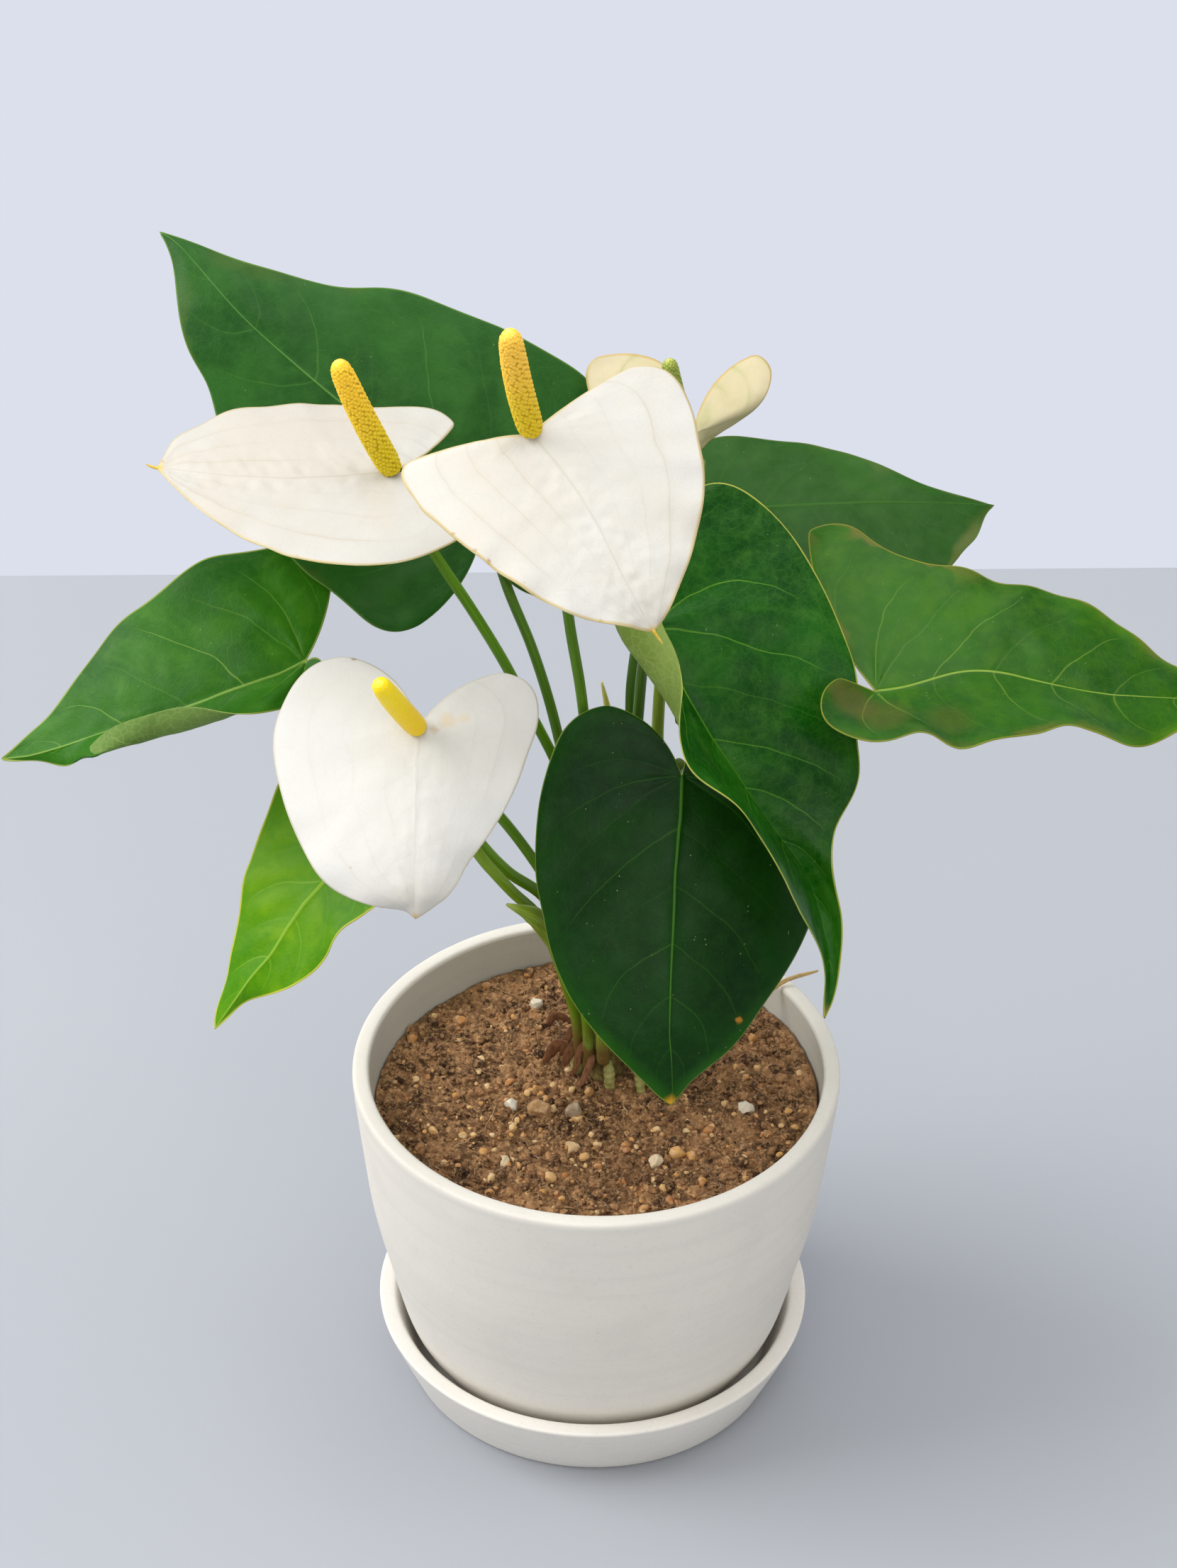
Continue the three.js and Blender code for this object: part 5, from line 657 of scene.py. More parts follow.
            ((-80.04,12,423.01),(-61.19,6.33,422.98),(-46.11,-13.62,421.78)),
            ((-80.04,12,423.01),(-61.96,0.51,422.46),(-47.34,-23.69,421.01)),
            ((-80.04,12,423.01),(-64.71,-4.48,422.01),(-51.94,-30.19,420.56)),
            ((-80.04,12,423.01),(-67.89,-9.02,421.6),(-57.22,-35.14,420.25)),
            ((-80.04,12,423.01),(-71.02,-13.07,421.22),(-62.54,-39.79,419.92)),
            ((-80.04,12,423.01),(-74,-15.71,420.97),(-68.08,-43.6,419.63)),
            ((-80.04,12,423.01),(-76.99,-16.82,420.86),(-73.96,-45.78,419.44)),
            ((-80.04,12,423.01),(-80.03,-17.56,420.77),(-79.94,-47.21,419.25)),
            ((-80.04,12,423.01),(-83.13,-17.79,420.71),(-86.03,-47.67,419.14)),
            ((-80.04,12,423.01),(-86.26,-17.64,420.69),(-92.18,-47.36,419.1)),
            ((-80.04,12,423.01),(-89.4,-17.32,420.69),(-98.35,-46.72,419.07)),
            ((-80.04,12,423.01),(-92.54,-16.77,420.7),(-104.53,-45.62,419.07)),
            ((-80.04,12,423.01),(-95.67,-15.77,420.75),(-110.72,-43.66,419.15)),
            ((-83.62,11.22,423.02),(-98.71,-15.64,420.81),(-113.26,-42.6,419.2)),
            ((-87.19,10.47,423.01),(-101.75,-15.49,420.85),(-115.8,-41.54,419.25)),
            ((-90.77,9.74,423),(-104.78,-15.16,420.9),(-118.32,-40.14,419.34)),
            ((-94.34,9.02,422.97),(-107.81,-14.8,420.95),(-120.83,-38.71,419.42)),
            ((-97.92,8.33,422.93),(-110.83,-14.42,420.99),(-123.35,-37.27,419.51)),
            ((-101.51,7.87,422.9),(-113.84,-13.71,421.05),(-125.8,-35.4,419.63)),
            ((-105.12,7.48,422.87),(-116.86,-12.96,421.12),(-128.26,-33.53,419.76)),
            ((-108.72,7.11,422.83),(-119.87,-12.18,421.18),(-130.72,-31.61,419.89)),
            ((-112.33,6.75,422.79),(-122.89,-11.38,421.23),(-133.18,-29.65,420)),
            ((-115.93,6.4,422.74),(-125.92,-10.55,421.26),(-135.65,-27.63,420.08)),
            ((-119.54,6.05,422.69),(-128.94,-9.66,421.29),(-138.13,-25.49,420.14)),
            ((-123.19,6.24,422.68),(-131.99,-8.48,421.33),(-140.61,-23.28,420.18)),
            ((-126.84,6.44,422.68),(-135,-7.13,421.38),(-143,-20.71,420.22)),
            ((-130.49,6.64,422.67),(-137.93,-5.5,421.44),(-145.25,-17.6,420.3)),
            ((-134.15,6.87,422.65),(-140.87,-3.84,421.49),(-147.51,-14.44,420.35)),
            ((-137.83,7.22,422.56),(-143.87,-2.2,421.48),(-149.86,-11.46,420.37)),
            ((-141.52,7.77,422.41),(-146.91,-0.49,421.41),(-152.27,-8.55,420.36)),
            ((-145.26,8.74,422.23),(-149.98,1.46,421.32),(-154.69,-5.61,420.33)),
            ((-149,9.8,422),(-152.99,3.68,421.21),(-156.96,-2.26,420.34)),
            ((-152.77,10.93,421.73),(-155.99,6,421.08),(-159.21,1.23,420.35)),
            ((-156.55,12.11,421.42),(-159,8.36,420.92),(-161.46,4.74,420.36)),
            ((-160.34,13.39,421.1),(-161.98,10.9,420.77),(-163.62,8.48,420.38)),
            ((-164.14,14.71,420.77),(-164.96,13.46,420.6),(-165.78,12.25,420.41)),
            ((-167.95,16.04,420.44),(-167.95,16.04,420.44),(-167.95,16.04,420.44)),
        ],
    },
    "spathe_right": {
        "normal": (0.05,-0.56,0.83),
        "left": [
            ((-26.72,-36,468.5),(-48.86,-38.98,465.34),(-70.51,-43.48,459.54)),
            ((-26.72,-36,468.5),(-50,-40.4,464.78),(-72.79,-46.18,458.73)),
            ((-26.72,-36,468.5),(-49.61,-42.32,463.79),(-72.11,-49.48,457.32)),
            ((-26.72,-36,468.5),(-48.81,-44.25,462.75),(-70.64,-52.65,455.92)),
            ((-26.72,-36,468.5),(-47.77,-45.95,461.84),(-68.68,-55.5,454.65)),
            ((-26.72,-36,468.5),(-46.57,-47.26,461.16),(-66.31,-57.95,453.58)),
            ((-26.72,-36,468.5),(-45.96,-48.77,460.36),(-65.05,-61.07,452.06)),
            ((-26.72,-36,468.5),(-44.9,-49.96,459.75),(-62.92,-63.55,450.94)),
            ((-26.72,-36,468.5),(-43.57,-50.92,459.28),(-60.26,-65.6,450.1)),
            ((-26.72,-36,468.5),(-42.25,-51.89,458.82),(-57.61,-67.65,449.27)),
            ((-26.72,-36,468.5),(-41.09,-53.04,458.23),(-55.27,-70.06,448.2)),
            ((-26.72,-36,468.5),(-39.86,-54.11,457.69),(-52.81,-72.3,447.21)),
            ((-26.72,-36,468.5),(-38.53,-55.04,457.23),(-50.16,-74.26,446.37)),
            ((-24.36,-38.63,467.04),(-36.07,-57.43,455.98),(-47.6,-76.43,445.35)),
            ((-22.01,-41.21,465.55),(-33.61,-59.74,454.72),(-45.02,-78.49,444.33)),
            ((-19.67,-43.74,464.04),(-31.07,-61.88,453.49),(-42.3,-80.29,443.4)),
            ((-17.42,-46.29,462.46),(-28.6,-64.02,452.21),(-39.6,-82.04,442.4)),
            ((-15.21,-48.82,460.84),(-26.23,-66.22,450.81),(-37.08,-83.91,441.22)),
            ((-13,-51.32,459.21),(-23.8,-68.27,449.43),(-34.43,-85.51,440.08)),
            ((-10.79,-53.77,457.56),(-21.35,-70.23,448.04),(-31.76,-86.96,438.93)),
            ((-8.82,-56.36,455.81),(-19.02,-72.23,446.59),(-29.07,-88.34,437.74)),
            ((-6.98,-59.01,453.99),(-16.74,-74.23,445.09),(-26.39,-89.66,436.53)),
            ((-5.13,-61.63,452.16),(-14.42,-76.09,443.64),(-23.59,-90.72,435.42)),
            ((-3.29,-64.23,450.33),(-12.05,-77.85,442.23),(-20.71,-91.6,434.37)),
            ((-1.48,-66.83,448.48),(-9.72,-79.64,440.77),(-17.88,-92.53,433.24)),
            ((0.12,-69.5,446.55),(-7.55,-81.53,439.19),(-15.15,-93.6,431.98)),
            ((1.72,-72.08,444.57),(-5.34,-83.27,437.64),(-12.34,-94.46,430.82)),
            ((3.31,-74.59,442.55),(-3.03,-84.76,436.18),(-9.33,-94.91,429.89)),
            ((4.91,-77.03,440.5),(-0.69,-86.06,434.8),(-6.24,-95.05,429.15)),
            ((6.5,-79.42,438.41),(1.67,-87.27,433.42),(-3.13,-95.07,428.45)),
            ((8.16,-81.72,436.33),(4.06,-88.42,431.99),(-0.03,-95.04,427.64)),
            ((9.83,-83.97,434.22),(6.45,-89.48,430.5),(3.08,-94.86,426.73)),
            ((11.5,-86.08,432.02),(8.86,-90.27,429.02),(6.22,-94.29,425.91)),
            ((13.17,-87.85,429.62),(11.28,-90.74,427.43),(9.39,-93.45,425.13)),
            ((14.93,-89.3,427.09),(13.7,-91.27,425.55),(12.46,-93.1,423.92)),
            ((16.85,-90.49,424.49),(16.22,-91.5,423.69),(15.59,-92.44,422.84)),
            ((18.77,-91.59,421.85),(18.77,-91.59,421.85),(18.77,-91.59,421.85)),
        ],
        "right": [
            ((-26.72,-36,468.5),(-10.22,-22.55,475.86),(7.94,-10.15,481.7)),
            ((-26.72,-36,468.5),(-8.5,-22.1,475.89),(11.25,-8.92,481.82)),
            ((-26.72,-36,468.5),(-6.64,-22.08,475.64),(14.62,-8.3,481.58)),
            ((-26.72,-36,468.5),(-4.76,-22.33,475.23),(17.96,-8.16,481.06)),
            ((-26.72,-36,468.5),(-2.99,-22.9,474.63),(21.16,-8.79,480.12)),
            ((-26.72,-36,468.5),(-1.61,-23.86,473.82),(23.76,-10.48,478.59)),
            ((-26.72,-36,468.5),(-0.51,-24.92,473),(25.95,-12.58,476.89)),
            ((-26.72,-36,468.5),(0.31,-26.24,472.05),(27.58,-15.23,474.98)),
            ((-26.72,-36,468.5),(1.06,-27.63,471.1),(29.06,-18.04,473.09)),
            ((-26.72,-36,468.5),(1.73,-29.07,470.15),(30.37,-21,471.2)),
            ((-26.72,-36,468.5),(2.27,-30.58,469.19),(31.43,-24.11,469.3)),
            ((-26.72,-36,468.5),(2.67,-32.15,468.21),(32.21,-27.34,467.37)),
            ((-26.72,-36,468.5),(2.98,-33.75,467.22),(32.8,-30.62,465.44)),
            ((-24.36,-38.63,467.04),(4.4,-36.58,465.63),(33.27,-33.61,463.69)),
            ((-22.01,-41.21,465.55),(5.94,-39.33,464.03),(33.99,-36.5,461.96)),
            ((-19.67,-43.74,464.04),(7.48,-42.03,462.41),(34.73,-39.36,460.22)),
            ((-17.42,-46.29,462.46),(8.81,-44.76,460.73),(35.13,-42.23,458.42)),
            ((-15.21,-48.82,460.84),(10.07,-47.46,459.02),(35.43,-45.06,456.58)),
            ((-13,-51.32,459.21),(11.15,-50.12,457.28),(35.38,-47.85,454.72)),
            ((-10.79,-53.77,457.56),(12.15,-52.76,455.54),(35.17,-50.63,452.86)),
            ((-8.82,-56.36,455.81),(12.93,-55.45,453.75),(34.76,-53.4,451.02)),
            ((-6.98,-59.01,453.99),(13.63,-58.16,451.93),(34.31,-56.17,449.19)),
            ((-5.13,-61.63,452.16),(14.33,-60.86,450.11),(33.85,-58.92,447.36)),
            ((-3.29,-64.23,450.33),(14.93,-63.52,448.3),(33.21,-61.65,445.56)),
            ((-1.48,-66.83,448.48),(15.49,-66.18,446.48),(32.53,-64.37,443.77)),
            ((0.12,-69.5,446.55),(15.95,-68.86,444.62),(31.83,-67.08,441.99)),
            ((1.72,-72.08,444.57),(16.33,-71.47,442.74),(30.99,-69.76,440.24)),
            ((3.31,-74.59,442.55),(16.71,-74.03,440.84),(30.15,-72.43,438.49)),
            ((4.91,-77.03,440.5),(17.04,-76.53,438.93),(29.21,-75.07,436.77)),
            ((6.5,-79.42,438.41),(17.3,-78.96,437.01),(28.12,-77.65,435.07)),
            ((8.16,-81.72,436.33),(17.59,-81.29,435.05),(27.03,-80.07,433.28)),
            ((9.83,-83.97,434.22),(17.85,-83.53,433.07),(25.88,-82.31,431.42)),
            ((11.5,-86.08,432.02),(18.1,-85.63,430.99),(24.72,-84.43,429.49)),
            ((13.17,-87.85,429.62),(18.34,-87.46,428.77),(23.52,-86.43,427.51)),
            ((14.93,-89.3,427.09),(18.54,-89.03,426.46),(22.15,-88.29,425.54)),
            ((16.85,-90.49,424.49),(18.78,-90.41,424.12),(20.72,-90.09,423.58)),
            ((18.77,-91.59,421.85),(18.77,-91.59,421.85),(18.77,-91.59,421.85)),
        ],
    },
    "spathe_lower": {
        "normal": (-0.04,-0.59,0.81),
        "left": [
            ((-65.73,-62,360.04),(-76.48,-46.11,369.69),(-94.63,-36.23,372.67)),
            ((-65.73,-62,360.04),(-79.66,-46.54,369.1),(-100.29,-36.18,372.01)),
            ((-65.73,-62,360.04),(-83.18,-48.16,367.65),(-105.59,-37.46,370.49)),
            ((-65.73,-62,360.04),(-86.44,-50.6,365.65),(-110.02,-40.05,368.15)),
            ((-65.73,-62,360.04),(-89,-53.34,363.49),(-113.39,-43.67,365.22)),
            ((-65.73,-62,360.04),(-90.59,-55.84,361.59),(-115.82,-47.9,361.98)),
            ((-65.73,-62,360.04),(-91.61,-58.07,359.96),(-117.83,-52.43,358.73)),
            ((-65.73,-62,360.04),(-92.44,-60.39,358.33),(-119.45,-57.17,355.52)),
            ((-65.73,-62,360.04),(-92.64,-62.87,356.64),(-119.8,-62.28,352.22)),
            ((-65.73,-62,360.04),(-92.38,-65.4,354.96),(-119.2,-67.46,348.95)),
            ((-65.73,-62,360.04),(-91.69,-67.87,353.32),(-117.76,-72.54,345.78)),
            ((-65.73,-62,360.04),(-90.97,-70.32,351.68),(-116.27,-77.52,342.58)),
            ((-65.73,-62,360.04),(-90.1,-72.69,350.05),(-114.5,-82.3,339.37)),
            ((-65.76,-65.14,358.63),(-89.54,-75.58,348.61),(-113.38,-84.68,337.7)),
            ((-65.8,-68.19,357.18),(-88.99,-78.4,347.14),(-112.27,-87.04,336.03)),
            ((-65.84,-71.17,355.68),(-88.38,-81.14,345.64),(-111.04,-89.35,334.38)),
            ((-65.89,-74.07,354.14),(-87.76,-83.82,344.12),(-109.79,-91.64,332.74)),
            ((-65.93,-76.9,352.56),(-87.15,-86.46,342.56),(-108.54,-93.92,331.1)),
            ((-65.88,-79.67,350.94),(-86.39,-89,341.01),(-107.1,-96.11,329.51)),
            ((-65.82,-82.39,349.29),(-85.61,-91.5,339.45),(-105.62,-98.27,327.94)),
            ((-65.78,-85.05,347.61),(-84.81,-93.93,337.87),(-104.08,-100.4,326.39)),
            ((-65.73,-87.66,345.89),(-83.96,-96.31,336.29),(-102.42,-102.45,324.88)),
            ((-65.69,-90.23,344.16),(-83.11,-98.64,334.69),(-100.77,-104.5,323.37)),
            ((-65.62,-92.76,342.4),(-82.08,-100.84,333.17),(-98.8,-106.32,322.03)),
            ((-65.53,-95.25,340.62),(-80.96,-102.95,331.68),(-96.64,-108.01,320.79)),
            ((-65.45,-97.66,338.79),(-79.78,-104.92,330.21),(-94.36,-109.53,319.67)),
            ((-65.38,-99.96,336.88),(-78.43,-106.59,328.85),(-91.72,-110.61,318.89)),
            ((-65.32,-102.16,334.9),(-77.08,-108.18,327.45),(-89.09,-111.67,318.1)),
            ((-65.27,-104.27,332.86),(-75.67,-109.52,326.12),(-86.31,-112.33,317.56)),
            ((-65.22,-106.3,330.77),(-74.25,-110.74,324.79),(-83.49,-112.84,317.06)),
            ((-65.19,-108.28,328.64),(-72.83,-111.89,323.43),(-80.67,-113.29,316.55)),
            ((-65.15,-110.2,326.47),(-71.4,-112.96,322.06),(-77.83,-113.63,316.08)),
            ((-65.12,-111.95,324.17),(-69.98,-113.9,320.6),(-75,-113.94,315.58)),
            ((-64.95,-113.31,321.59),(-68.48,-114.47,318.99),(-72.14,-114.06,315.2)),
            ((-64.8,-114.36,318.78),(-66.99,-114.8,317.24),(-69.27,-114.11,314.84)),
            ((-64.66,-115.21,315.82),(-65.54,-115.12,315.25),(-66.47,-114.45,314.25)),
            ((-64.53,-115.95,312.76),(-64.53,-115.95,312.76),(-64.53,-115.95,312.76)),
        ],
        "right": [
            ((-65.73,-62,360.04),(-53.2,-50.51,368.34),(-36.01,-43.79,372.44)),
            ((-65.73,-62,360.04),(-50.99,-51.22,367.85),(-32.08,-44.55,371.8)),
            ((-65.73,-62,360.04),(-48.55,-52.5,366.97),(-28.34,-45.65,370.9)),
            ((-65.73,-62,360.04),(-46.26,-54.38,365.65),(-25.12,-47.72,369.31)),
            ((-65.73,-62,360.04),(-44.78,-56.61,364.05),(-23.34,-50.75,367.01)),
            ((-65.73,-62,360.04),(-44.11,-58.55,362.64),(-22.49,-54.05,364.54)),
            ((-65.73,-62,360.04),(-44.01,-60.28,361.39),(-22.32,-57.49,362.03)),
            ((-65.73,-62,360.04),(-44.24,-61.98,360.14),(-22.8,-60.9,359.53)),
            ((-65.73,-62,360.04),(-44.75,-63.61,358.94),(-23.84,-64.15,357.12)),
            ((-65.73,-62,360.04),(-45.55,-65.15,357.78),(-25.45,-67.23,354.8)),
            ((-65.73,-62,360.04),(-46.11,-66.77,356.58),(-26.59,-70.47,352.4)),
            ((-65.73,-62,360.04),(-46.57,-68.42,355.36),(-27.54,-73.76,349.96)),
            ((-65.73,-62,360.04),(-47.2,-70.02,354.17),(-28.8,-76.94,347.59)),
            ((-65.76,-65.14,358.63),(-47.72,-72.75,352.78),(-29.81,-79.01,346.03)),
            ((-65.8,-68.19,357.18),(-48.24,-75.43,351.36),(-30.81,-81.08,344.48)),
            ((-65.84,-71.17,355.68),(-48.8,-78.03,349.92),(-31.9,-83.12,342.95)),
            ((-65.89,-74.07,354.14),(-49.37,-80.57,348.45),(-33,-85.13,341.42)),
            ((-65.93,-76.9,352.56),(-49.95,-83.05,346.95),(-34.11,-87.13,339.89)),
            ((-65.88,-79.67,350.94),(-50.6,-85.44,345.45),(-35.46,-89,338.42)),
            ((-65.82,-82.39,349.29),(-51.25,-87.77,343.93),(-36.81,-90.85,336.95)),
            ((-65.78,-85.05,347.61),(-51.91,-90.06,342.39),(-38.18,-92.68,335.47)),
            ((-65.73,-87.66,345.89),(-52.63,-92.28,340.85),(-39.68,-94.43,334.04)),
            ((-65.69,-90.23,344.16),(-53.36,-94.46,339.29),(-41.17,-96.17,332.6)),
            ((-65.62,-92.76,342.4),(-54.06,-96.61,337.71),(-42.66,-97.89,331.16)),
            ((-65.53,-95.25,340.62),(-54.76,-98.73,336.11),(-44.14,-99.61,329.71)),
            ((-65.45,-97.66,338.79),(-55.46,-100.8,334.48),(-45.62,-101.33,328.26)),
            ((-65.38,-99.96,336.88),(-56.11,-102.82,332.77),(-46.98,-103.1,326.76)),
            ((-65.32,-102.16,334.9),(-56.67,-104.81,330.97),(-48.17,-104.95,325.2)),
            ((-65.27,-104.27,332.86),(-57.24,-106.73,329.14),(-49.35,-106.8,323.63)),
            ((-65.22,-106.3,330.77),(-57.93,-108.53,327.29),(-50.77,-108.48,322.11)),
            ((-65.19,-108.28,328.64),(-58.62,-110.27,325.4),(-52.19,-110.1,320.55)),
            ((-65.15,-110.2,326.47),(-59.49,-111.83,323.55),(-53.95,-111.43,319.11)),
            ((-65.12,-111.95,324.17),(-60.41,-113.23,321.63),(-55.82,-112.65,317.69)),
            ((-64.95,-113.31,321.59),(-61.31,-114.3,319.53),(-57.77,-113.76,316.3)),
            ((-64.8,-114.36,318.78),(-62.34,-115.03,317.34),(-59.95,-114.6,315.06)),
            ((-64.66,-115.21,315.82),(-63.38,-115.6,315.03),(-62.14,-115.43,313.81)),
            ((-64.53,-115.95,312.76),(-64.53,-115.95,312.76),(-64.53,-115.95,312.76)),
        ],
    },
    "spathe_rear": {
        "normal": (0,-0.53,0.85),
        "left": [
            ((32.15,58,416.48),(21.29,84.78,430.87),(-6.22,91.04,430.97)),
            ((32.15,58,416.48),(19.1,83.14,429.31),(-8.91,90.36,429.11)),
            ((32.15,58,416.48),(16.44,79.38,426.43),(-10.16,88.55,426.59)),
            ((32.15,58,416.48),(14.13,75,423.21),(-9.94,86.52,424.05)),
            ((32.15,58,416.48),(12.46,71.07,420.35),(-9.22,84.26,421.59)),
            ((32.15,58,416.48),(12.02,68.63,418.54),(-8.37,81.78,419.3)),
            ((32.15,58,416.48),(12.79,67.32,417.6),(-6.82,79.21,417.36)),
            ((32.15,58,416.48),(13.55,65.91,416.71),(-5.27,76.38,415.56)),
            ((32.15,58,416.48),(14.31,64.5,415.83),(-3.72,73.54,413.78)),
            ((32.15,58,416.48),(15.19,63.16,414.99),(-1.94,70.85,412.08)),
            ((32.15,58,416.48),(16.1,61.83,414.16),(-0.09,68.19,410.4)),
            ((32.15,58,416.48),(17.01,60.51,413.33),(1.76,65.54,408.74)),
            ((32.15,58,416.48),(17.92,59.19,412.5),(3.6,62.9,407.07)),
            ((31.87,57.05,415.86),(18.11,58.24,411.9),(4.26,61.95,406.47)),
            ((31.59,56.13,415.24),(18.37,57.36,411.31),(5.06,61.09,405.93)),
            ((31.31,55.24,414.59),(18.63,56.51,410.72),(5.87,60.25,405.4)),
            ((31.03,54.38,413.93),(18.89,55.67,410.12),(6.68,59.41,404.87)),
            ((30.76,53.54,413.26),(19.16,54.84,409.51),(7.49,58.57,404.35)),
            ((30.48,52.73,412.57),(19.42,54.03,408.89),(8.3,57.73,403.82)),
            ((30.21,51.93,411.88),(19.69,53.24,408.27),(9.11,56.89,403.29)),
            ((29.94,51.15,411.17),(19.96,52.45,407.64),(9.92,56.06,402.76)),
            ((29.67,50.39,410.45),(20.23,51.68,407),(10.73,55.22,402.23)),
            ((29.41,49.64,409.73),(20.49,50.91,406.36),(11.54,54.38,401.71)),
            ((29.14,48.91,409),(20.76,50.15,405.72),(12.34,53.54,401.18)),
            ((28.87,48.18,408.26),(21.03,49.4,405.07),(13.15,52.71,400.65)),
            ((28.56,47.53,407.49),(21.28,48.69,404.4),(13.96,51.87,400.13)),
            ((28.26,46.98,406.67),(21.61,48.14,403.76),(14.93,51.23,399.72)),
            ((27.95,46.52,405.79),(21.96,47.69,403.1),(15.96,50.65,399.36)),
            ((27.65,46.16,404.85),(22.32,47.29,402.41),(16.98,50.08,399)),
            ((27.35,45.87,403.87),(22.68,46.94,401.69),(18,49.5,398.63)),
            ((27.05,45.66,402.85),(23.04,46.63,400.95),(19.03,48.92,398.27)),
            ((26.74,45.51,401.79),(23.4,46.36,400.18),(20.05,48.34,397.9)),
            ((26.42,45.42,400.7),(23.75,46.13,399.39),(21.08,47.77,397.54)),
            ((26.11,45.38,399.58),(24.1,45.93,398.59),(22.1,47.19,397.18)),
            ((25.79,45.38,398.43),(24.46,45.76,397.77),(23.12,46.61,396.82)),
            ((25.48,45.41,397.27),(24.81,45.6,396.93),(24.14,46.04,396.45)),
            ((25.16,45.46,396.09),(25.16,45.46,396.09),(25.16,45.46,396.09)),
        ],
        "right": [
            ((32.15,58,416.48),(39.68,77.65,427.59),(55.96,90.84,433.93)),
            ((32.15,58,416.48),(42.06,76.33,426.97),(59.83,88.83,433.22)),
            ((32.15,58,416.48),(44.24,73.67,425.42),(62.05,85.22,431.26)),
            ((32.15,58,416.48),(45.61,70.55,423.52),(62.22,81.06,428.8)),
            ((32.15,58,416.48),(46.14,67.69,421.75),(61.13,77.1,426.35)),
            ((32.15,58,416.48),(45.78,65.6,420.3),(59.49,73.74,423.88)),
            ((32.15,58,416.48),(44.52,64.61,418.97),(56.98,72.14,420.98)),
            ((32.15,58,416.48),(42.89,64.2,417.71),(53.75,71.84,418.16)),
            ((32.15,58,416.48),(41.22,63.77,416.54),(50.39,71.45,415.56)),
            ((32.15,58,416.48),(39.45,63.04,415.67),(46.85,70.22,413.68)),
            ((32.15,58,416.48),(37.84,61.89,414.79),(43.62,67.99,411.86)),
            ((32.15,58,416.48),(35.99,61.1,414.15),(39.89,66.48,410.53)),
            ((32.15,58,416.48),(34.5,59.84,413.24),(36.91,64.03,408.66)),
            ((31.87,57.05,415.86),(34.05,59.03,412.69),(36.28,63.36,408.16)),
            ((31.59,56.13,415.24),(33.6,58.23,412.13),(35.66,62.68,407.67)),
            ((31.31,55.24,414.59),(33.31,57.36,411.51),(35.35,61.83,407.07)),
            ((31.03,54.38,413.93),(33.01,56.51,410.88),(35.04,60.99,406.48)),
            ((30.76,53.54,413.26),(32.72,55.68,410.24),(34.74,60.14,405.88)),
            ((30.48,52.73,412.57),(32.43,54.86,409.6),(34.43,59.29,405.29)),
            ((30.21,51.93,411.88),(32.15,54.05,408.95),(34.12,58.43,404.7)),
            ((29.94,51.15,411.17),(31.86,53.25,408.29),(33.82,57.58,404.11)),
            ((29.67,50.39,410.45),(31.55,52.47,407.63),(33.46,56.74,403.54)),
            ((29.41,49.64,409.73),(31.18,51.72,406.98),(33,55.94,402.99)),
            ((29.14,48.91,409),(30.82,50.98,406.33),(32.53,55.15,402.45)),
            ((28.87,48.18,408.26),(30.45,50.24,405.68),(32.07,54.35,401.91)),
            ((28.56,47.53,407.49),(30.06,49.55,405.01),(31.6,53.55,401.37)),
            ((28.26,46.98,406.67),(29.68,48.91,404.3),(31.14,52.74,400.83)),
            ((27.95,46.52,405.79),(29.3,48.34,403.56),(30.67,51.94,400.3)),
            ((27.65,46.16,404.85),(28.92,47.82,402.79),(30.21,51.13,399.76)),
            ((27.35,45.87,403.87),(28.5,47.38,402),(29.67,50.37,399.26)),
            ((27.05,45.66,402.85),(28.03,47.01,401.21),(29.02,49.68,398.8)),
            ((26.74,45.51,401.79),(27.55,46.68,400.4),(28.38,48.98,398.34)),
            ((26.42,45.42,400.7),(27.08,46.39,399.56),(27.74,48.28,397.89)),
            ((26.11,45.38,399.58),(26.6,46.13,398.71),(27.09,47.58,397.44)),
            ((25.79,45.38,398.43),(26.12,45.89,397.85),(26.45,46.88,396.99)),
            ((25.48,45.41,397.27),(25.64,45.67,396.97),(25.81,46.17,396.54)),
            ((25.16,45.46,396.09),(25.16,45.46,396.09),(25.16,45.46,396.09)),
        ],
    },
}

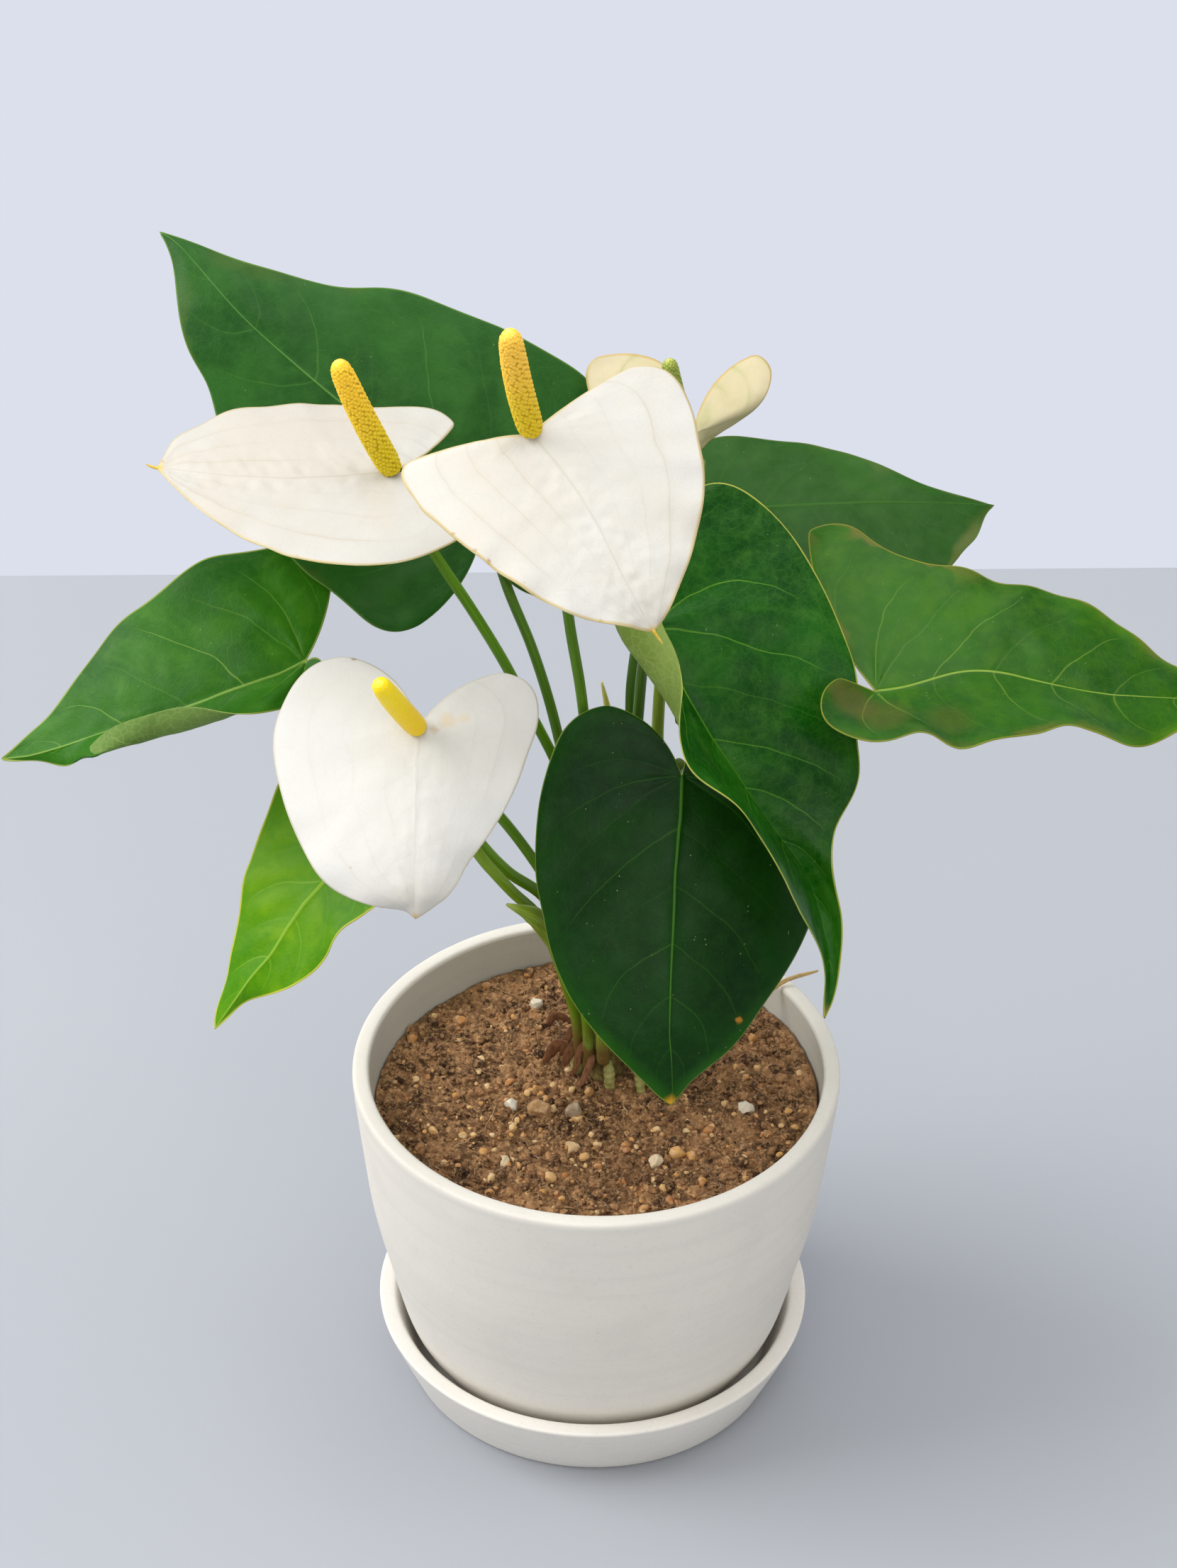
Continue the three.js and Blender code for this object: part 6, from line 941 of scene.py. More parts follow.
# Stalks: radius or radii, and the centre line from the foot to the top, mm.
STALKS = {
    "petiole_back_left": (2.2, [[-3.6,26.8,144],[-4.1,27.5,168.1],[-4.6,26.2,192.2],[-5.5,24.8,216.4],[-7.4,23.8,240.4],[-10.9,23.9,264.4],[-15.6,24.7,288],[-21.4,30.1,310.8],[-29.1,37.5,332.4],[-38.6,46.4,352.8],[-46,57,373]]),
    "petiole_left": (2.2, [[-7.2,22.2,146],[-8.6,23.1,169.7],[-11.4,20.5,193.1],[-14.1,12.2,215.4],[-18.7,4.1,237.3],[-27.9,-0.6,258.8],[-40,-3.1,279.3],[-55.2,-3,297.7],[-71.5,-3,315.2],[-88.7,-3,331.7],[-108.9,-2,344.3]]),
    "petiole_lower_left": (2.3, [[-6.8,10.7,146],[-8.8,10.6,168],[-13.2,6.2,189.2],[-16.6,-2.7,209.4],[-20.1,-12.9,228.8],[-24.8,-23.9,247.6],[-32.9,-34.7,265.2],[-41.9,-43.2,283.7],[-53.6,-46.2,301.4],[-73.8,-40.7,305],[-89.6,-35.3,290.9]]),
    "petiole_back_right": (2.2, [[6.6,29.1,146],[6.7,29.9,169.8],[7.5,30.4,193.6],[8.4,30.9,217.4],[9.3,31.2,241.1],[10.1,32.8,264.9],[10.6,38.9,287.8],[10.6,49.5,309.1],[14.6,65.8,325.8],[26.2,81.6,339.2],[40.1,96,351.9]]),
    "petiole_centre_right": (2.35, [[8.9,15.2,161.3],[8.9,14.4,181.5],[7.6,11.6,201.7],[7.9,9.7,222],[9.2,8.6,242.3],[10.6,7.6,262.6],[11.7,6.5,283],[12.8,5.9,303.3],[13.8,6.4,323.7],[14.8,4.4,343.7],[16.7,-3,362.6]]),
    "petiole_right": (2.3, [[16.4,16.1,143],[17.3,15.8,164.4],[24,17.2,184.8],[33.1,18.1,204.3],[43.1,18.1,223.3],[53.8,18.1,242],[64.9,18.2,260.5],[75.9,17.4,278.9],[86.3,14.9,297.6],[95.4,9.6,316.4],[100.6,-1,334.1]]),
    "petiole_front": (2.3, [[14.7,10.8,144],[15,9.9,161.9],[15.9,8.3,179.8],[17.2,6.3,197.6],[18.9,4.1,215.4],[20.9,1.4,233.1],[22.8,-1.7,250.6],[24.4,-5.5,268.1],[25.6,-9.6,285.6],[26.9,-13,303.2],[29.5,-21.5,317.6]]),
    "peduncle_left": (2.15, [[-0.9,18.8,161.3],[-1.9,17.5,188.5],[-4.2,14.2,215.7],[-7,10.9,242.8],[-10.7,8.7,269.9],[-17.4,6.4,296.4],[-28.3,7.2,321.5],[-37.8,2.3,346.7],[-50.1,0.9,371.1],[-64.7,5.3,393.6],[-79.2,13.5,415.2]]),
    "peduncle_right": (2.15, [[2.2,12.1,161.3],[1.5,11,191.6],[-0.5,8.5,221.8],[-2.4,5.3,252],[-4,1.1,282],[-5.7,-3.6,312],[-8.3,-8.1,341.9],[-12.2,-13.6,371.5],[-15,-23,400.3],[-18.8,-29.3,429.7],[-24.5,-34,459.1]]),
    "peduncle_lower": (2.3, [[-3,6.6,146],[-4,5.3,169],[-7,1.2,191.4],[-10.8,-4.6,213.3],[-15.4,-11.4,234.8],[-23,-20.4,254.5],[-34.6,-30.5,271.5],[-44.8,-38.5,290.5],[-53.2,-45.4,310.8],[-58.7,-52.9,331.8],[-63.9,-60,353.1]]),
    "peduncle_rear": (2.5, [[13.2,25.3,145],[13.5,25.4,171.3],[13.7,23.6,197.7],[17,23.9,224],[20.1,24.5,250.4],[22,25.2,276.8],[21.5,28.1,303.1],[23.2,34.5,328.5],[30.8,42,352.9],[35.4,51.7,377],[34.5,59.7,402.1]]),
    "new_leaf_sheath": ([2.6,2.7,2.8,2.9,3,3.1,3.3,3.4,3.8,4.1,0.7], [[2.6,3.5,151],[2.2,1.8,164.6],[2.3,-1.9,177.8],[0.2,-6.8,190.4],[-3.5,-12.3,202.5],[-7.8,-17.9,214.2],[-12.5,-23.7,225.8],[-17,-29.5,237.3],[-20.9,-35.6,249],[-25,-42.4,260.2],[-34.6,-47,268.4]]),
    "new_shoot": ([2.1,2.1,2.1,2.1,2.1,2.1,2.1,2.1,2,1.7,0.5], [[5.8,21.9,161.3],[6,22.3,178.5],[5.4,21.3,195.6],[5,20.1,212.7],[4.9,19.1,229.9],[5,18.2,247],[5.1,17.1,264.2],[4.6,15.7,281.3],[3.8,14,298.4],[2.4,12.7,315.5],[-0.6,12,332.3]]),
}

# Spadices: radius, foot and tip, mm.
SPADICES = {
    "spadix_left": (4.7, [-79.9,11,425.4], [-98.2,3,474.4]),
    "spadix_right": (4.8, [-26.4,-37,470.5], [-33.5,-52,517.4]),
    "spadix_lower": (4.3, [-66.4,-64,360.7], [-78.9,-82,392]),
    "spadix_rear": (3.6, [29.6,56,419.4], [21.9,52,451.6]),
}


# ---------------------------------------------------------------- camera
FOCAL_PX = 5217.6            # focal length in pixels of the 1660 x 2212 image
CAM_AT = (0.01516, -1.1772, 1.1164)
CAM_PITCH, CAM_YAW, CAM_ROLL = 0.6105, -0.0171, 0.0147


def make_camera():
    cp, sp = math.cos(CAM_PITCH), math.sin(CAM_PITCH)
    cy, sy = math.cos(CAM_YAW), math.sin(CAM_YAW)
    forward = Vector((sy * cp, cy * cp, -sp))
    right = Vector((cy, -sy, 0.0))
    up = right.cross(forward)
    cr, sr = math.cos(CAM_ROLL), math.sin(CAM_ROLL)
    r2 = cr * right + sr * up
    u2 = -sr * right + cr * up
    data = bpy.data.cameras.new("camera")
    data.sensor_width = 36.0
    data.lens = FOCAL_PX / 2212.0 * 36.0
    data.clip_start, data.clip_end = 0.05, 40.0
    cam = bpy.data.objects.new("camera", data)
    m = Matrix.Identity(4)
    for i in range(3):
        m[i][0], m[i][1], m[i][2], m[i][3] = r2[i], u2[i], -forward[i], CAM_AT[i]
    cam.matrix_world = m
    bpy.context.scene.collection.objects.link(cam)
    bpy.context.scene.camera = cam


make_camera()


# ---------------------------------------------------------------- materials
def srgb(r, g, b):
    """An 8-bit display colour as linear RGBA."""
    def lin(c):
        c = c / 255.0
        return c / 12.92 if c <= 0.04045 else ((c + 0.055) / 1.055) ** 2.4
    return (lin(r), lin(g), lin(b), 1.0)


class Nodes:
    """A small helper to write a node material as expressions."""

    def __init__(self, name):
        self.m = bpy.data.materials.new(name)
        self.m.use_nodes = True
        self.t = self.m.node_tree
        self.t.nodes.clear()
        self.out = self.t.nodes.new("ShaderNodeOutputMaterial")
        self._place = None

    def put(self, socket, value):
        if isinstance(value, bpy.types.NodeSocket):
            self.t.links.new(value, socket)
        else:
            socket.default_value = value

    def new(self, kind, **props):
        n = self.t.nodes.new(kind)
        for k, v in props.items():
            setattr(n, k, v)
        return n

    def place(self):
        if self._place is None:
            self._place = self.new("ShaderNodeTexCoord").outputs["Object"]
        return self._place

    def attr(self, name):
        return self.new("ShaderNodeAttribute", attribute_name=name).outputs["Fac"]

    def math(self, op, a, b=0.0, c=None, clamp=False):
        n = self.new("ShaderNodeMath", operation=op, use_clamp=clamp)
        self.put(n.inputs[0], a)
        self.put(n.inputs[1], b)
        if c is not None:
            self.put(n.inputs[2], c)
        return n.outputs[0]

    def mul(self, a, b):
        return self.math("MULTIPLY", a, b)

    def add(self, a, b):
        return self.math("ADD", a, b)

    def sub(self, a, b):
        return self.math("SUBTRACT", a, b)

    def step(self, x, lo, hi, a=0.0, b=1.0):
        """Smooth from a at lo to b at hi."""
        n = self.new("ShaderNodeMapRange", interpolation_type="SMOOTHSTEP", clamp=True)
        if lo > hi:
            lo, hi, a, b = hi, lo, b, a
        for i, v in enumerate((x, lo, hi, a, b)):
            self.put(n.inputs[i], v)
        return n.outputs[0]

    def mix(self, fac, a, b, blend="MIX"):
        n = self.new("ShaderNodeMix", data_type="RGBA", blend_type=blend, clamp_factor=True)
        self.put(n.inputs[0], fac)
        self.put(n.inputs[6], a)
        self.put(n.inputs[7], b)
        return n.outputs[2]

    def noise(self, scale, detail=2.0, rough=0.5, at=None, stretch=None, distortion=0.0, colour=False):
        v = at or self.place()
        if stretch is not None:
            mp = self.new("ShaderNodeMapping")
            self.put(mp.inputs["Vector"], v)
            mp.inputs["Scale"].default_value = stretch
            v = mp.outputs[0]
        n = self.new("ShaderNodeTexNoise")
        self.put(n.inputs["Vector"], v)
        n.inputs["Scale"].default_value = scale
        n.inputs["Detail"].default_value = detail
        n.inputs["Roughness"].default_value = rough
        n.inputs["Distortion"].default_value = distortion
        return n.outputs[1 if colour else 0]

    def cells(self, scale, feature="DISTANCE_TO_EDGE", at=None, randomness=1.0):
        n = self.new("ShaderNodeTexVoronoi", feature=feature)
        self.put(n.inputs["Vector"], at or self.place())
        n.inputs["Scale"].default_value = scale
        n.inputs["Randomness"].default_value = randomness
        return n

    def warped(self, amount, scale):
        """The object position moved about by noise, so that patterns aren't regular."""
        c = self.noise(scale, 2.0, 0.5, colour=True)
        off = self.new("ShaderNodeVectorMath", operation="SUBTRACT")
        self.put(off.inputs[0], c)
        off.inputs[1].default_value = (0.5, 0.5, 0.5)
        s = self.new("ShaderNodeVectorMath", operation="SCALE")
        self.put(s.inputs[0], off.outputs[0])
        s.inputs["Scale"].default_value = amount
        a = self.new("ShaderNodeVectorMath", operation="ADD")
        self.put(a.inputs[0], self.place())
        self.put(a.inputs[1], s.outputs[0])
        return a.outputs[0]

    def away(self, point_mm, at=None):
        """Distance from a point, in mm."""
        d = self.new("ShaderNodeVectorMath", operation="DISTANCE")
        self.put(d.inputs[0], at or self.place())
        d.inputs[1].default_value = [c * MM for c in point_mm]
        return self.mul(d.outputs["Value"], 1000.0)

    def bump(self, height, distance_mm, strength=1.0, normal=None):
        n = self.new("ShaderNodeBump")
        n.inputs["Strength"].default_value = strength
        n.inputs["Distance"].default_value = distance_mm * MM
        self.put(n.inputs["Height"], height)
        if normal is not None:
            self.put(n.inputs["Normal"], normal)
        return n.outputs[0]

    def shade(self, colour, roughness=0.5, normal=None, **fixed):
        p = self.new("ShaderNodeBsdfPrincipled")
        self.put(p.inputs["Base Color"], colour)
        self.put(p.inputs["Roughness"], roughness)
        if normal is not None:
            self.put(p.inputs["Normal"], normal)
        for k, v in fixed.items():
            p.inputs[k.replace("_", " ")].default_value = v
        self.t.links.new(p.outputs[0], self.out.inputs[0])
        return p

    def translucent(self, surface, colour, share, normal=None):
        """Lets some light through a thin sheet."""
        tr = self.new("ShaderNodeBsdfTranslucent")
        self.put(tr.inputs["Color"], colour)
        if normal is not None:
            self.put(tr.inputs["Normal"], normal)
        mx = self.new("ShaderNodeMixShader")
        mx.inputs[0].default_value = share
        self.t.links.new(surface.outputs[0], mx.inputs[1])
        self.t.links.new(tr.outputs[0], mx.inputs[2])
        self.t.links.new(mx.outputs[0], self.out.inputs[0])


# ---------------------------------------------------------------- mesh helpers
def mesh_piece(name, points, faces, materials, material_of=None, attributes=None, node=None, smooth=True):
    """A mesh object from points in mm, riding on the body and standing for its CAD node."""
    me = bpy.data.meshes.new(name)
    pts = np.asarray(points, float)
    faces = [list(map(int, f)) for f in faces]
    # Faces look outwards: a closed shell holds a positive volume.
    tri = np.array([(f[0], f[i], f[i + 1]) for f in faces for i in range(1, len(f) - 1)], int)
    rel = pts - pts.mean(0)
    volume = float(np.einsum("ij,ij->", rel[tri[:, 0]], np.cross(rel[tri[:, 1]], rel[tri[:, 2]])))
    if volume < 0:
        faces = [f[::-1] for f in faces]
    me.from_pydata((pts * MM).tolist(), [], faces)
    me.validate(verbose=False)
    for m in materials:
        me.materials.append(m.m if isinstance(m, Nodes) else m)
    if material_of is not None:
        me.polygons.foreach_set("material_index", np.asarray(material_of, np.int32))
    if smooth:
        me.polygons.foreach_set("use_smooth", np.ones(len(me.polygons), bool))
    for key, values in (attributes or {}).items():
        a = me.attributes.new(key, "FLOAT", "POINT")
        a.data.foreach_set("value", np.asarray(values, np.float32))
    me.update()
    ob = bpy.data.objects.new(name, me)
    bpy.context.scene.collection.objects.link(ob)
    if node is not None:
        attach(ob, "root")
        for n in ([node] if isinstance(node, str) else node):
            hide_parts(n)
    return ob


def spline_rows(P, k):
    """Catmull-Rom through the rows of P, k steps between neighbours."""
    P = np.asarray(P, float)
    if len(P) < 3:
        u = np.linspace(0, len(P) - 1, (len(P) - 1) * k + 1)
        i = np.minimum(u.astype(int), len(P) - 2)
        f = (u - i)[:, None]
        return P[i] * (1 - f) + P[i + 1] * f
    E = np.vstack([2 * P[:1] - P[1:2], P, 2 * P[-1:] - P[-2:-1]])
    out = []
    for i in range(len(P) - 1):
        a, b, c, d = E[i], E[i + 1], E[i + 2], E[i + 3]
        for j in range(k):
            t = j / k
            out.append(0.5 * ((2 * b) + (c - a) * t + (2 * a - 5 * b + 4 * c - d) * t * t + (3 * b - a - 3 * c + d) * t ** 3))
    out.append(P[-1])
    return np.array(out)


def along(P, n):
    """n points evenly spaced by length on the smooth curve through P, with the unit tangents."""
    D = spline_rows(P, 24)
    L = np.r_[0, np.cumsum(np.linalg.norm(np.diff(D, axis=0), axis=1))]
    u = np.linspace(0, L[-1], n)
    Q = np.stack([np.interp(u, L, D[:, k]) for k in range(3)], -1)
    T = np.gradient(Q, axis=0)
    T /= np.linalg.norm(T, axis=1)[:, None]
    return Q, T, L[-1]


def frames(Q, T):
    """Two unit vectors across the curve at each point, turning as little as possible."""
    u = np.cross(T[0], [0.31, 0.87, 0.13])
    u /= np.linalg.norm(u)
    U = []
    for t in T:
        u = u - t * (u @ t)
        u /= np.linalg.norm(u)
        U.append(u)
    U = np.array(U)
    return U, np.cross(T, U)


def tube(P, radius, rings=90, sides=18, shape=None, flat=None):
    """Closed tube along P. radius and flat are functions of the length fraction; shape adds relief, as a function of (fraction, angle, length)."""
    Q, T, L = along(P, rings)
    U, W = frames(Q, T)
    pts, fr = [], np.linspace(0, 1, rings)
    for i, f in enumerate(fr):
        a = np.linspace(0, 2 * math.pi, sides, endpoint=False)
        r = radius(f, L)
        ru = np.full(sides, r)
        if shape is not None:
            ru = ru + shape(f, a, L)
        k = flat(f) if flat else 1.0
        pts.append(Q[i] + np.outer(ru * np.cos(a), U[i]) + np.outer(ru * np.sin(a) * k, W[i]))
    pts = np.array(pts)
    faces = []
    for i in range(rings - 1):
        for j in range(sides):
            n = (j + 1) % sides
            faces.append((i * sides + j, i * sides + n, (i + 1) * sides + n, (i + 1) * sides + j))
    flatpts = pts.reshape(-1, 3)
    c0, c1 = len(flatpts), len(flatpts) + 1
    V = np.vstack([flatpts, Q[:1] - T[:1] * radius(0, L) * 0.25, Q[-1:] + T[-1:] * radius(1, L) * 0.25])
    for j in range(sides):
        n = (j + 1) % sides
        faces.append((c0, n, j))
        faces.append((c1, (rings - 1) * sides + j, (rings - 1) * sides + n))
    frac = np.r_[np.repeat(fr, sides), 0, 1]
    ang = np.r_[np.tile(np.linspace(0, 1, sides, endpoint=False), rings), 0, 0]
    return V, faces, frac, ang, L


def lathe(profile, segments=192, axis=(0, 0)):
    """Closed ring or solid turned from a profile of (r, z) in mm. A profile point at r 0 becomes a pole."""
    pts, index = [], []
    a = np.linspace(0, 2 * math.pi, segments, endpoint=False)
    for r, z in profile:
        if r < 1e-6:
            index.append([len(pts)] * segments)
            pts.append((axis[0], axis[1], z))
        else:
            index.append(list(range(len(pts), len(pts) + segments)))
            pts.extend(zip(axis[0] + r * np.cos(a), axis[1] + r * np.sin(a), [z] * segments))
    faces = []
    closed = profile[0] == profile[-1]
    n = len(profile) - 1 if closed else len(profile)
    for i in range(len(profile) - 1):
        A, B = index[i], index[(i + 1) % n if closed else i + 1]
        for j in range(segments):
            k = (j + 1) % segments
            f = []
            for v in (A[j], A[k], B[k], B[j]):
                if v not in f:
                    f.append(v)
            if len(f) > 2:
                faces.append(tuple(f))
    if closed:
        pts = pts[: len(pts) - segments]
    return np.array(pts), faces


def smooth_profile(points, step=1.2, corner=None):
    """Even points on a Catmull-Rom curve through the profile's points."""
    D = spline_rows(np.array(points, float), 12)
    L = np.r_[0, np.cumsum(np.linalg.norm(np.diff(D, axis=0), axis=1))]
    n = max(2, int(L[-1] / step))
    u = np.linspace(0, L[-1], n)
    return [(float(np.interp(x, L, D[:, 0])), float(np.interp(x, L, D[:, 1]))) for x in u]


# ---------------------------------------------------------------- leaf materials
def vein_parts(N, side_width=0.42, side_fade=0.85):
    """Masks from the blade's own measures: midrib, side veins, margin and a halo round the veins."""
    va, vs, dm, di, mu, t = (N.attr(k) for k in ("va", "vs", "dm", "di", "mu", "tt"))
    wob = N.noise(38.0, 2.0, 0.5)
    va = N.add(va, N.mul(N.sub(wob, 0.5), 0.42))
    which = N.new("ShaderNodeTexWhiteNoise", noise_dimensions="1D")
    N.put(which.inputs["W"], N.add(N.math("FLOOR", N.add(va, 0.5)), N.mul(N.attr("sd"), 17.3)))
    strong = N.step(which.outputs["Value"], 0.0, 1.0, 0.25, 1.0)
    fr = N.math("FRACT", N.add(va, 0.5))
    d = N.mul(N.math("ABSOLUTE", N.sub(fr, 0.5)), vs)
    w = N.mul(N.step(t, 0.0, 1.0, 1.0, 0.45), side_width)
    side = N.step(N.math("DIVIDE", d, w), 0.45, 1.35, 1.0, 0.0)
    side = N.mul(side, N.step(t, side_fade - 0.12, side_fade + 0.06, 1.0, 0.0))
    side = N.mul(N.mul(side, strong), N.step(dm, 1.5, 4.0))
    halo = N.mul(N.mul(N.step(d, 0.3, 3.2, 1.0, 0.0), strong), N.step(t, 0.55, 0.95, 1.0, 0.0))
    # A collecting vein runs a few millimetres inside the margin.
    ring_at = N.add(4.6, N.mul(N.sub(N.noise(45.0, 1.0), 0.5), 3.4))
    ring = N.step(N.math("ABSOLUTE", N.sub(dm, ring_at)), 0.12, 0.5, 1.0, 0.0)
    return dict(va=va, d=d, side=side, halo=halo, dm=dm, di=di, mu=mu, t=t, ring=ring)


def long_veins(N, count=4.0, width=0.34):
    """Veins that run from the foot to the tip, side by side, as on a spathe."""
    t, rl = N.attr("tt"), N.attr("rl")
    ph = N.add(N.mul(t, count), N.mul(N.sub(N.noise(26.0, 2.0, 0.5), 0.5), 0.8))
    fr = N.math("FRACT", N.add(ph, 0.5))
    d = N.mul(N.math("ABSOLUTE", N.sub(fr, 0.5)), N.math("DIVIDE", rl, count))
    line = N.step(N.math("DIVIDE", d, width), 0.4, 1.5, 1.0, 0.0)
    which = N.new("ShaderNodeTexWhiteNoise", noise_dimensions="1D")
    N.put(which.inputs["W"], N.add(N.math("FLOOR", N.add(ph, 0.5)), N.mul(N.attr("sd"), 9.1)))
    keep = N.mul(N.step(which.outputs["Value"], 0.0, 1.0, 0.35, 1.0), N.step(N.noise(30.0, 2.0), 0.35, 0.6, 0.25, 1.0))
    line = N.mul(N.mul(line, keep), N.mul(N.step(t, 0.06, 0.2), N.step(t, 0.8, 0.93, 1.0, 0.0)))
    near = N.mul(N.mul(N.step(d, 0.2, 2.6, 1.0, 0.0), keep), N.step(t, 0.06, 0.2))
    return line, near


def leaf_material(name, dark, mid, light, vein, rim, gloss=0.36, tint=0.5, vein_k=0.55, rim_mm=0.9, net_k=0.10,
                  through=(60, 130, 10), through_share=0.10, specks=0.25, tip=None, marks=(), sheen=0.0, blush=None, rib_k=1.0, painted_edge_glow=None):
    N = Nodes(name)
    p = vein_parts(N)
    broad = N.noise(24.0, 3.0, 0.55)
    fine = N.noise(210.0, 3.0, 0.6)
    c = N.mix(N.step(broad, 0.34, 0.66), dark, mid)
    c = N.mix(N.mul(N.step(fine, 0.35, 0.75), 0.20), c, light)
    # Paler patches between the veins towards the margin: partly a waxy bloom, partly a painted satin sheen.
    bloom_and_sheen_patch = N.mul(N.step(N.noise(46.0, 5.0, 0.68, distortion=0.6), 0.46, 0.68), N.step(p["d"], 1.0, 4.5))
    c = N.mix(N.mul(bloom_and_sheen_patch, tint), c, light)
    c = N.mix(N.mul(p["halo"], 0.22), c, mid)
    # Net veins.
    warp = N.warped(0.0035, 130.0)
    net = N.cells(330.0, at=warp)
    net_line = N.step(net.outputs["Distance"], 0.02, 0.10, 1.0, 0.0)
    c = N.mix(N.mul(net_line, net_k), c, light)
    c = N.mix(N.mul(p["ring"], 0.07 * vein_k), c, vein)
    c = N.mix(N.mul(p["side"], vein_k), c, vein)
    # The midrib is widest at the stalk.
    rib_w = N.step(p["mu"], 0.0, 1.0, 1.15 * rib_k, 0.28 * rib_k)
    rib = N.step(N.math("DIVIDE", p["di"], rib_w), 0.55, 1.15, 1.0, 0.0)
    c = N.mix(N.mul(N.step(N.math("DIVIDE", p["di"], rib_w), 1.0, 3.2, 1.0, 0.0), 0.25), c, mid)
    c = N.mix(N.mul(rib, min(1.0, vein_k + 0.4)), c, vein)
    # Tiny pale dots.
    dots = N.cells(420.0, "F1")
    dot = N.step(dots.outputs["Distance"], 0.05, 0.13, 1.0, 0.0)
    pick = N.step(N.noise(160.0, 1.0), 0.60, 0.66)
    c = N.mix(N.mul(N.mul(dot, pick), specks), c, srgb(196, 214, 160))
    for at, radius, colour, amount in marks:
        dd = N.away(at, N.warped(0.002, 400.0))
        c = N.mix(N.mul(N.step(dd, radius * 0.35, radius, 1.0, 0.0), amount), c, colour)
    if painted_edge_glow:
        # Painted light: a brighter green glow towards the margin.
        k = N.mul(N.step(p["dm"], 0.3, 7.0, 1.0, 0.0), N.mul(N.step(N.noise(30.0, 3.0, 0.6), 0.30, 0.62, 0.2, 1.0), N.step(p["mu"], 0.25, 0.85, 0.15, 1.0)))
        c = N.mix(N.mul(k, painted_edge_glow[1]), c, painted_edge_glow[0])
    if tip:
        c = N.mix(N.step(p["mu"], 0.955, 0.995), c, tip)
    if blush:
        # Weathered tissue in uneven bands beside the margin.
        reach = N.step(N.noise(34.0, 3.0, 0.6), 0.35, 0.7, 0.5, 11.0)
        k = N.mul(N.step(N.math("DIVIDE", p["dm"], reach), 0.2, 1.0, 1.0, 0.0), N.step(N.noise(22.0, 2.0), 0.40, 0.62))
        c = N.mix(N.mul(k, blush[1]), c, blush[0])
    rim_w = N.add(rim_mm, N.mul(N.sub(N.noise(60.0, 1.0), 0.5), 0.5))
    rim_k = N.step(N.math("DIVIDE", p["dm"], rim_w), 0.75, 1.15, 1.0, 0.0)
    c = N.mix(N.mul(rim_k, 0.9), c, rim)
    rough = N.add(gloss, N.mul(N.sub(N.noise(90.0, 3.0, 0.6), 0.5), 0.22))
    rough = N.math("MINIMUM", N.math("MAXIMUM", rough, 0.2), 0.8)
    h = N.add(N.mul(N.noise(900.0, 3.0, 0.6), 0.35), N.mul(net_line, -0.35))
    h = N.add(h, N.mul(N.noise(260.0, 2.0), 0.5))
    nrm = N.bump(h, 0.12, 0.55)
    s = N.shade(c, rough, nrm, Specular_IOR_Level=0.16)
    N.translucent(s, N.mix(0.55, c, srgb(*through)), through_share, nrm)
    return N


def leaf_back_material(name, base, light, vein, rough=0.62, through=(90, 150, 30), through_share=0.10):
    """The underside: paler and duller, with raised veins and a visible net."""
    N = Nodes(name)
    p = vein_parts(N, 0.6, 0.9)
    c = N.mix(N.step(N.noise(30.0, 3.0, 0.55), 0.35, 0.68), base, light)
    warp = N.warped(0.003, 140.0)
    net = N.cells(300.0, at=warp)
    line = N.step(net.outputs["Distance"], 0.02, 0.12, 1.0, 0.0)
    c = N.mix(N.mul(line, 0.28), c, vein)
    c = N.mix(N.mul(N.noise(600.0, 2.0), 0.12), c, srgb(60, 80, 30))
    c = N.mix(N.mul(p["side"], 0.8), c, vein)
    rib_w = N.step(p["mu"], 0.0, 1.0, 1.5, 0.35)
    c = N.mix(N.mul(N.step(N.math("DIVIDE", p["di"], rib_w), 0.6, 1.15, 1.0, 0.0), 0.9), c, vein)
    h = N.add(N.mul(line, 0.5), N.mul(N.noise(800.0, 3.0, 0.6), 0.5))
    nrm = N.bump(h, 0.12, 0.5)
    s = N.shade(c, N.add(rough, N.mul(N.sub(N.noise(120.0), 0.5), 0.12)), nrm, Specular_IOR_Level=0.2)
    N.translucent(s, N.mix(0.5, c, srgb(*through)), through_share, nrm)
    return N


def rim_material(name, colour, second):
    N = Nodes(name)
    c = N.mix(N.step(N.noise(70.0, 2.0), 0.35, 0.7), colour, second)
    N.shade(c, 0.5, N.bump(N.noise(700.0), 0.05, 0.4), Specular_IOR_Level=0.45)
    return N


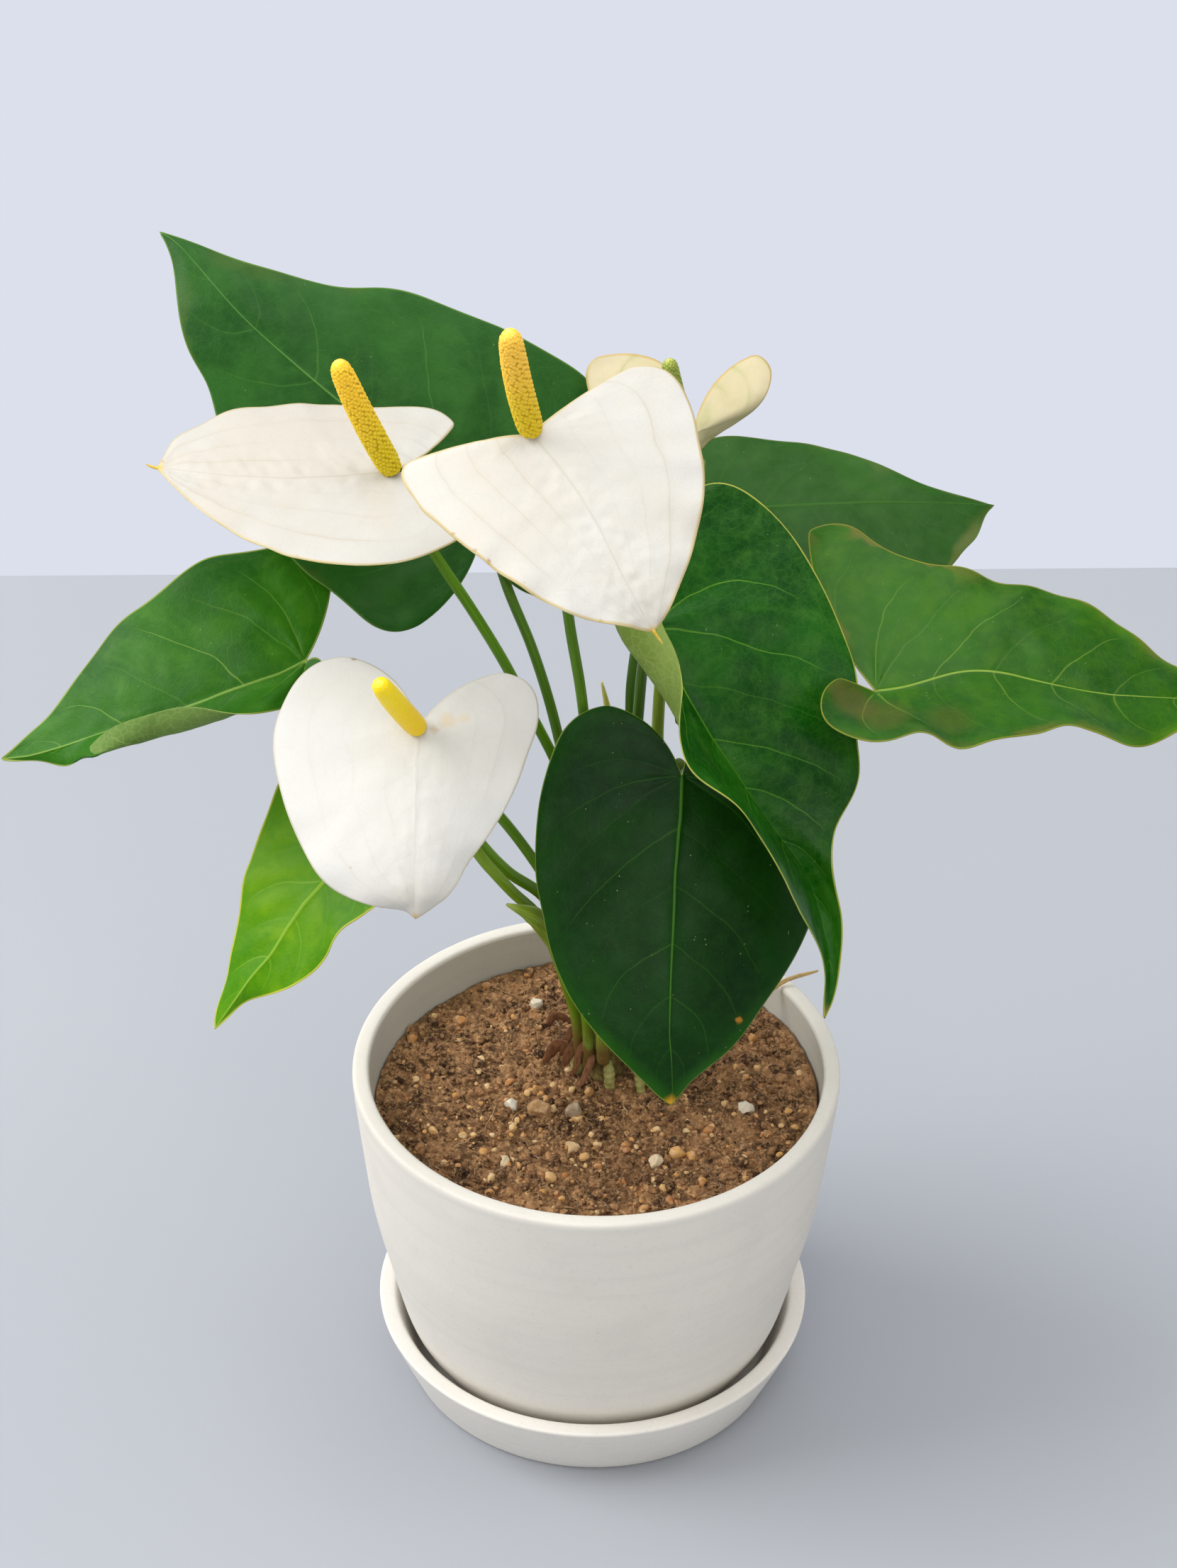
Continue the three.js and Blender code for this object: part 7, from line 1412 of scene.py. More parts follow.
def spathe_material(name, white, warm, vein, rim, vein_k=0.2, rim_mm=1.1, rim_k=0.5, green=None, marks=(), through_share=0.22, tip=None, grey=None):
    N = Nodes(name)
    p = vein_parts(N, 0.34, 0.95)
    c = N.mix(N.step(N.noise(20.0, 3.0, 0.55), 0.35, 0.7), white, warm)
    c = N.mix(N.mul(N.step(N.noise(150.0, 3.0, 0.6), 0.45, 0.8), 0.25), c, warm)
    warp = N.warped(0.003, 140.0)
    net = N.cells(260.0, at=warp)
    line = N.step(net.outputs["Distance"], 0.015, 0.07, 1.0, 0.0)
    c = N.mix(N.mul(line, 0.035), c, vein)
    lines, near = long_veins(N)
    c = N.mix(N.mul(lines, vein_k), c, vein)
    c = N.mix(N.mul(near, vein_k * 0.3), c, vein)
    c = N.mix(N.mul(p["side"], vein_k * 0.25), c, vein)
    rib_w = N.step(p["mu"], 0.0, 1.0, 0.7, 0.3)
    c = N.mix(N.mul(N.step(N.math("DIVIDE", p["di"], rib_w), 0.5, 1.4, 1.0, 0.0), vein_k * 0.9), c, vein)
    if green:
        # Old spathes turn green from the foot and along the veins.
        g = N.math("MAXIMUM", N.mul(N.step(p["di"], 2.0, 18.0, 1.0, 0.0), 0.7), N.mul(near, 0.6))
        g = N.mul(g, N.step(N.noise(60.0, 3.0, 0.6), 0.25, 0.7))
        c = N.mix(g, c, green)
    if grey:
        # Painted shade: greyer towards the tip.
        c = N.mix(N.mul(N.step(p["mu"], 0.62, 0.92), 0.45), c, grey)
    for at, radius, colour, amount in marks:
        dd = N.away(at, N.warped(0.0024, 320.0))
        c = N.mix(N.mul(N.step(dd, radius * 0.3, radius, 1.0, 0.0), amount), c, colour)
    if tip:
        c = N.mix(N.step(p["mu"], 0.95, 0.995), c, tip)
    w = N.add(rim_mm, N.mul(N.sub(N.noise(55.0, 2.0), 0.5), rim_mm * 1.3))
    k = N.step(N.math("DIVIDE", p["dm"], w), 0.5, 1.25, 1.0, 0.0)
    c = N.mix(N.mul(k, rim_k), c, rim)
    # Scattered brown pin-pricks close to the margin.
    dots = N.cells(240.0, "F1")
    dot = N.step(dots.outputs["Distance"], 0.035, 0.10, 1.0, 0.0)
    pick = N.mul(N.step(N.noise(75.0, 1.0), 0.60, 0.66), N.step(p["dm"], 1.0, 7.0, 1.0, 0.12))
    c = N.mix(N.mul(N.mul(dot, pick), 0.5), c, srgb(150, 112, 66))
    h = N.add(N.mul(N.noise(520.0, 3.0, 0.6), 0.5), N.mul(N.noise(140.0, 2.0), 0.9))
    h = N.add(h, N.mul(line, -0.2))
    h = N.add(h, N.mul(near, 0.55))
    nrm = N.bump(h, 0.18, 0.55)
    rough = N.add(0.44, N.mul(N.sub(N.noise(110.0, 3.0), 0.5), 0.16))
    s = N.shade(c, rough, nrm, Specular_IOR_Level=0.25)
    N.translucent(s, N.mix(0.5, c, srgb(230, 226, 204)), through_share, nrm)
    return N


# ---------------------------------------------------------------- blades
FAN, ROWS_PER = 12, 4        # rows that fan out from the stalk in each half net, and fine rows to each net row


def blade_piece(name, net, front, back, edge, thick=0.6, side_veins=8, base_veins=3, ridge=0.42, ridge_w=0.9, groove=0.10,
                quilt=0.45, wave=(0.5, 5.0), sweep=0.55, keel=0.9, slot=None, seed=1, crumple=0.25, soften=3.0, pucker=0.0):
    T = np.linspace(0, 1, 25)
    T = 0.55 * T ** 1.7 + 0.45 * T
    T = np.r_[0, 0.006, 0.014, T[1:-1][T[1:-1] > 0.02], 0.982, 1.0]
    ncol = len(T)
    up = Vector(net["normal"])
    S, vv, uu = [], None, None
    for half in ("left", "right"):
        a = np.array(net[half], float)
        I, M, O = a[:, 0], a[:, 1], a[:, 2]
        for _ in range(2):
            O[1:-1] = 0.16 * O[:-2] + 0.68 * O[1:-1] + 0.16 * O[2:]
            M[1:-1] = 0.16 * M[:-2] + 0.68 * M[1:-1] + 0.16 * M[2:]
        Od, Md = spline_rows(O, ROWS_PER), spline_rows(M, ROWS_PER)
        Id = np.vstack([np.repeat(I[:1], FAN * ROWS_PER, 0), spline_rows(I[FAN:], ROWS_PER)])
        # Rounds the outline's small corners.
        for _ in range(4):
            Od[1:-1] = 0.25 * Od[:-2] + 0.5 * Od[1:-1] + 0.25 * Od[2:]
        c = 2 * Md - 0.5 * (Id + Od)
        t = T[None, :, None]
        S.append((1 - t) ** 2 * Id[:, None] + 2 * t * (1 - t) * c[:, None] + t ** 2 * Od[:, None])
    rows = S[0].shape[0]
    last = rows - 1
    k0 = FAN * ROWS_PER
    r = np.arange(rows)
    v = np.where(r <= k0, (r - k0) / k0 * base_veins, (r - k0) / (last - k0) * side_veins)
    mu = np.clip((r - k0) / (last - k0), 0, 1)
    pts, att = [], {k: [] for k in ("va", "vs", "dm", "di", "mu", "tt", "sd", "rl")}

    def put(P, **values):
        pts.append(np.asarray(P, float))
        for k in att:
            att[k].append(values[k])
        return len(pts) - 1

    J = S[0][0, 0]
    jid = put(J, va=0.5, vs=60.0, dm=0.6, di=0.0, mu=0.0, tt=0.0, sd=0.0, rl=40.0)
    tid = put(S[0][last, 0], va=side_veins + 0.5, vs=60.0, dm=0.0, di=0.0, mu=1.0, tt=0.5, sd=0.0, rl=1.0)
    ids = []
    shared = {}
    for s in (0, 1):
        P = S[s]
        loop = np.vstack([P[0], P[1:, -1]])
        sl = np.r_[0, np.cumsum(np.linalg.norm(np.diff(loop, axis=0), axis=1))]
        corner = sl[ncol - 1]
        even = np.linspace(0, sl[-1], 700)
        fine = np.stack([np.interp(even, sl, loop[:, k]) for k in range(3)], -1)
        D = np.zeros_like(loop)
        for q in range(1, len(loop) - 1):
            if abs(sl[q] - corner) < 3.0 * soften:
                g = np.exp(-((even - sl[q]) / soften) ** 2)
                keep = np.clip(1.5 - abs(sl[q] - corner) / (2.0 * soften), 0, 1)
                D[q] = ((fine * g[:, None]).sum(0) / g.sum() - loop[q]) * keep
        Dr, Dc = D[:ncol], np.vstack([D[ncol - 1:ncol], D[ncol:]])
        away = np.concatenate([np.zeros((1, ncol)), np.cumsum(np.linalg.norm(np.diff(P, axis=0), axis=2), 0)], 0)
        wr = np.exp(-away / 4.0)[:, :, None]
        wt = (T ** 5)[None, :, None]
        P = P + np.where(away[:, :, None] < 1e-9, Dr[None], 0) + np.where(away[:, :, None] >= 1e-9, Dr[None] * wr * (1 - wt) + Dc[:, None] * wt, 0)
        S[s] = P
        seg = np.linalg.norm(np.diff(P, axis=1), axis=2)
        di = np.concatenate([np.zeros((rows, 1)), np.cumsum(seg, 1)], 1)
        rest = di[:, -1:] - di
        cr = np.linalg.norm(np.diff(P, axis=0), axis=2)
        across = np.concatenate([np.zeros((1, ncol)), np.cumsum(cr, 0)], 0)
        dm = np.minimum(rest, across + 0.02)
        dv = np.abs(np.diff(v))
        step = np.vstack([cr[:1], 0.5 * (cr[1:] + cr[:-1]), cr[-1:]])
        dvr = np.r_[dv[:1], 0.5 * (dv[1:] + dv[:-1]), dv[-1:]]
        vs = step / np.maximum(dvr[:, None], 1e-6)
        va = v[:, None] - sweep * T[None] ** 2
        idx = np.zeros((rows, ncol), int)
        for i in range(rows):
            for j in range(ncol):
                if i == last:
                    idx[i, j] = tid
                elif j == 0 and i <= k0:
                    idx[i, j] = jid
                elif j == 0 and s == 1:
                    idx[i, j] = shared[i]
                else:
                    n = put(P[i, j], va=va[i, j], vs=vs[i, j], dm=dm[i, j], di=di[i, j], mu=mu[i], tt=T[j], sd=1.0 - 2.0 * s, rl=di[i, -1])
                    idx[i, j] = n
                    if j == 0:
                        shared[i] = n
        ids.append(idx)
    P = np.array(pts)
    A = {k: np.array(x, float) for k, x in att.items()}
    faces = []
    for s in (0, 1):
        g = ids[s]
        for i in range(last):
            for j in range(ncol - 1):
                q = []
                for n in (g[i, j], g[i, j + 1], g[i + 1, j + 1], g[i + 1, j]):
                    if n not in q:
                        q.append(int(n))
                if len(q) > 2:
                    faces.append(tuple(q if s == 0 else q[::-1]))

    def normals(P):
        n = np.zeros_like(P)
        for f in faces:
            a, b, c = P[f[0]], P[f[1]], P[f[2]]
            m = np.cross(b - a, c - a)
            if len(f) == 4:
                m = m + np.cross(c - a, P[f[3]] - a)
            for i in f:
                n[i] += m
        return n / np.maximum(np.linalg.norm(n, axis=1), 1e-9)[:, None]

    n0 = normals(P)
    if (n0.mean(0) @ np.array(up)) < 0:
        faces = [f[::-1] for f in faces]
        n0 = -n0
    # Relief of the sheet itself: puffed tissue between the veins, a soft wave at the margin and slight crumpling.
    far = np.abs((A["va"] + 0.5) % 1.0 - 0.5)
    bulge = 0.5 - 0.5 * np.cos(2 * math.pi * far)
    env = np.clip(A["di"] / 9.0, 0, 1) * np.clip(A["dm"] / 7.0, 0, 1)
    lift = quilt * bulge * env
    amp, freq = wave
    where = np.array([noise.noise(Vector(p * 0.028) + Vector((seed * 3.1, 0.7, 1.3))) for p in P])
    small = np.array([noise.noise(Vector(p * 0.11) + Vector((seed * 1.7, 4.1, 2.3))) for p in P])
    lift += amp * A["tt"] ** 4 * np.sin(2 * math.pi * freq * A["mu"] + seed) * np.clip(A["mu"] * 6, 0, 1)
    lift += crumple * (1.6 * where + 0.7 * small) * np.clip(A["dm"] / 5.0, 0.25, 1) * np.clip(A["di"] / 4.0, 0, 1)
    if pucker:
        fold = np.array([noise.noise(Vector(p * 0.24) + Vector((seed * 2.7, 1.1, 5.3))) for p in P])
        lift += pucker * fold * np.exp(-A["di"] / 16.0) * np.clip(A["di"] / 3.0, 0, 1)
    P = P + n0 * lift[:, None]
    n0 = normals(P)
    half = 0.5 * thick * (1.0 - 0.45 * np.exp(-A["dm"] / 1.2))
    live = (A["mu"] > 0) | (A["di"] < 1.5)
    taper = 1.0 - 0.75 * A["mu"]
    rib = np.where(live, np.exp(-(A["di"] / (ridge_w * (1 - 0.5 * A["mu"]))) ** 2), 0.0) * taper
    dist = far * A["vs"]
    vein = np.exp(-(dist / 0.75) ** 2) * np.clip(1.1 - A["tt"], 0, 1) * np.clip(A["dm"] / 5.0, 0, 1) * np.clip(A["di"] / 1.5, 0, 1)
    top = P + n0 * (half + ridge * rib - groove * vein)[:, None]
    low = P - n0 * (half + keel * rib + 2.2 * groove * vein)[:, None]
    V = np.vstack([top, low])
    n = len(P)
    count = {}
    for f in faces:
        for i in range(len(f)):
            a, b = f[i], f[(i + 1) % len(f)]
            count[(a, b)] = count.get((a, b), 0) + 1
    open_edges = [e for e in count if (e[1], e[0]) not in count]
    allf = list(faces) + [tuple(i + n for i in f[::-1]) for f in faces] + [(b, a, a + n, b + n) for a, b in open_edges]
    mats = np.r_[np.zeros(len(faces)), np.ones(len(faces)), np.full(len(open_edges), 2)]
    both = {k: np.r_[x, x] for k, x in A.items()}
    return mesh_piece(name, V, allf, [front, back, edge], mats, both, node=name.replace("_blade", ""))


# Deep, satin leaves; colours are the lit surface colours of healthy tissue, except the glow colours, which are painted
# light towards the margin.
LIME = srgb(176, 190, 70)
FRESH = srgb(118, 158, 42)
LEAVES = {
    "leaf_back_left": dict(
        m=dict(dark=srgb(20, 70, 14), mid=srgb(34, 88, 22), light=srgb(56, 108, 38), vein=srgb(92, 140, 58), rim=srgb(90, 126, 46), gloss=0.42, vein_k=0.26, tint=0.3, rib_k=0.6, rim_mm=0.5, blush=(srgb(70, 96, 30), 0.4)),
        b=dict(thick=0.6, side_veins=6, base_veins=2, quilt=0.30, wave=(0.5, 3.0), seed=1, crumple=0.55, sweep=1.0)),
    "leaf_left": dict(
        m=dict(dark=srgb(22, 82, 0), mid=srgb(40, 100, 6), light=srgb(66, 122, 24), vein=srgb(124, 162, 64), rim=srgb(140, 156, 66), gloss=0.40, vein_k=0.5, tint=0.5, rim_mm=0.6),
        b=dict(thick=0.6, side_veins=5, base_veins=2, quilt=0.35, wave=(0.6, 3.0), seed=2, crumple=0.6, sweep=0.9)),
    "leaf_lower_left": dict(
        m=dict(dark=srgb(74, 142, 0), mid=srgb(98, 160, 0), light=srgb(134, 182, 10), vein=srgb(156, 198, 66), rim=srgb(214, 214, 80), gloss=0.40, vein_k=0.45, tint=0.55, through=(150, 206, 0), through_share=0.24, rim_mm=0.7, specks=0.1),
        b=dict(thick=0.5, side_veins=5, base_veins=2, quilt=0.3, wave=(0.5, 3.0), seed=3, crumple=0.4, sweep=1.0)),
    "leaf_back_right": dict(
        m=dict(dark=srgb(24, 72, 6), mid=srgb(36, 86, 14), light=srgb(56, 100, 30), vein=srgb(56, 102, 30), rim=srgb(86, 108, 42), gloss=0.44, vein_k=0.2, tint=0.25, rim_mm=0.5, blush=(srgb(104, 112, 56), 0.6)),
        b=dict(thick=0.6, side_veins=6, base_veins=2, quilt=0.25, wave=(0.6, 3.0), seed=4, crumple=0.5, sweep=1.0)),
    "leaf_centre_right": dict(
        m=dict(dark=srgb(0, 62, 0), mid=srgb(14, 88, 0), light=srgb(72, 128, 40), vein=srgb(108, 158, 48), rim=srgb(176, 180, 78), gloss=0.34, vein_k=0.52, tint=0.30, rim_mm=0.55, rib_k=0.8, painted_edge_glow=(srgb(56, 118, 16), 0.35), tip=srgb(150, 128, 52)),
        b=dict(thick=0.65, side_veins=7, base_veins=2, quilt=0.55, wave=(0.6, 4.0), seed=5, crumple=0.55, sweep=0.8)),
    "leaf_right": dict(
        m=dict(dark=srgb(18, 72, 0), mid=srgb(38, 94, 0), light=srgb(72, 116, 4), vein=srgb(140, 168, 66), rim=srgb(128, 134, 40), gloss=0.36, vein_k=0.32, tint=0.3, rim_mm=0.6, rib_k=0.7, painted_edge_glow=(srgb(86, 134, 6), 0.5), blush=(srgb(110, 104, 40), 0.7), marks=(((93.6, -18.5, 346.1), 13.0, srgb(104, 88, 44), 0.42), ((106.0, -25.0, 344.2), 14.0, srgb(98, 92, 34), 0.36), ((86.5, -15.7, 352.7), 8.0, srgb(100, 94, 46), 0.4), ((129.9, -27.4, 344.3), 12.0, srgb(92, 96, 26), 0.28))),
        b=dict(thick=0.6, side_veins=6, base_veins=2, quilt=0.35, wave=(0.9, 5.0), seed=6, crumple=0.6, sweep=0.9)),
    "leaf_front": dict(
        m=dict(dark=srgb(0, 40, 0), mid=srgb(8, 58, 2), light=srgb(28, 78, 16), vein=srgb(74, 128, 34), rim=srgb(112, 136, 44), gloss=0.38, vein_k=0.22, tint=0.22, rim_mm=0.4, rib_k=0.55, painted_edge_glow=(srgb(40, 104, 2), 0.5), tip=srgb(210, 150, 40), specks=0.6, through_share=0.05,
               marks=(((54.8, -70.7, 233.9), 2.0, srgb(190, 128, 40), 0.8),)),
        b=dict(thick=0.7, side_veins=6, base_veins=3, quilt=0.22, wave=(0.5, 3.0), seed=7, crumple=0.4, sweep=1.0)),
}
for node, spec in LEAVES.items():
    front = leaf_material(node + "_top", **spec["m"])
    if node == "leaf_lower_left":
        back = leaf_back_material(node + "_under", srgb(138, 176, 62), srgb(166, 194, 92), srgb(188, 206, 120))
    elif node == "leaf_front":
        back = leaf_back_material(node + "_under", srgb(62, 92, 38), srgb(86, 112, 54), srgb(116, 140, 66))
    elif node == "leaf_left":
        back = leaf_back_material(node + "_under", srgb(84, 116, 46), srgb(108, 138, 66), srgb(132, 158, 84))
    else:
        back = leaf_back_material(node + "_under", srgb(118, 144, 58), srgb(140, 164, 80), srgb(160, 178, 98))
    edge = rim_material(node + "_edge", spec["m"]["rim"], srgb(120, 138, 48))
    slot = {"leaf_lower_left": "leaf_young", "leaf_left": "leaf_mid", "leaf_right": "leaf_mid"}.get(node, "leaf_dark")
    blade_piece(node + "_blade", NETS[node], front, back, edge, slot=slot, **spec["b"])

WARM = srgb(240, 234, 214)
CREAM = srgb(232, 220, 176)
TAN = srgb(196, 160, 104)
BROWN = srgb(140, 98, 54)
SPATHES = {
    "spathe_left": dict(
        m=dict(white=srgb(208, 207, 203), warm=srgb(206, 201, 192), vein=srgb(186, 172, 148), rim=srgb(206, 186, 120), rim_mm=0.9, rim_k=0.6, vein_k=0.34, tip=srgb(222, 196, 96), marks=(((-166.2, 19.2, 421.1), 1.6, srgb(196, 160, 84), 0.6), ((-110.2, -42.7, 419.2), 1.0, srgb(190, 160, 110), 0.5), ((-125.8, -35.4, 419.6), 0.9, srgb(190, 160, 110), 0.5))),
        b=dict(thick=0.8, side_veins=5, base_veins=4, quilt=0.0, pucker=0.75, wave=(0.5, 3.0), seed=11, crumple=0.6, ridge=0.12, keel=0.6, groove=-0.03)),
    "spathe_right": dict(
        m=dict(white=srgb(217, 216, 213), warm=srgb(215, 211, 202), vein=srgb(190, 180, 158), rim=srgb(204, 180, 104), rim_mm=1.1, rim_k=0.7, vein_k=0.32, tip=srgb(206, 176, 92), marks=(((-44.6, -77.9, 444.7), 1.5, srgb(160, 118, 66), 0.7), ((-39.2, -81.4, 442.7), 1.3, srgb(150, 108, 60), 0.7), ((-0.0, -95.0, 427.6), 1.4, srgb(160, 118, 66), 0.7), ((-52.4, -71.7, 447.6), 1.1, srgb(170, 126, 74), 0.6), ((-23.6, -90.7, 435.4), 1.0, srgb(176, 136, 84), 0.6))),
        b=dict(thick=0.8, side_veins=6, base_veins=4, quilt=0.0, pucker=0.6, wave=(0.7, 4.0), seed=12, crumple=0.5, ridge=0.15, keel=0.6, groove=-0.04)),
    "spathe_lower": dict(
        # The grey towards the tip is painted shade.
        m=dict(white=srgb(222, 222, 220), warm=srgb(220, 218, 213), vein=srgb(196, 192, 182), rim=srgb(206, 196, 166), rim_mm=0.8, rim_k=0.45, vein_k=0.20, tip=srgb(206, 178, 124), grey=srgb(208, 202, 190), marks=(((-55.5, -60.5, 361.4), 4.6, srgb(222, 200, 160), 0.5), ((-60.4, -63.4, 359.2), 2.6, srgb(206, 176, 128), 0.5), ((-49.6, -59.5, 362.0), 3.0, srgb(226, 206, 168), 0.45), ((-91.0, -37.5, 372.6), 1.7, srgb(150, 110, 66), 0.75), ((-94.6, -36.2, 372.7), 1.1, srgb(170, 130, 84), 0.6), ((-71.7, -105.7, 331.1), 0.8, srgb(170, 140, 100), 0.6), ((-88.1, -105.6, 326.9), 0.8, srgb(170, 140, 100), 0.6))),
        b=dict(thick=0.8, side_veins=5, base_veins=4, quilt=0.0, pucker=0.35, wave=(0.5, 3.0), seed=13, crumple=0.45, ridge=0.10, keel=0.6, groove=-0.05)),
    "spathe_rear": dict(
        m=dict(white=srgb(212, 201, 168), warm=srgb(204, 193, 150), vein=srgb(164, 162, 100), rim=srgb(196, 164, 92), rim_mm=1.0, rim_k=0.7, vein_k=0.45, green=srgb(168, 178, 96), tip=srgb(186, 160, 90)),
        b=dict(thick=0.7, side_veins=5, base_veins=4, quilt=0.0, pucker=1.2, wave=(0.7, 3.0), seed=14, crumple=0.6, ridge=0.15, keel=0.6, groove=-0.06)),
}
for node, spec in SPATHES.items():
    front = spathe_material(node + "_front", **spec["m"])
    under = dict(spec["m"])
    under.pop("marks", None)
    under.update(vein_k=0.35, white=srgb(216, 215, 202), warm=srgb(208, 208, 186), through_share=0.38)
    back = spathe_material(node + "_under", **under)
    edge = rim_material(node + "_edge", spec["m"]["rim"], srgb(238, 232, 210))
    blade_piece(node + "_blade", NETS[node], front, back, edge, slot="spathe_old" if node == "spathe_rear" else "spathe_white", **spec["b"])


def spathe_tail(node, first, bend, radius):
    """The spathe's drawn-out tip."""
    net = NETS[node]
    tip, back = np.array(net["left"][-1][0], float), np.array(net["left"][-3][0], float)
    d = (tip - back) / np.linalg.norm(tip - back)
    b = np.array(bend, float)
    P = [tip - d * 2.2, tip + d * 0.4, tip + d * (0.45 * first) + b * 0.2, tip + d * first + b]
    V, F, frac, ang, L = tube(P, lambda f, L: float(np.interp(f, [0, 0.25, 0.7, 1], [0.35 * radius, radius, 0.75 * radius, 0.25 * radius])), rings=24, sides=12)
    N = Nodes(node + "_tail")
    N.shade(N.mix(N.step(N.noise(300.0, 2.0), 0.35, 0.65), srgb(196, 164, 40), srgb(214, 182, 78)), 0.5, None, Specular_IOR_Level=0.3)
    mesh_piece(node + "_tail", V, F, [N.m], None, {"along": frac, "turn": ang}, node=node)


spathe_tail("spathe_left", 4.6, (0.0, 0.0, 1.0), 0.62)
spathe_tail("spathe_right", 4.4, (0.6, 0.0, -0.4), 0.62)


# ---------------------------------------------------------------- stalks
def stem_material(name, base, second, pale, brown=0.15, gloss=0.36):
    N = Nodes(name)
    f, g = N.attr("along"), N.attr("turn")
    streak = N.new("ShaderNodeCombineXYZ")
    N.put(streak.inputs[0], N.mul(g, 26.0))
    N.put(streak.inputs[1], N.mul(f, 7.0))
    lines = N.noise(1.0, 3.0, 0.6, at=streak.outputs[0])
    c = N.mix(N.step(lines, 0.35, 0.68), base, second)
    c = N.mix(N.mul(N.step(N.noise(60.0, 2.0), 0.4, 0.7), 0.35), c, second)
    c = N.mix(N.step(f, 0.0, 0.14, 0.75, 0.0), c, pale)
    c = N.mix(N.step(f, 0.955, 0.99, 0.0, 0.55), c, pale)
    husk = N.mul(N.step(f, 0.04, 0.13, 1.0, 0.0), N.step(N.noise(75.0, 3.0, 0.6), 0.30, 0.46))
    c = N.mix(N.mul(husk, 0.85), c, srgb(104, 66, 38))
    dots = N.cells(900.0, "F1")
    c = N.mix(N.mul(N.step(dots.outputs["Distance"], 0.06, 0.16, 1.0, 0.0), 0.35), c, pale)
    scar = N.mul(N.step(N.noise(120.0, 3.0, 0.65), 0.66, 0.74), brown)
    c = N.mix(scar, c, srgb(120, 96, 48))
    nrm = N.bump(N.add(lines, N.noise(900.0, 2.0)), 0.12, 0.45)
    s = N.shade(c, gloss, nrm, Specular_IOR_Level=0.22)
    return N


STEM_LOOK = {
    "petiole_back_left": (srgb(62, 100, 16), srgb(84, 122, 30)),
    "petiole_left": (srgb(82, 126, 12), srgb(110, 150, 32)),
    "petiole_lower_left": (srgb(96, 132, 16), srgb(126, 154, 36)),
    "petiole_back_right": (srgb(48, 84, 14), srgb(70, 106, 26)),
    "petiole_centre_right": (srgb(60, 96, 16), srgb(84, 122, 30)),
    "petiole_right": (srgb(62, 100, 16), srgb(84, 124, 30)),
    "petiole_front": (srgb(62, 100, 18), srgb(86, 126, 32)),
    "peduncle_left": (srgb(68, 114, 2), srgb(96, 140, 18)),
    "peduncle_right": (srgb(68, 112, 4), srgb(96, 138, 20)),
    "peduncle_lower": (srgb(82, 126, 4), srgb(110, 150, 20)),
    "peduncle_rear": (srgb(104, 132, 26), srgb(146, 164, 62)),
}
PALE_FOOT = srgb(142, 156, 78)
for node, (rad, path) in STALKS.items():
    if node in ("new_leaf_sheath", "new_shoot"):
        continue
    P = np.array(path, float)
    leafy = node.startswith("petiole")
    end = P[-1] + (P[-1] - P[-2]) / np.linalg.norm(P[-1] - P[-2]) * 1.3
    P = np.vstack([P, end])

    def radius(f, L, rad=rad, leafy=leafy):
        s, e = f * L, (1 - f) * L
        r = rad * (0.96 + 0.12 * math.exp(-s / 9.0) + 0.08 * math.exp(-s / 40.0))
        if leafy:                       # the joint below the blade is a little thicker
            r *= 1.0 + 0.20 * math.exp(-((e - 9.0) / 6.5) ** 2)
        else:
            r *= 1.0 + 0.12 * math.exp(-e / 5.0)
        return r

    def shape(f, a, L, rad=rad, leafy=leafy):
        g = 0.0
        if leafy:                       # a shallow channel runs down the upper side
            g = -0.22 * np.exp(-((np.cos(a) - 1) / 0.25) ** 2) * (1 - math.exp(-f * L / 20.0))
        return g + 0.05 * np.sin(3 * a + 9 * f) + 0.04 * np.sin(5 * a - 23 * f)

    V, F, frac, ang, L = tube(P, radius, rings=max(60, int(np.linalg.norm(np.diff(P, axis=0), axis=1).sum() / 1.8)), sides=20, shape=shape)
    base, second = STEM_LOOK[node]
    mat = stem_material(node + "_skin", base, second, PALE_FOOT)
    mesh_piece(node + "_stalk", V, F, [mat], None, {"along": frac, "turn": ang}, node=node)

# The new leaf, still rolled in its sheath.
rad, path = STALKS["new_leaf_sheath"]


def sheath_radius(f, L):
    return float(np.interp(f, np.linspace(0, 1, len(rad)), rad))


def roll(f, a, L):
    turn = a - 5.0 * f
    return 0.55 * np.clip(np.interp(f, [0.3, 0.55, 0.9, 1.0], [0, 1, 0.8, 0.1]), 0, 1) * (((turn / (2 * math.pi)) % 1.0) - 0.5)


V, F, frac, ang, L = tube(path, sheath_radius, rings=90, sides=32, shape=roll, flat=lambda f: 0.86)
mat = stem_material("sheath_skin", srgb(92, 124, 22), srgb(136, 158, 48), srgb(176, 184, 96))
mesh_piece("new_leaf_sheath_roll", V, F, [mat], None, {"along": frac, "turn": ang}, node="new_leaf_sheath")
rad2, path2 = STALKS["new_shoot"]
V, F, frac, ang, L = tube(path2, lambda f, L: float(np.interp(f, np.linspace(0, 1, len(rad2)), rad2)), rings=90, sides=18,
                          shape=lambda f, a, L: 0.12 * np.sin(a + 6 * f))
mat = stem_material("shoot_skin", srgb(198, 198, 78), srgb(224, 214, 120), srgb(228, 220, 150), brown=0.0)
mesh_piece("new_shoot_tip", V, F, [mat], None, {"along": frac, "turn": ang}, node="new_shoot")


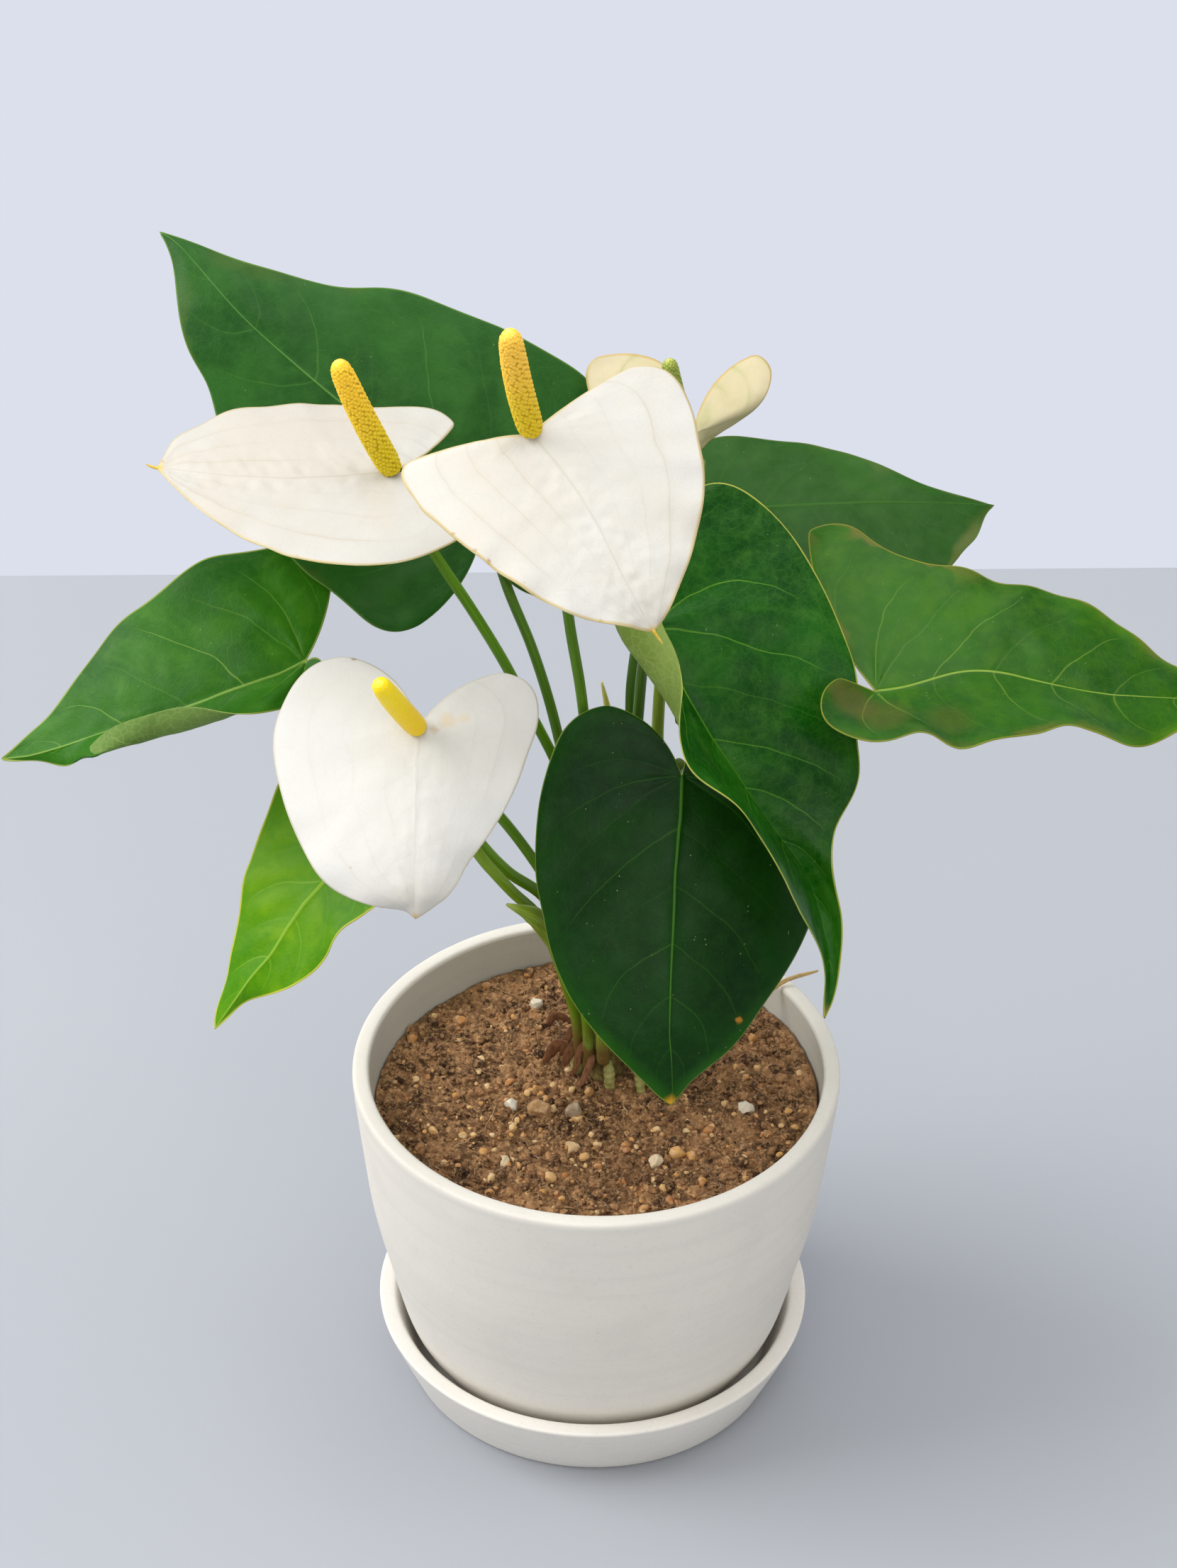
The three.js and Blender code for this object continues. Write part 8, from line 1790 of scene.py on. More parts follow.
# ---------------------------------------------------------------- spadices
def spadix_material(name, top, foot, crevice_shade, gloss=0.6, crevice_shade_k=0.6):
    N = Nodes(name)
    f, k = N.attr("along"), N.attr("knob")
    c = N.mix(N.step(N.add(f, N.mul(N.sub(N.noise(160.0, 2.0), 0.5), 0.25)), 0.15, 0.85), foot, top)
    # Painted shade: darker in the crevices between the knobs.
    c = N.mix(N.mul(N.step(k, 0.05, 0.70, 1.0, 0.0), crevice_shade_k), c, crevice_shade)
    # Painted highlight: paler on the knob tops.
    c = N.mix(N.mul(N.step(k, 0.88, 0.99), 0.45), c, srgb(255, 238, 150))
    nrm = N.bump(N.noise(1600.0, 2.0), 0.06, 0.5)
    N.shade(c, gloss, nrm, Specular_IOR_Level=0.3)
    return N


# Top colour, foot colour, painted crevice shade colour, knob relief and knob pitch.
SPADIX_LOOK = {
    "spadix_left": (srgb(250, 200, 40), srgb(216, 190, 0), srgb(176, 140, 2), 0.66, 1.65),
    "spadix_right": (srgb(254, 200, 66), srgb(220, 190, 0), srgb(184, 140, 6), 0.66, 1.65),
    "spadix_lower": (srgb(252, 222, 2), srgb(244, 206, 0), srgb(230, 184, 0), 0.06, 1.3),
    "spadix_rear": (srgb(138, 154, 60), srgb(112, 134, 46), srgb(90, 108, 34), 0.4, 1.5),
}
for node, (r, foot, tip) in SPADICES.items():
    top_c, foot_c, crevice_shade_c, relief, pitch = SPADIX_LOOK[node]
    foot, tip = np.array(foot, float), np.array(tip, float)
    L = np.linalg.norm(tip - foot)
    axis = (tip - foot) / L
    foot = foot - axis * 1.2
    L += 1.2
    u = np.cross(axis, [0.2, 1.0, 0.1])
    u /= np.linalg.norm(u)
    w = np.cross(axis, u)
    rings, sides = int(L / 0.34), 84
    s = np.linspace(0, 1, rings)
    prof = np.interp(s, [0, 0.012, 0.05, 0.12, 0.35, 0.7, 0.88, 0.945, 0.98, 0.994, 1.0], [0.62, 0.78, 0.9, 0.97, 1.0, 0.95, 0.86, 0.72, 0.48, 0.26, 0.03])
    count = int(2 * math.pi * r * L / (pitch ** 2 * 0.87))
    kk = np.arange(count)
    la = (kk * 2.39996323) % (2 * math.pi)
    ls = (kk + 0.5) / count * L
    jit = np.random.default_rng(int(r * 100) + len(node))
    la = la + jit.normal(0, 0.10 * pitch, count) / r
    ls = ls + jit.normal(0, 0.10 * pitch, count)
    a = np.linspace(0, 2 * math.pi, sides, endpoint=False)
    pts, knob, fr = [], [], []
    bend = 0.9 * (1 if node != "spadix_lower" else 0.5)
    for i in range(rings):
        near = np.abs(ls - s[i] * L) < 2.4
        da = (a[:, None] - la[None, near] + math.pi) % (2 * math.pi) - math.pi
        d = np.sqrt((da * r * prof[i]) ** 2 + (ls[None, near] - s[i] * L) ** 2).min(1) if near.any() else np.full(sides, pitch)
        k = np.clip(1 - (d / (0.56 * pitch)) ** 2, 0, 1) ** 0.6
        rr = r * prof[i] + relief * (k - 0.5) * min(1, prof[i] * 1.5)
        c = foot + axis * s[i] * L + u * bend * math.sin(math.pi * s[i])
        pts.append(c + np.outer(rr * np.cos(a), u) + np.outer(rr * np.sin(a), w))
        knob.append(k)
        fr.append(np.full(sides, s[i]))
    P = np.concatenate(pts)
    faces = []
    for i in range(rings - 1):
        for j in range(sides):
            n = (j + 1) % sides
            faces.append((i * sides + j, i * sides + n, (i + 1) * sides + n, (i + 1) * sides + j))
    c0 = len(P)
    P = np.vstack([P, foot - axis * 0.1, foot + axis * (L + 0.05)])
    for j in range(sides):
        n = (j + 1) % sides
        faces += [(c0, n, j), (c0 + 1, (rings - 1) * sides + j, (rings - 1) * sides + n)]
    mat = spadix_material(node + "_skin", top_c, foot_c, crevice_shade_c, 0.42 if node == "spadix_lower" else 0.62, 0.2 if node == "spadix_lower" else 0.85)
    slot = {"spadix_lower": "spadix_young", "spadix_rear": "spadix_old"}.get(node, "spadix")
    mesh_piece(node + "_spike", P, faces, [mat], None, {"knob": np.r_[np.concatenate(knob), 0, 1], "along": np.r_[np.concatenate(fr), 0, 1]}, node=node)


# ---------------------------------------------------------------- pot and saucer
def clay_material(name, base, warm, cool, scale=1.0):
    N = Nodes(name)
    c = N.mix(N.step(N.noise(9.0 * scale, 3.0, 0.55), 0.32, 0.68), base, warm)
    c = N.mix(N.mul(N.step(N.noise(34.0 * scale, 4.0, 0.6), 0.45, 0.75), 0.5), c, cool)
    c = N.mix(N.mul(N.step(N.noise(520.0, 3.0, 0.65), 0.52, 0.8), 0.16), c, srgb(168, 160, 150))
    grit = N.cells(620.0, "F1")
    pick = N.step(N.noise(260.0, 1.0), 0.60, 0.68)
    c = N.mix(N.mul(N.mul(N.step(grit.outputs["Distance"], 0.06, 0.15, 1.0, 0.0), pick), 0.30), c, srgb(150, 142, 130))
    ring = N.noise(1.0, 3.0, 0.6, stretch=(6.0, 6.0, 260.0))
    c = N.mix(N.mul(N.step(ring, 0.42, 0.72), 0.35), c, cool)
    h = N.add(N.mul(N.noise(700.0, 4.0, 0.65), 0.7), N.add(N.mul(N.noise(120.0, 3.0, 0.5), 0.6), N.mul(ring, 0.5)))
    nrm = N.bump(h, 0.14, 0.5)
    rough = N.add(0.66, N.mul(N.sub(N.noise(60.0, 3.0), 0.5), 0.16))
    N.shade(c, rough, nrm, Specular_IOR_Level=0.35)
    return N


CLAY = clay_material("clay", srgb(226, 222, 214), srgb(230, 225, 215), srgb(217, 213, 205))
foot_z = 7.3
outer = smooth_profile([(67.2, 8.0), (70.4, 11.6), (77.3, 24), (81.6, 35), (87.4, 60), (93.5, 90), (97.1, 120), (99.3, 142), (99.7, 147.6)], 1.6)
lip = smooth_profile([(99.9, 149.2), (100, 151.2), (99.7, 152.7), (98.9, 153.4), (97.2, 153.6), (95.2, 153.6), (94.0, 153.3), (93.3, 152.4), (93.0, 150.4)], 0.4)
inner = smooth_profile([(92.9, 147), (92.2, 138), (90.5, 120), (86.6, 90), (80.4, 60), (74.4, 35), (69.4, 23.5), (62.5, 16.6), (57, 14.5)], 2.0)
prof = [(6.0, 7.6), (6.4, foot_z), (58, foot_z), (63.2, foot_z), (65.4, 7.4)] + outer + lip + inner + [(30, 14.3), (6.6, 14.3), (6.0, 13.8)]
prof.append(prof[0])
V, F = lathe(prof, 224)
# Hand-finished walls are never perfectly even.
for i in range(len(V)):
    x, y, z = V[i]
    r = math.hypot(x, y)
    k = 0.22 * noise.noise(Vector((x * 0.02, y * 0.02, z * 0.03))) + 0.08 * noise.noise(Vector((x * 0.09, y * 0.09, z * 0.12)))
    if r > 20:
        V[i] = (x * (1 + k / r), y * (1 + k / r), z + (0.10 * noise.noise(Vector((x * 0.03, y * 0.03, 9.0))) if z > 140 else 0))
# Painted shade: the inside of the pot gets a darker copy of the clay.
SHADED_INNER_CLAY = clay_material("inner_clay_shade", srgb(202, 200, 190), srgb(206, 203, 192), srgb(192, 190, 181))
walls = []
for f in F:
    c = np.mean([V[i] for i in f], axis=0)
    reach = np.interp(c[2], [14, 17, 24, 35, 60, 90, 120, 138, 152], [59, 64.5, 71, 76, 82, 88.2, 92.1, 94.2, 94.6])
    walls.append(1 if 14.0 < c[2] < 151.8 and math.hypot(c[0], c[1]) < reach else 0)
mesh_piece("pot_body", V, F, [CLAY, SHADED_INNER_CLAY], walls, node="pot")

prof = [(0, 0.9), (60, 0.9), (72.5, 0.7), (74.0, 0.0), (77.0, 0.0), (78.6, 0.4)]
prof += smooth_profile([(79.4, 1.5), (80.2, 3.4), (83.6, 11.5), (87.0, 19.8), (90.0, 27.6), (90.8, 29.4)], 1.4)
prof += smooth_profile([(91.1, 30.2), (91.1, 31.0), (90.5, 31.5), (88.5, 31.6), (86.2, 31.6), (84.7, 31.3), (83.8, 30.4), (83.3, 29.3)], 0.5)
prof += smooth_profile([(82.9, 28.2), (79.6, 20), (75.7, 11), (74.2, 8.2), (71.5, 6.7)], 1.4) + [(60, 6.6), (0, 6.6)]
V, F = lathe(prof, 224)
for i in range(len(V)):
    x, y, z = V[i]
    r = math.hypot(x, y)
    if r > 20 and z > 1:
        k = 0.18 * noise.noise(Vector((x * 0.02 + 5, y * 0.02, z * 0.03)))
        V[i] = (x * (1 + k / r), y * (1 + k / r), z)
SAUCER_CLAY = clay_material("saucer_clay", srgb(228, 225, 219), srgb(231, 227, 219), srgb(219, 216, 210))
mesh_piece("saucer_dish", V, F, [SAUCER_CLAY], node="saucer")


# ---------------------------------------------------------------- potting mix
def soil_height(x, y):
    return 133.6 + 0.03 * x + 0.006 * y + 2.2 * math.exp(-((x - 4) ** 2 + (y - 12) ** 2) / (2 * 26 ** 2))


def soil_relief(x, y):
    """Clods, crumbs and grains, mm."""
    p = Vector((x, y, 0.0))
    big = noise.noise(p * 0.055 + Vector((3.0, 1.0, 0.0)))
    mid = noise.noise(p * 0.17 + Vector((7.0, 4.0, 2.0)))
    d = noise.voronoi(p * 0.24 + Vector((1.3, 0.2, 0.5)))[0]
    clod = min(d[1] - d[0], 0.6)
    e = noise.voronoi(p * 0.62 + Vector((4.3, 2.2, 0.5)))[0]
    crumb = min(e[1] - e[0], 0.6)
    small = noise.noise(p * 0.9)
    return 1.5 * big + 0.9 * mid + 2.6 * (clod - 0.25) + 1.9 * (crumb - 0.22) + 0.8 * small


def soil_material(name, dark, mid, light, roughness=0.92):
    N = Nodes(name)
    t = N.attr("tint")
    n1 = N.noise(90.0, 5.0, 0.65)
    c = N.mix(N.step(N.add(n1, N.mul(N.sub(t, 0.5), 0.48)), 0.26, 0.66), dark, mid)
    damp = N.step(N.noise(26.0, 3.0, 0.6), 0.42, 0.60)
    c = N.mix(N.mul(damp, 0.32), c, dark)
    c = N.mix(N.mul(N.step(N.noise(420.0, 5.0, 0.75), 0.46, 0.66), 0.65), c, light)
    c = N.mix(N.mul(N.step(N.noise(520.0, 4.0, 0.7), 0.52, 0.68), 0.45), c, dark)
    c = N.mix(N.mul(N.step(N.noise(900.0, 2.0, 0.6), 0.60, 0.72), 0.5), c, srgb(196, 160, 120))
    c = N.mix(N.mul(N.step(N.noise(700.0, 2.0, 0.6, at=N.warped(0.01, 60.0)), 0.58, 0.7), 0.55), c, srgb(46, 30, 20))
    h = N.add(N.noise(700.0, 5.0, 0.7), N.mul(N.noise(2400.0, 2.0), 0.5))
    N.shade(c, roughness, N.bump(h, 0.5, 0.9), Specular_IOR_Level=0.25)
    return N


SOIL = soil_material("soil", srgb(64, 42, 28), srgb(170, 126, 86), srgb(224, 178, 126))
rs = np.r_[np.linspace(0.9, 88, 104), 89.4, 90.4, 91.1]
seg = 300
pts = [(0.0, 0.0, soil_height(0, 0) + soil_relief(0, 0))]
crown = (4.0, 17.0)
for r in rs:
    for k in range(seg):
        a = 2 * math.pi * k / seg
        x, y = r * math.sin(a), r * math.cos(a)
        z = soil_height(x, y) + soil_relief(x, y) * (0.55 if r > 90 else 1.0) + 1.0
        z += 0.9 * max(0.0, (r - 84.0) / 7.0)          # it creeps up where it meets the wall
        pts.append((x, y, z))
side = [(90.0, 122.0), (86.1, 90), (79.9, 60), (73.9, 35), (68.9, 23.9), (62.2, 17.2), (56.8, 15.0)]
for r, z in side:
    for k in range(seg):
        a = 2 * math.pi * k / seg
        pts.append((r * math.sin(a), r * math.cos(a), z))
faces = []
total = len(rs) + len(side)
for k in range(seg):
    faces.append((0, 1 + (k + 1) % seg, 1 + k))
for i in range(total - 1):
    for k in range(seg):
        n = (k + 1) % seg
        a, b = 1 + i * seg, 1 + (i + 1) * seg
        faces.append((a + k, a + n, b + n, b + k))
pts.append((0, 0, 15.0))
for k in range(seg):
    faces.append((len(pts) - 1, 1 + (total - 1) * seg + k, 1 + (total - 1) * seg + (k + 1) % seg))
tint = [0.5 + 0.5 * noise.noise(Vector(p) * 0.09) for p in pts]
mesh_piece("potting_mix_bed", pts, faces, [SOIL], None, {"tint": tint}, node="potting_mix")


def ball(level):
    """Unit icosphere points and faces."""
    t = (1 + 5 ** 0.5) / 2
    v = [(-1, t, 0), (1, t, 0), (-1, -t, 0), (1, -t, 0), (0, -1, t), (0, 1, t), (0, -1, -t), (0, 1, -t), (t, 0, -1), (t, 0, 1), (-t, 0, -1), (-t, 0, 1)]
    f = [(0, 11, 5), (0, 5, 1), (0, 1, 7), (0, 7, 10), (0, 10, 11), (1, 5, 9), (5, 11, 4), (11, 10, 2), (10, 7, 6), (7, 1, 8),
         (3, 9, 4), (3, 4, 2), (3, 2, 6), (3, 6, 8), (3, 8, 9), (4, 9, 5), (2, 4, 11), (6, 2, 10), (8, 6, 7), (9, 8, 1)]
    v = [np.array(p, float) / np.linalg.norm(p) for p in v]
    for _ in range(level):
        cache, g = {}, []

        def mid(a, b):
            key = (min(a, b), max(a, b))
            if key not in cache:
                m = v[a] + v[b]
                v.append(m / np.linalg.norm(m))
                cache[key] = len(v) - 1
            return cache[key]
        for a, b, c in f:
            x, y, z = mid(a, b), mid(b, c), mid(c, a)
            g += [(a, x, z), (b, y, x), (c, z, y), (x, y, z)]
        f = g
    return np.array(v), f


BALL = {k: ball(k) for k in (1, 2, 3)}


def lump(rng, centre, size, flat=0.8, level=1, rough=0.25, cuts=5):
    """An irregular grain: a ball cut by random planes, then roughened."""
    v, f = BALL[level]
    v = v.copy()
    for _ in range(cuts):
        n = rng.normal(size=3)
        n /= np.linalg.norm(n)
        d = rng.uniform(0.55, 0.9)
        over = v @ n - d
        v = v - np.outer(np.clip(over, 0, None), n)
    if level > 1:
        off = rng.uniform(0, 40, 3)
        k = np.array([noise.noise(Vector(p * 1.9 + off)) + 0.4 * noise.noise(Vector(p * 5.0 + off)) for p in v])
        v = v * (1 + rough * 0.5 * k)[:, None]
    else:
        v = v * (1 + rng.uniform(-rough, rough, len(v)) * 0.6)[:, None]
    v = v * np.array([1, rng.uniform(0.7, 1.0), flat])
    a = rng.uniform(0, 2 * math.pi)
    b = rng.uniform(-0.5, 0.5)
    R = np.array(Matrix.Rotation(a, 3, "Z") @ Matrix.Rotation(b, 3, "X"))
    return (v * size) @ R.T + centre, f


def gather(parts):
    """Joins lumps into one mesh: (points, faces, tint)."""
    P, F, T, n = [], [], [], 0
    for v, f, t in parts:
        P.append(v)
        F += [tuple(i + n for i in g) for g in f]
        T.append(np.full(len(v), t))
        n += len(v)
    return np.vstack(P), F, np.concatenate(T)


rng = np.random.default_rng(20)


def spot(rmax=88.5, keep=12.0):
    while True:
        x, y = rng.uniform(-rmax, rmax, 2)
        if math.hypot(x, y) < rmax and math.hypot(x - crown[0], y - crown[1]) > keep:
            return x, y


crumbs = []
for n in range(4200):
    x, y = spot(89.5)
    s = min(3.4, 0.5 + rng.exponential(0.48)) if n > 230 else rng.uniform(1.5, 3.4)
    z = soil_height(x, y) + soil_relief(x, y) + 1.0 + s * rng.uniform(-0.15, 0.4)
    crumbs.append((*lump(rng, (x, y, z), s, 0.8, 1, 0.35, 4), rng.uniform(0, 1)))
V, F, T = gather(crumbs)
mesh_piece("potting_mix_crumbs", V, F, [SOIL], None, {"tint": T}, node="potting_mix", smooth=False)


def stone_material(name, a, b, c2, dirt=0.30):
    N = Nodes(name)
    t = N.attr("tint")
    ramp = N.new("ShaderNodeValToRGB")
    ramp.color_ramp.interpolation = "LINEAR"
    e = ramp.color_ramp.elements
    e[0].position, e[0].color = 0.0, a
    e[1].position, e[1].color = 1.0, c2
    m = e.new(0.5)
    m.color = b
    N.put(ramp.inputs[0], t)
    c = ramp.outputs[0]
    c = N.mix(N.mul(N.step(N.noise(420.0, 4.0, 0.65), 0.42, 0.72), 0.35), c, srgb(236, 224, 200))
    c = N.mix(N.mul(N.step(N.noise(260.0, 4.0, 0.65), 0.5, 0.72), dirt), c, srgb(120, 84, 56))
    h = N.add(N.noise(900.0, 4.0, 0.65), N.mul(N.cells(800.0).outputs["Distance"], 0.4))
    N.shade(c, 0.82, N.bump(h, 0.25, 0.7), Specular_IOR_Level=0.3)
    return N


GRAVEL = stone_material("gravel", srgb(176, 112, 56), srgb(216, 164, 98), srgb(226, 194, 142))
gravel = []
for n in range(470):
    x, y = spot(88.0)
    if n % 3 == 0 and y > 0:
        x, y = 0.7 * x, -0.75 * abs(y) - 8.0
    s = float(np.clip(rng.lognormal(0.14, 0.42), 0.6, 2.9)) * (1.25 if n % 6 == 0 and y < -20 else 1.0)
    z = soil_height(x, y) + soil_relief(x, y) + 1.0 + s * rng.uniform(0.0, 0.35)
    gravel.append((*lump(rng, (x, y, z), s, 0.75, 2, 0.3, 7), rng.uniform(0, 1)))
V, F, T = gather(gravel)
mesh_piece("potting_mix_gravel", V, F, [GRAVEL], None, {"tint": T}, node="potting_mix")

# Fibres of coir and bark lying on the surface.
FIBRE = stone_material("fibre", srgb(96, 62, 38), srgb(134, 94, 60), srgb(176, 136, 92), dirt=0.2)
fibres = []
for _ in range(230):
    x, y = spot(84.0, 6.0)
    a = rng.uniform(0, 2 * math.pi)
    n = 6
    ln = rng.uniform(4, 17)
    line = []
    for i in range(n):
        f = i / (n - 1) - 0.5
        px = x + math.cos(a) * f * ln + rng.normal(0, 0.35)
        py = y + math.sin(a) * f * ln + rng.normal(0, 0.35)
        line.append((px, py, soil_height(px, py) + soil_relief(px, py) * 0.6 + 1.9 + rng.uniform(-0.4, 0.9)))
    w = rng.uniform(0.10, 0.34)
    V, F, frac, ang, L = tube(line, lambda f, L, w=w: w * (1 - 0.5 * abs(2 * f - 1)), rings=14, sides=5)
    fibres.append((V, F, rng.uniform(0, 1)))
V, F, T = gather(fibres)
mesh_piece("potting_mix_fibres", V, F, [FIBRE], None, {"tint": T}, node="potting_mix")

# The larger stones: x, y, radius, flatness, tint look.
STONES = {
    "stone_white": (-34.7, -6.3, 3.9, 0.85, (srgb(226, 216, 196), srgb(236, 228, 212), srgb(240, 236, 226)), "stone_pale"),
    "stone_brown": (-22.4, -10.4, 5.4, 0.75, (srgb(150, 108, 62), srgb(172, 130, 84), srgb(190, 150, 104)), "stone_brown"),
    "stone_grey": (-8.4, -11.5, 4.5, 0.75, (srgb(150, 126, 100), srgb(168, 146, 120), srgb(184, 166, 142)), "stone_brown"),
    "stone_tan": (-9.1, -33.4, 3.7, 0.8, (srgb(196, 156, 104), srgb(214, 180, 134), srgb(226, 200, 160)), "stone_pale"),
    "stone_front_left": (-36.4, -41, 3.5, 0.8, (srgb(204, 176, 130), srgb(222, 200, 160), srgb(232, 214, 182)), "stone_pale"),
    "stone_right": (61.9, -8.3, 4.2, 0.8, (srgb(218, 204, 178), srgb(230, 220, 200), srgb(238, 232, 218)), "stone_pale"),
    "stone_front_right": (25.2, -41.6, 3.6, 0.85, (srgb(206, 178, 134), srgb(222, 200, 164), srgb(232, 216, 188)), "stone_pale"),
    "stone_back_left": (-27.3, 60.2, 3.9, 0.8, (srgb(206, 190, 164), srgb(222, 210, 188), srgb(232, 224, 208)), "stone_pale"),
}
for i, (node, (x, y, s, flat, cols, slot)) in enumerate(STONES.items()):
    srng = np.random.default_rng(100 + i)
    z = soil_height(x, y) + 1.0 + 0.35 * s * flat
    V, F = lump(srng, (x, y, z), s, flat, 3, 0.3, 9)
    mesh_piece(node + "_pebble", V, F, [stone_material(node + "_rock", *cols, dirt=0.25)], None, {"tint": np.full(len(V), 0.5)}, node=node)


# ---------------------------------------------------------------- rootstock, roots and dry matter
def crown_radius(f, L):
    return float(np.interp(f, [0, 0.15, 0.5, 0.8, 0.93, 1.0], [7.4, 8.6, 8.8, 7.6, 5.6, 2.6]))


def crown_relief(f, a, L):
    scars = 0.5 * np.sin(2 * math.pi * (f * 5.5 + a / (2 * math.pi)))
    return scars + 0.5 * np.sin(3 * a + 5 * f) + 0.3 * np.sin(7 * a - 11 * f)


def dry_material(name, a, b, c3, scale=1.0):
    N = Nodes(name)
    f, g = N.attr("along"), N.attr("turn")
    streak = N.new("ShaderNodeCombineXYZ")
    N.put(streak.inputs[0], N.mul(g, 40.0))
    N.put(streak.inputs[1], N.mul(f, 5.0))
    n1 = N.noise(1.0, 4.0, 0.65, at=streak.outputs[0])
    c = N.mix(N.step(n1, 0.35, 0.65), a, b)
    c = N.mix(N.mul(N.step(N.noise(260.0 * scale, 3.0, 0.6), 0.5, 0.72), 0.6), c, c3)
    N.shade(c, 0.8, N.bump(N.add(n1, N.noise(900.0)), 0.3, 0.7), Specular_IOR_Level=0.3)
    return N


V, F, frac, ang, L = tube([(4, 17, 131), (4, 17, 138), (4, 17, 146), (4, 17, 153), (4, 17, 160)], crown_radius, rings=60, sides=60, shape=crown_relief)
mesh_piece("rootstock_stump", V, F, [dry_material("rootstock_bark", srgb(96, 82, 44), srgb(132, 118, 62), srgb(84, 60, 38))], None, {"along": frac, "turn": ang}, node="rootstock")


def root_material(name):
    N = Nodes(name)
    f = N.attr("along")
    c = N.mix(N.step(N.noise(140.0, 3.0, 0.6), 0.35, 0.65), srgb(150, 152, 78), srgb(182, 178, 112))
    c = N.mix(N.step(f, 0.0, 0.3, 0.9, 0.0), c, srgb(118, 128, 48))
    c = N.mix(N.mul(N.step(N.noise(380.0, 4.0, 0.65), 0.52, 0.7), 0.6), c, srgb(126, 94, 56))
    c = N.mix(N.step(f, 0.78, 1.0, 0.0, 0.6), c, srgb(110, 80, 52))
    N.shade(c, 0.55, N.bump(N.noise(700.0, 4.0, 0.6), 0.25, 0.7), Specular_IOR_Level=0.4, Subsurface_Weight=0.1, Subsurface_Scale=0.001)
    return N


ROOT = root_material("root_skin")
for node, path, rr in (
    ("aerial_root_left", [(-4.6, 17.0, 158.0), (-7.0, 16.7, 156.4), (-8.6, 16.2, 152), (-8.9, 15.8, 146), (-8.4, 15.6, 140), (-7.8, 15.4, 134.8)], [2.2, 2.6, 2.9, 2.9, 2.7, 2.0]),
    ("aerial_root_middle", [(4.6, 6.6, 149.4), (4.9, 4.9, 147.0), (5.1, 4.6, 144.5), (5.5, 4.3, 140.5), (5.9, 4.2, 135.6)], [1.8, 2.1, 2.3, 2.2, 1.7]),
    ("aerial_root_right", [(14.6, 5.4, 148.8), (16.6, 3.6, 146.6), (17.4, 2.8, 144), (18.2, 1.8, 140.4), (18.8, 1.2, 135.8)], [1.4, 1.7, 1.9, 1.9, 1.4]),
):
    V, F, frac, ang, L = tube(path, lambda f, L, rr=rr: float(np.interp(f, np.linspace(0, 1, len(rr)), rr)), rings=40, sides=28,
                              shape=lambda f, a, L: 0.12 * np.sin(3 * a + 8 * f) + 0.16 * math.sin(31 * f) + 0.08 * np.sin(9 * a + 17 * f))
    mesh_piece(node + "_skin", V, F, [ROOT], None, {"along": frac, "turn": ang}, node=node)

DRY = dry_material("dry_leaf_sheath", srgb(98, 62, 40), srgb(142, 96, 60), srgb(64, 42, 30))
for node, path, ww in (
    ("dry_sheath_long", [(-11.6, 12.6, 152.8), (-15.4, 15.4, 150.4), (-18.8, 18.0, 144.6), (-21.8, 20.6, 136.4)], [1.4, 2.5, 2.4, 0.9]),
    ("dry_sheath_short", [(-11.0, 22.6, 156.2), (-15.4, 24.4, 157.8), (-18.8, 25.6, 156), (-20.8, 26.6, 151.2)], [1.0, 2.1, 2.0, 0.7]),
):
    V, F, frac, ang, L = tube(path, lambda f, L, ww=ww: float(np.interp(f, np.linspace(0, 1, len(ww)), ww)), rings=40, sides=26, flat=lambda f: 0.24,
                              shape=lambda f, a, L: 0.22 * np.sin(2 * a + 7 * f) + 0.12 * np.sin(9 * a + 3 * f))
    mesh_piece(node + "_strip", V, F, [DRY], None, {"along": frac, "turn": ang}, node=node)
# The rest of the old sheath hangs round the foot of the stalks in torn strips.
torn = []
srng = np.random.default_rng(7)
for ang0, r0, top, drop, wide in ((168, 14.2, 157, 14, 1.9), (188, 14.8, 160, 17, 1.5), (206, 15.0, 156, 12, 2.0), (226, 15.4, 158, 15, 1.4), (246, 15.4, 154, 11, 1.6)):
    a = math.radians(ang0)
    ca, sa = math.cos(a), math.sin(a)
    P = [(4 + ca * (r0 - 1.5), 17 + sa * (r0 - 1.5), top), (4 + ca * (r0 + 0.8), 17 + sa * (r0 + 0.8), top - 0.25 * drop),
         (4 + ca * (r0 + 2.6) + srng.normal(0, 0.8), 17 + sa * (r0 + 2.6) + srng.normal(0, 0.8), top - 0.65 * drop),
         (4 + ca * (r0 + 5.2) + srng.normal(0, 1.2), 17 + sa * (r0 + 5.2) + srng.normal(0, 1.2), top - drop)]
    V, F, frac, ang, L = tube(P, lambda f, L, w=wide: w * float(np.interp(f, [0, .15, .6, .9, 1], [0.5, 0.9, 1.0, 0.6, 0.15])), rings=26, sides=16, flat=lambda f: 0.09,
                              shape=lambda f, a, L, k=ang0: 0.14 * np.sin(2 * a + 5 * f + k) + 0.08 * np.sin(5 * a + 9 * f))
    torn.append((V, F, frac, ang))
n, TV, TF = 0, [], []
for V, F, frac, ang in torn:
    TV.append(V)
    TF += [tuple(i + n for i in f) for f in F]
    n += len(V)
mesh_piece("dry_sheath_torn", np.vstack(TV), TF, [DRY], None, {"along": np.concatenate([t[2] for t in torn]), "turn": np.concatenate([t[3] for t in torn])},
           node="dry_sheath_long")
STRAW = dry_material("straw_skin", srgb(190, 158, 100), srgb(214, 186, 128), srgb(160, 124, 74))
V, F, frac, ang, L = tube([(48, 38, 138.0), (64, 48.5, 147.4), (78, 54.2, 155.8), (92, 58.8, 158.2)], lambda f, L: float(np.interp(f, [0, .33, .66, 1], [0.9, 1.2, 1.1, 0.6])), rings=60, sides=14,
                          flat=lambda f: 0.6, shape=lambda f, a, L: 0.10 * np.sin(4 * a + 12 * f) + 0.08 * math.sin(23 * f))
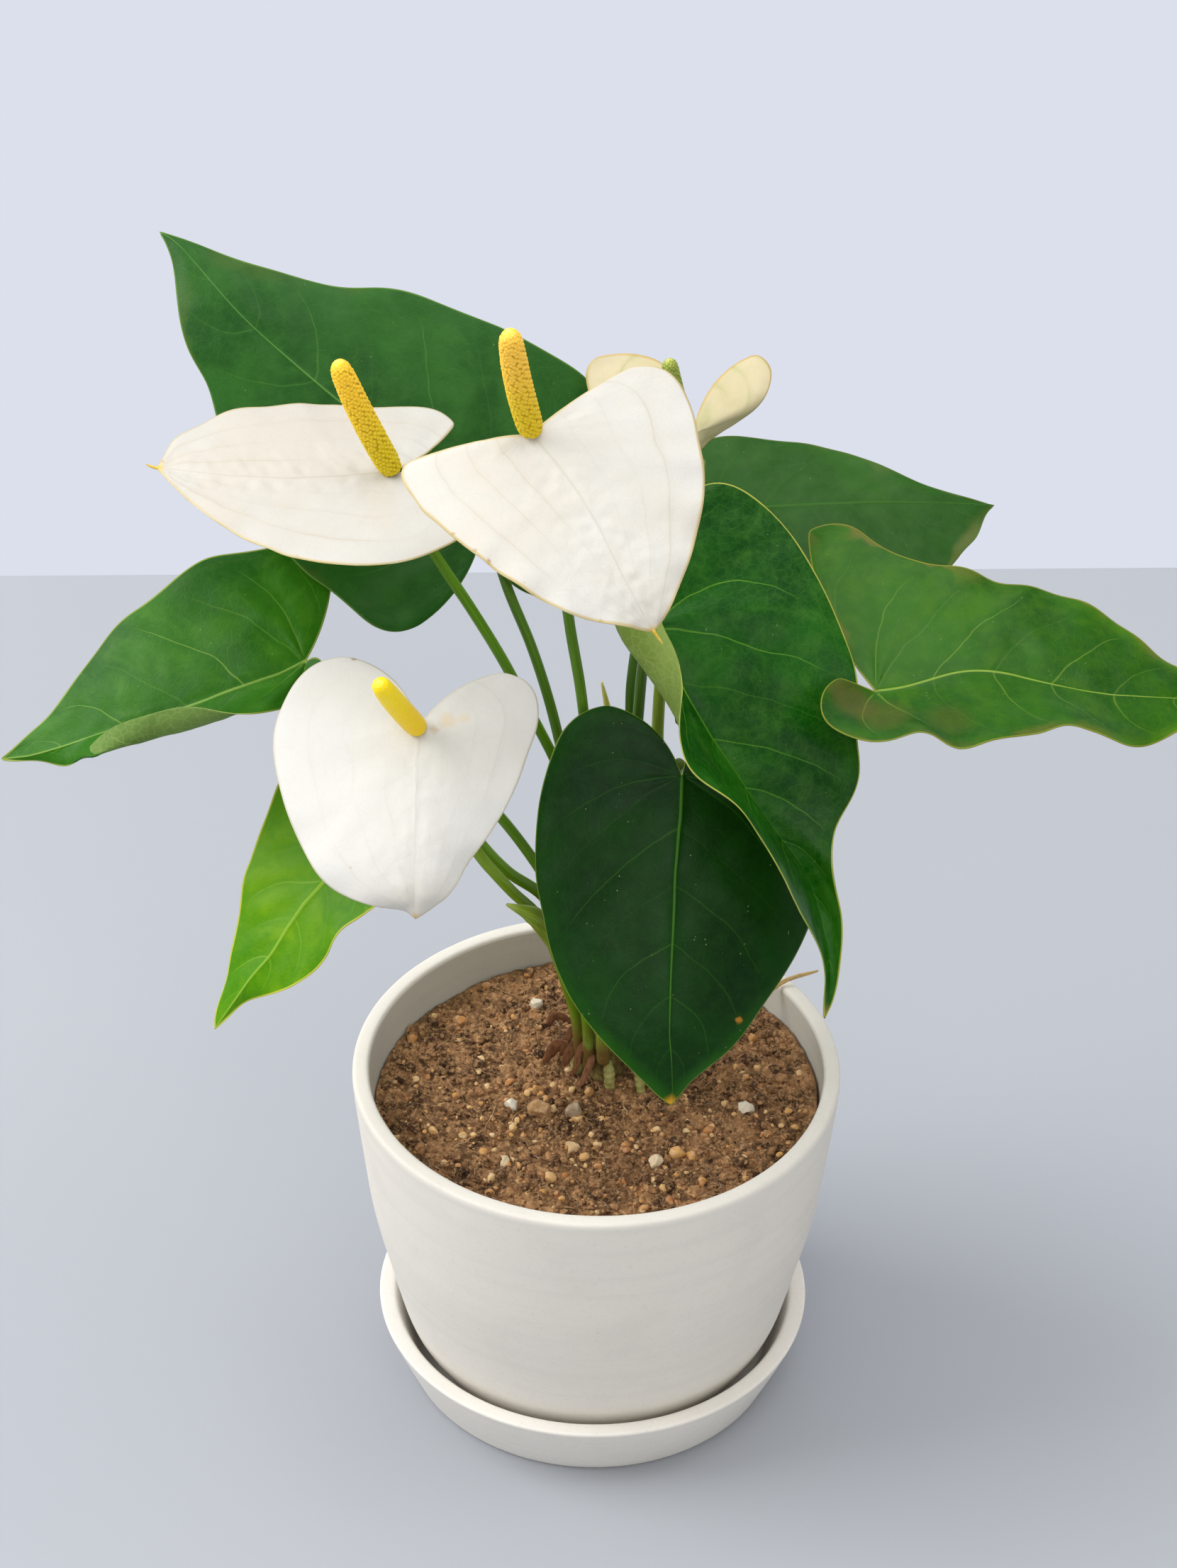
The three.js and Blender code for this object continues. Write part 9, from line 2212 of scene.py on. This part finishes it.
mesh_piece("dry_straw_strip", V, F, [STRAW], None, {"along": frac, "turn": ang}, node="dry_straw")


# ---------------------------------------------------------------- table, light and background
def table():
    me = bpy.data.meshes.new("table")
    x, y0, y1, r = 2600.0, -2600.0, 635.0, 5.0
    prof = [(y0, 0.0), (y1 - r, 0.0)]
    for i in range(1, 7):
        a = i / 6 * math.pi / 2
        prof.append((y1 - r + r * math.sin(a), -r + r * math.cos(a)))
    prof += [(y1, -30.0), (y0, -30.0)]
    lean = 0.0585           # its far edge isn't quite square to the pot
    v = [(-x, y - (x * lean if y > 0 else 0), z - 0.05) for y, z in prof] + [(x, y + (x * lean if y > 0 else 0), z - 0.05) for y, z in prof]
    n = len(prof)
    f = [(i, (i + 1) % n, n + (i + 1) % n, n + i) for i in range(n)] + [tuple(range(n))[::-1], tuple(range(n, 2 * n))]
    me.from_pydata([tuple(c * MM for c in p) for p in v], [], f)
    N = Nodes("table_paint")
    c = N.mix(N.step(N.noise(1.6, 3.0, 0.5), 0.3, 0.7), srgb(161, 165, 173), srgb(164, 168, 175))
    N.shade(c, 0.62, N.bump(N.noise(300.0, 2.0), 0.05, 0.3), Specular_IOR_Level=0.3)
    me.materials.append(N.m)
    me.update()
    ob = bpy.data.objects.new("table", me)
    bpy.context.scene.collection.objects.link(ob)


table()

def backdrop():
    """A plain pale wall, well behind the table."""
    me = bpy.data.meshes.new("backdrop")
    me.from_pydata([(-6, 3.6, -5), (6, 3.6, -5), (6, 3.6, 3.5), (-6, 3.6, 3.5)], [], [(0, 1, 2, 3)])
    N = Nodes("backdrop_paint")
    e = N.new("ShaderNodeEmission")
    e.inputs[0].default_value = srgb(220, 224, 236)
    N.t.links.new(e.outputs[0], N.out.inputs[0])
    me.materials.append(N.m)
    ob = bpy.data.objects.new("backdrop", me)
    bpy.context.scene.collection.objects.link(ob)


backdrop()

world = bpy.data.worlds.new("studio")
bpy.context.scene.world = world
world.use_nodes = True
bg = world.node_tree.nodes["Background"]
bg.inputs[0].default_value = (1.0, 0.985, 0.965, 1.0)
bg.inputs[1].default_value = 0.60


def softbox(name, at, aim, size, watts, colour=(1, 1, 1)):
    d = bpy.data.lights.new(name, "AREA")
    d.shape = "RECTANGLE"
    d.size, d.size_y = size
    d.energy = watts
    d.color = colour
    ob = bpy.data.objects.new(name, d)
    ob.location = at
    ob.rotation_euler = (Vector(aim) - Vector(at)).to_track_quat("-Z", "Y").to_euler()
    bpy.context.scene.collection.objects.link(ob)


softbox("window", (-2.4, 0.1, 2.2), (0, 0, 0.25), (2.2, 2.0), 84.0, (1.0, 0.985, 0.965))
softbox("ceiling", (0.2, 0.2, 2.9), (0, 0, 0.2), (2.4, 2.0), 44.0, (1.0, 0.99, 0.975))
softbox("fill", (0.3, -2.2, 1.9), (0, 0, 0.2), (2.2, 1.4), 18.0, (1.0, 0.99, 0.98))

scene = bpy.context.scene
scene.view_settings.view_transform = "Standard"
scene.view_settings.look = "None"
scene.view_settings.exposure = 0.0
scene.view_settings.gamma = 1.0
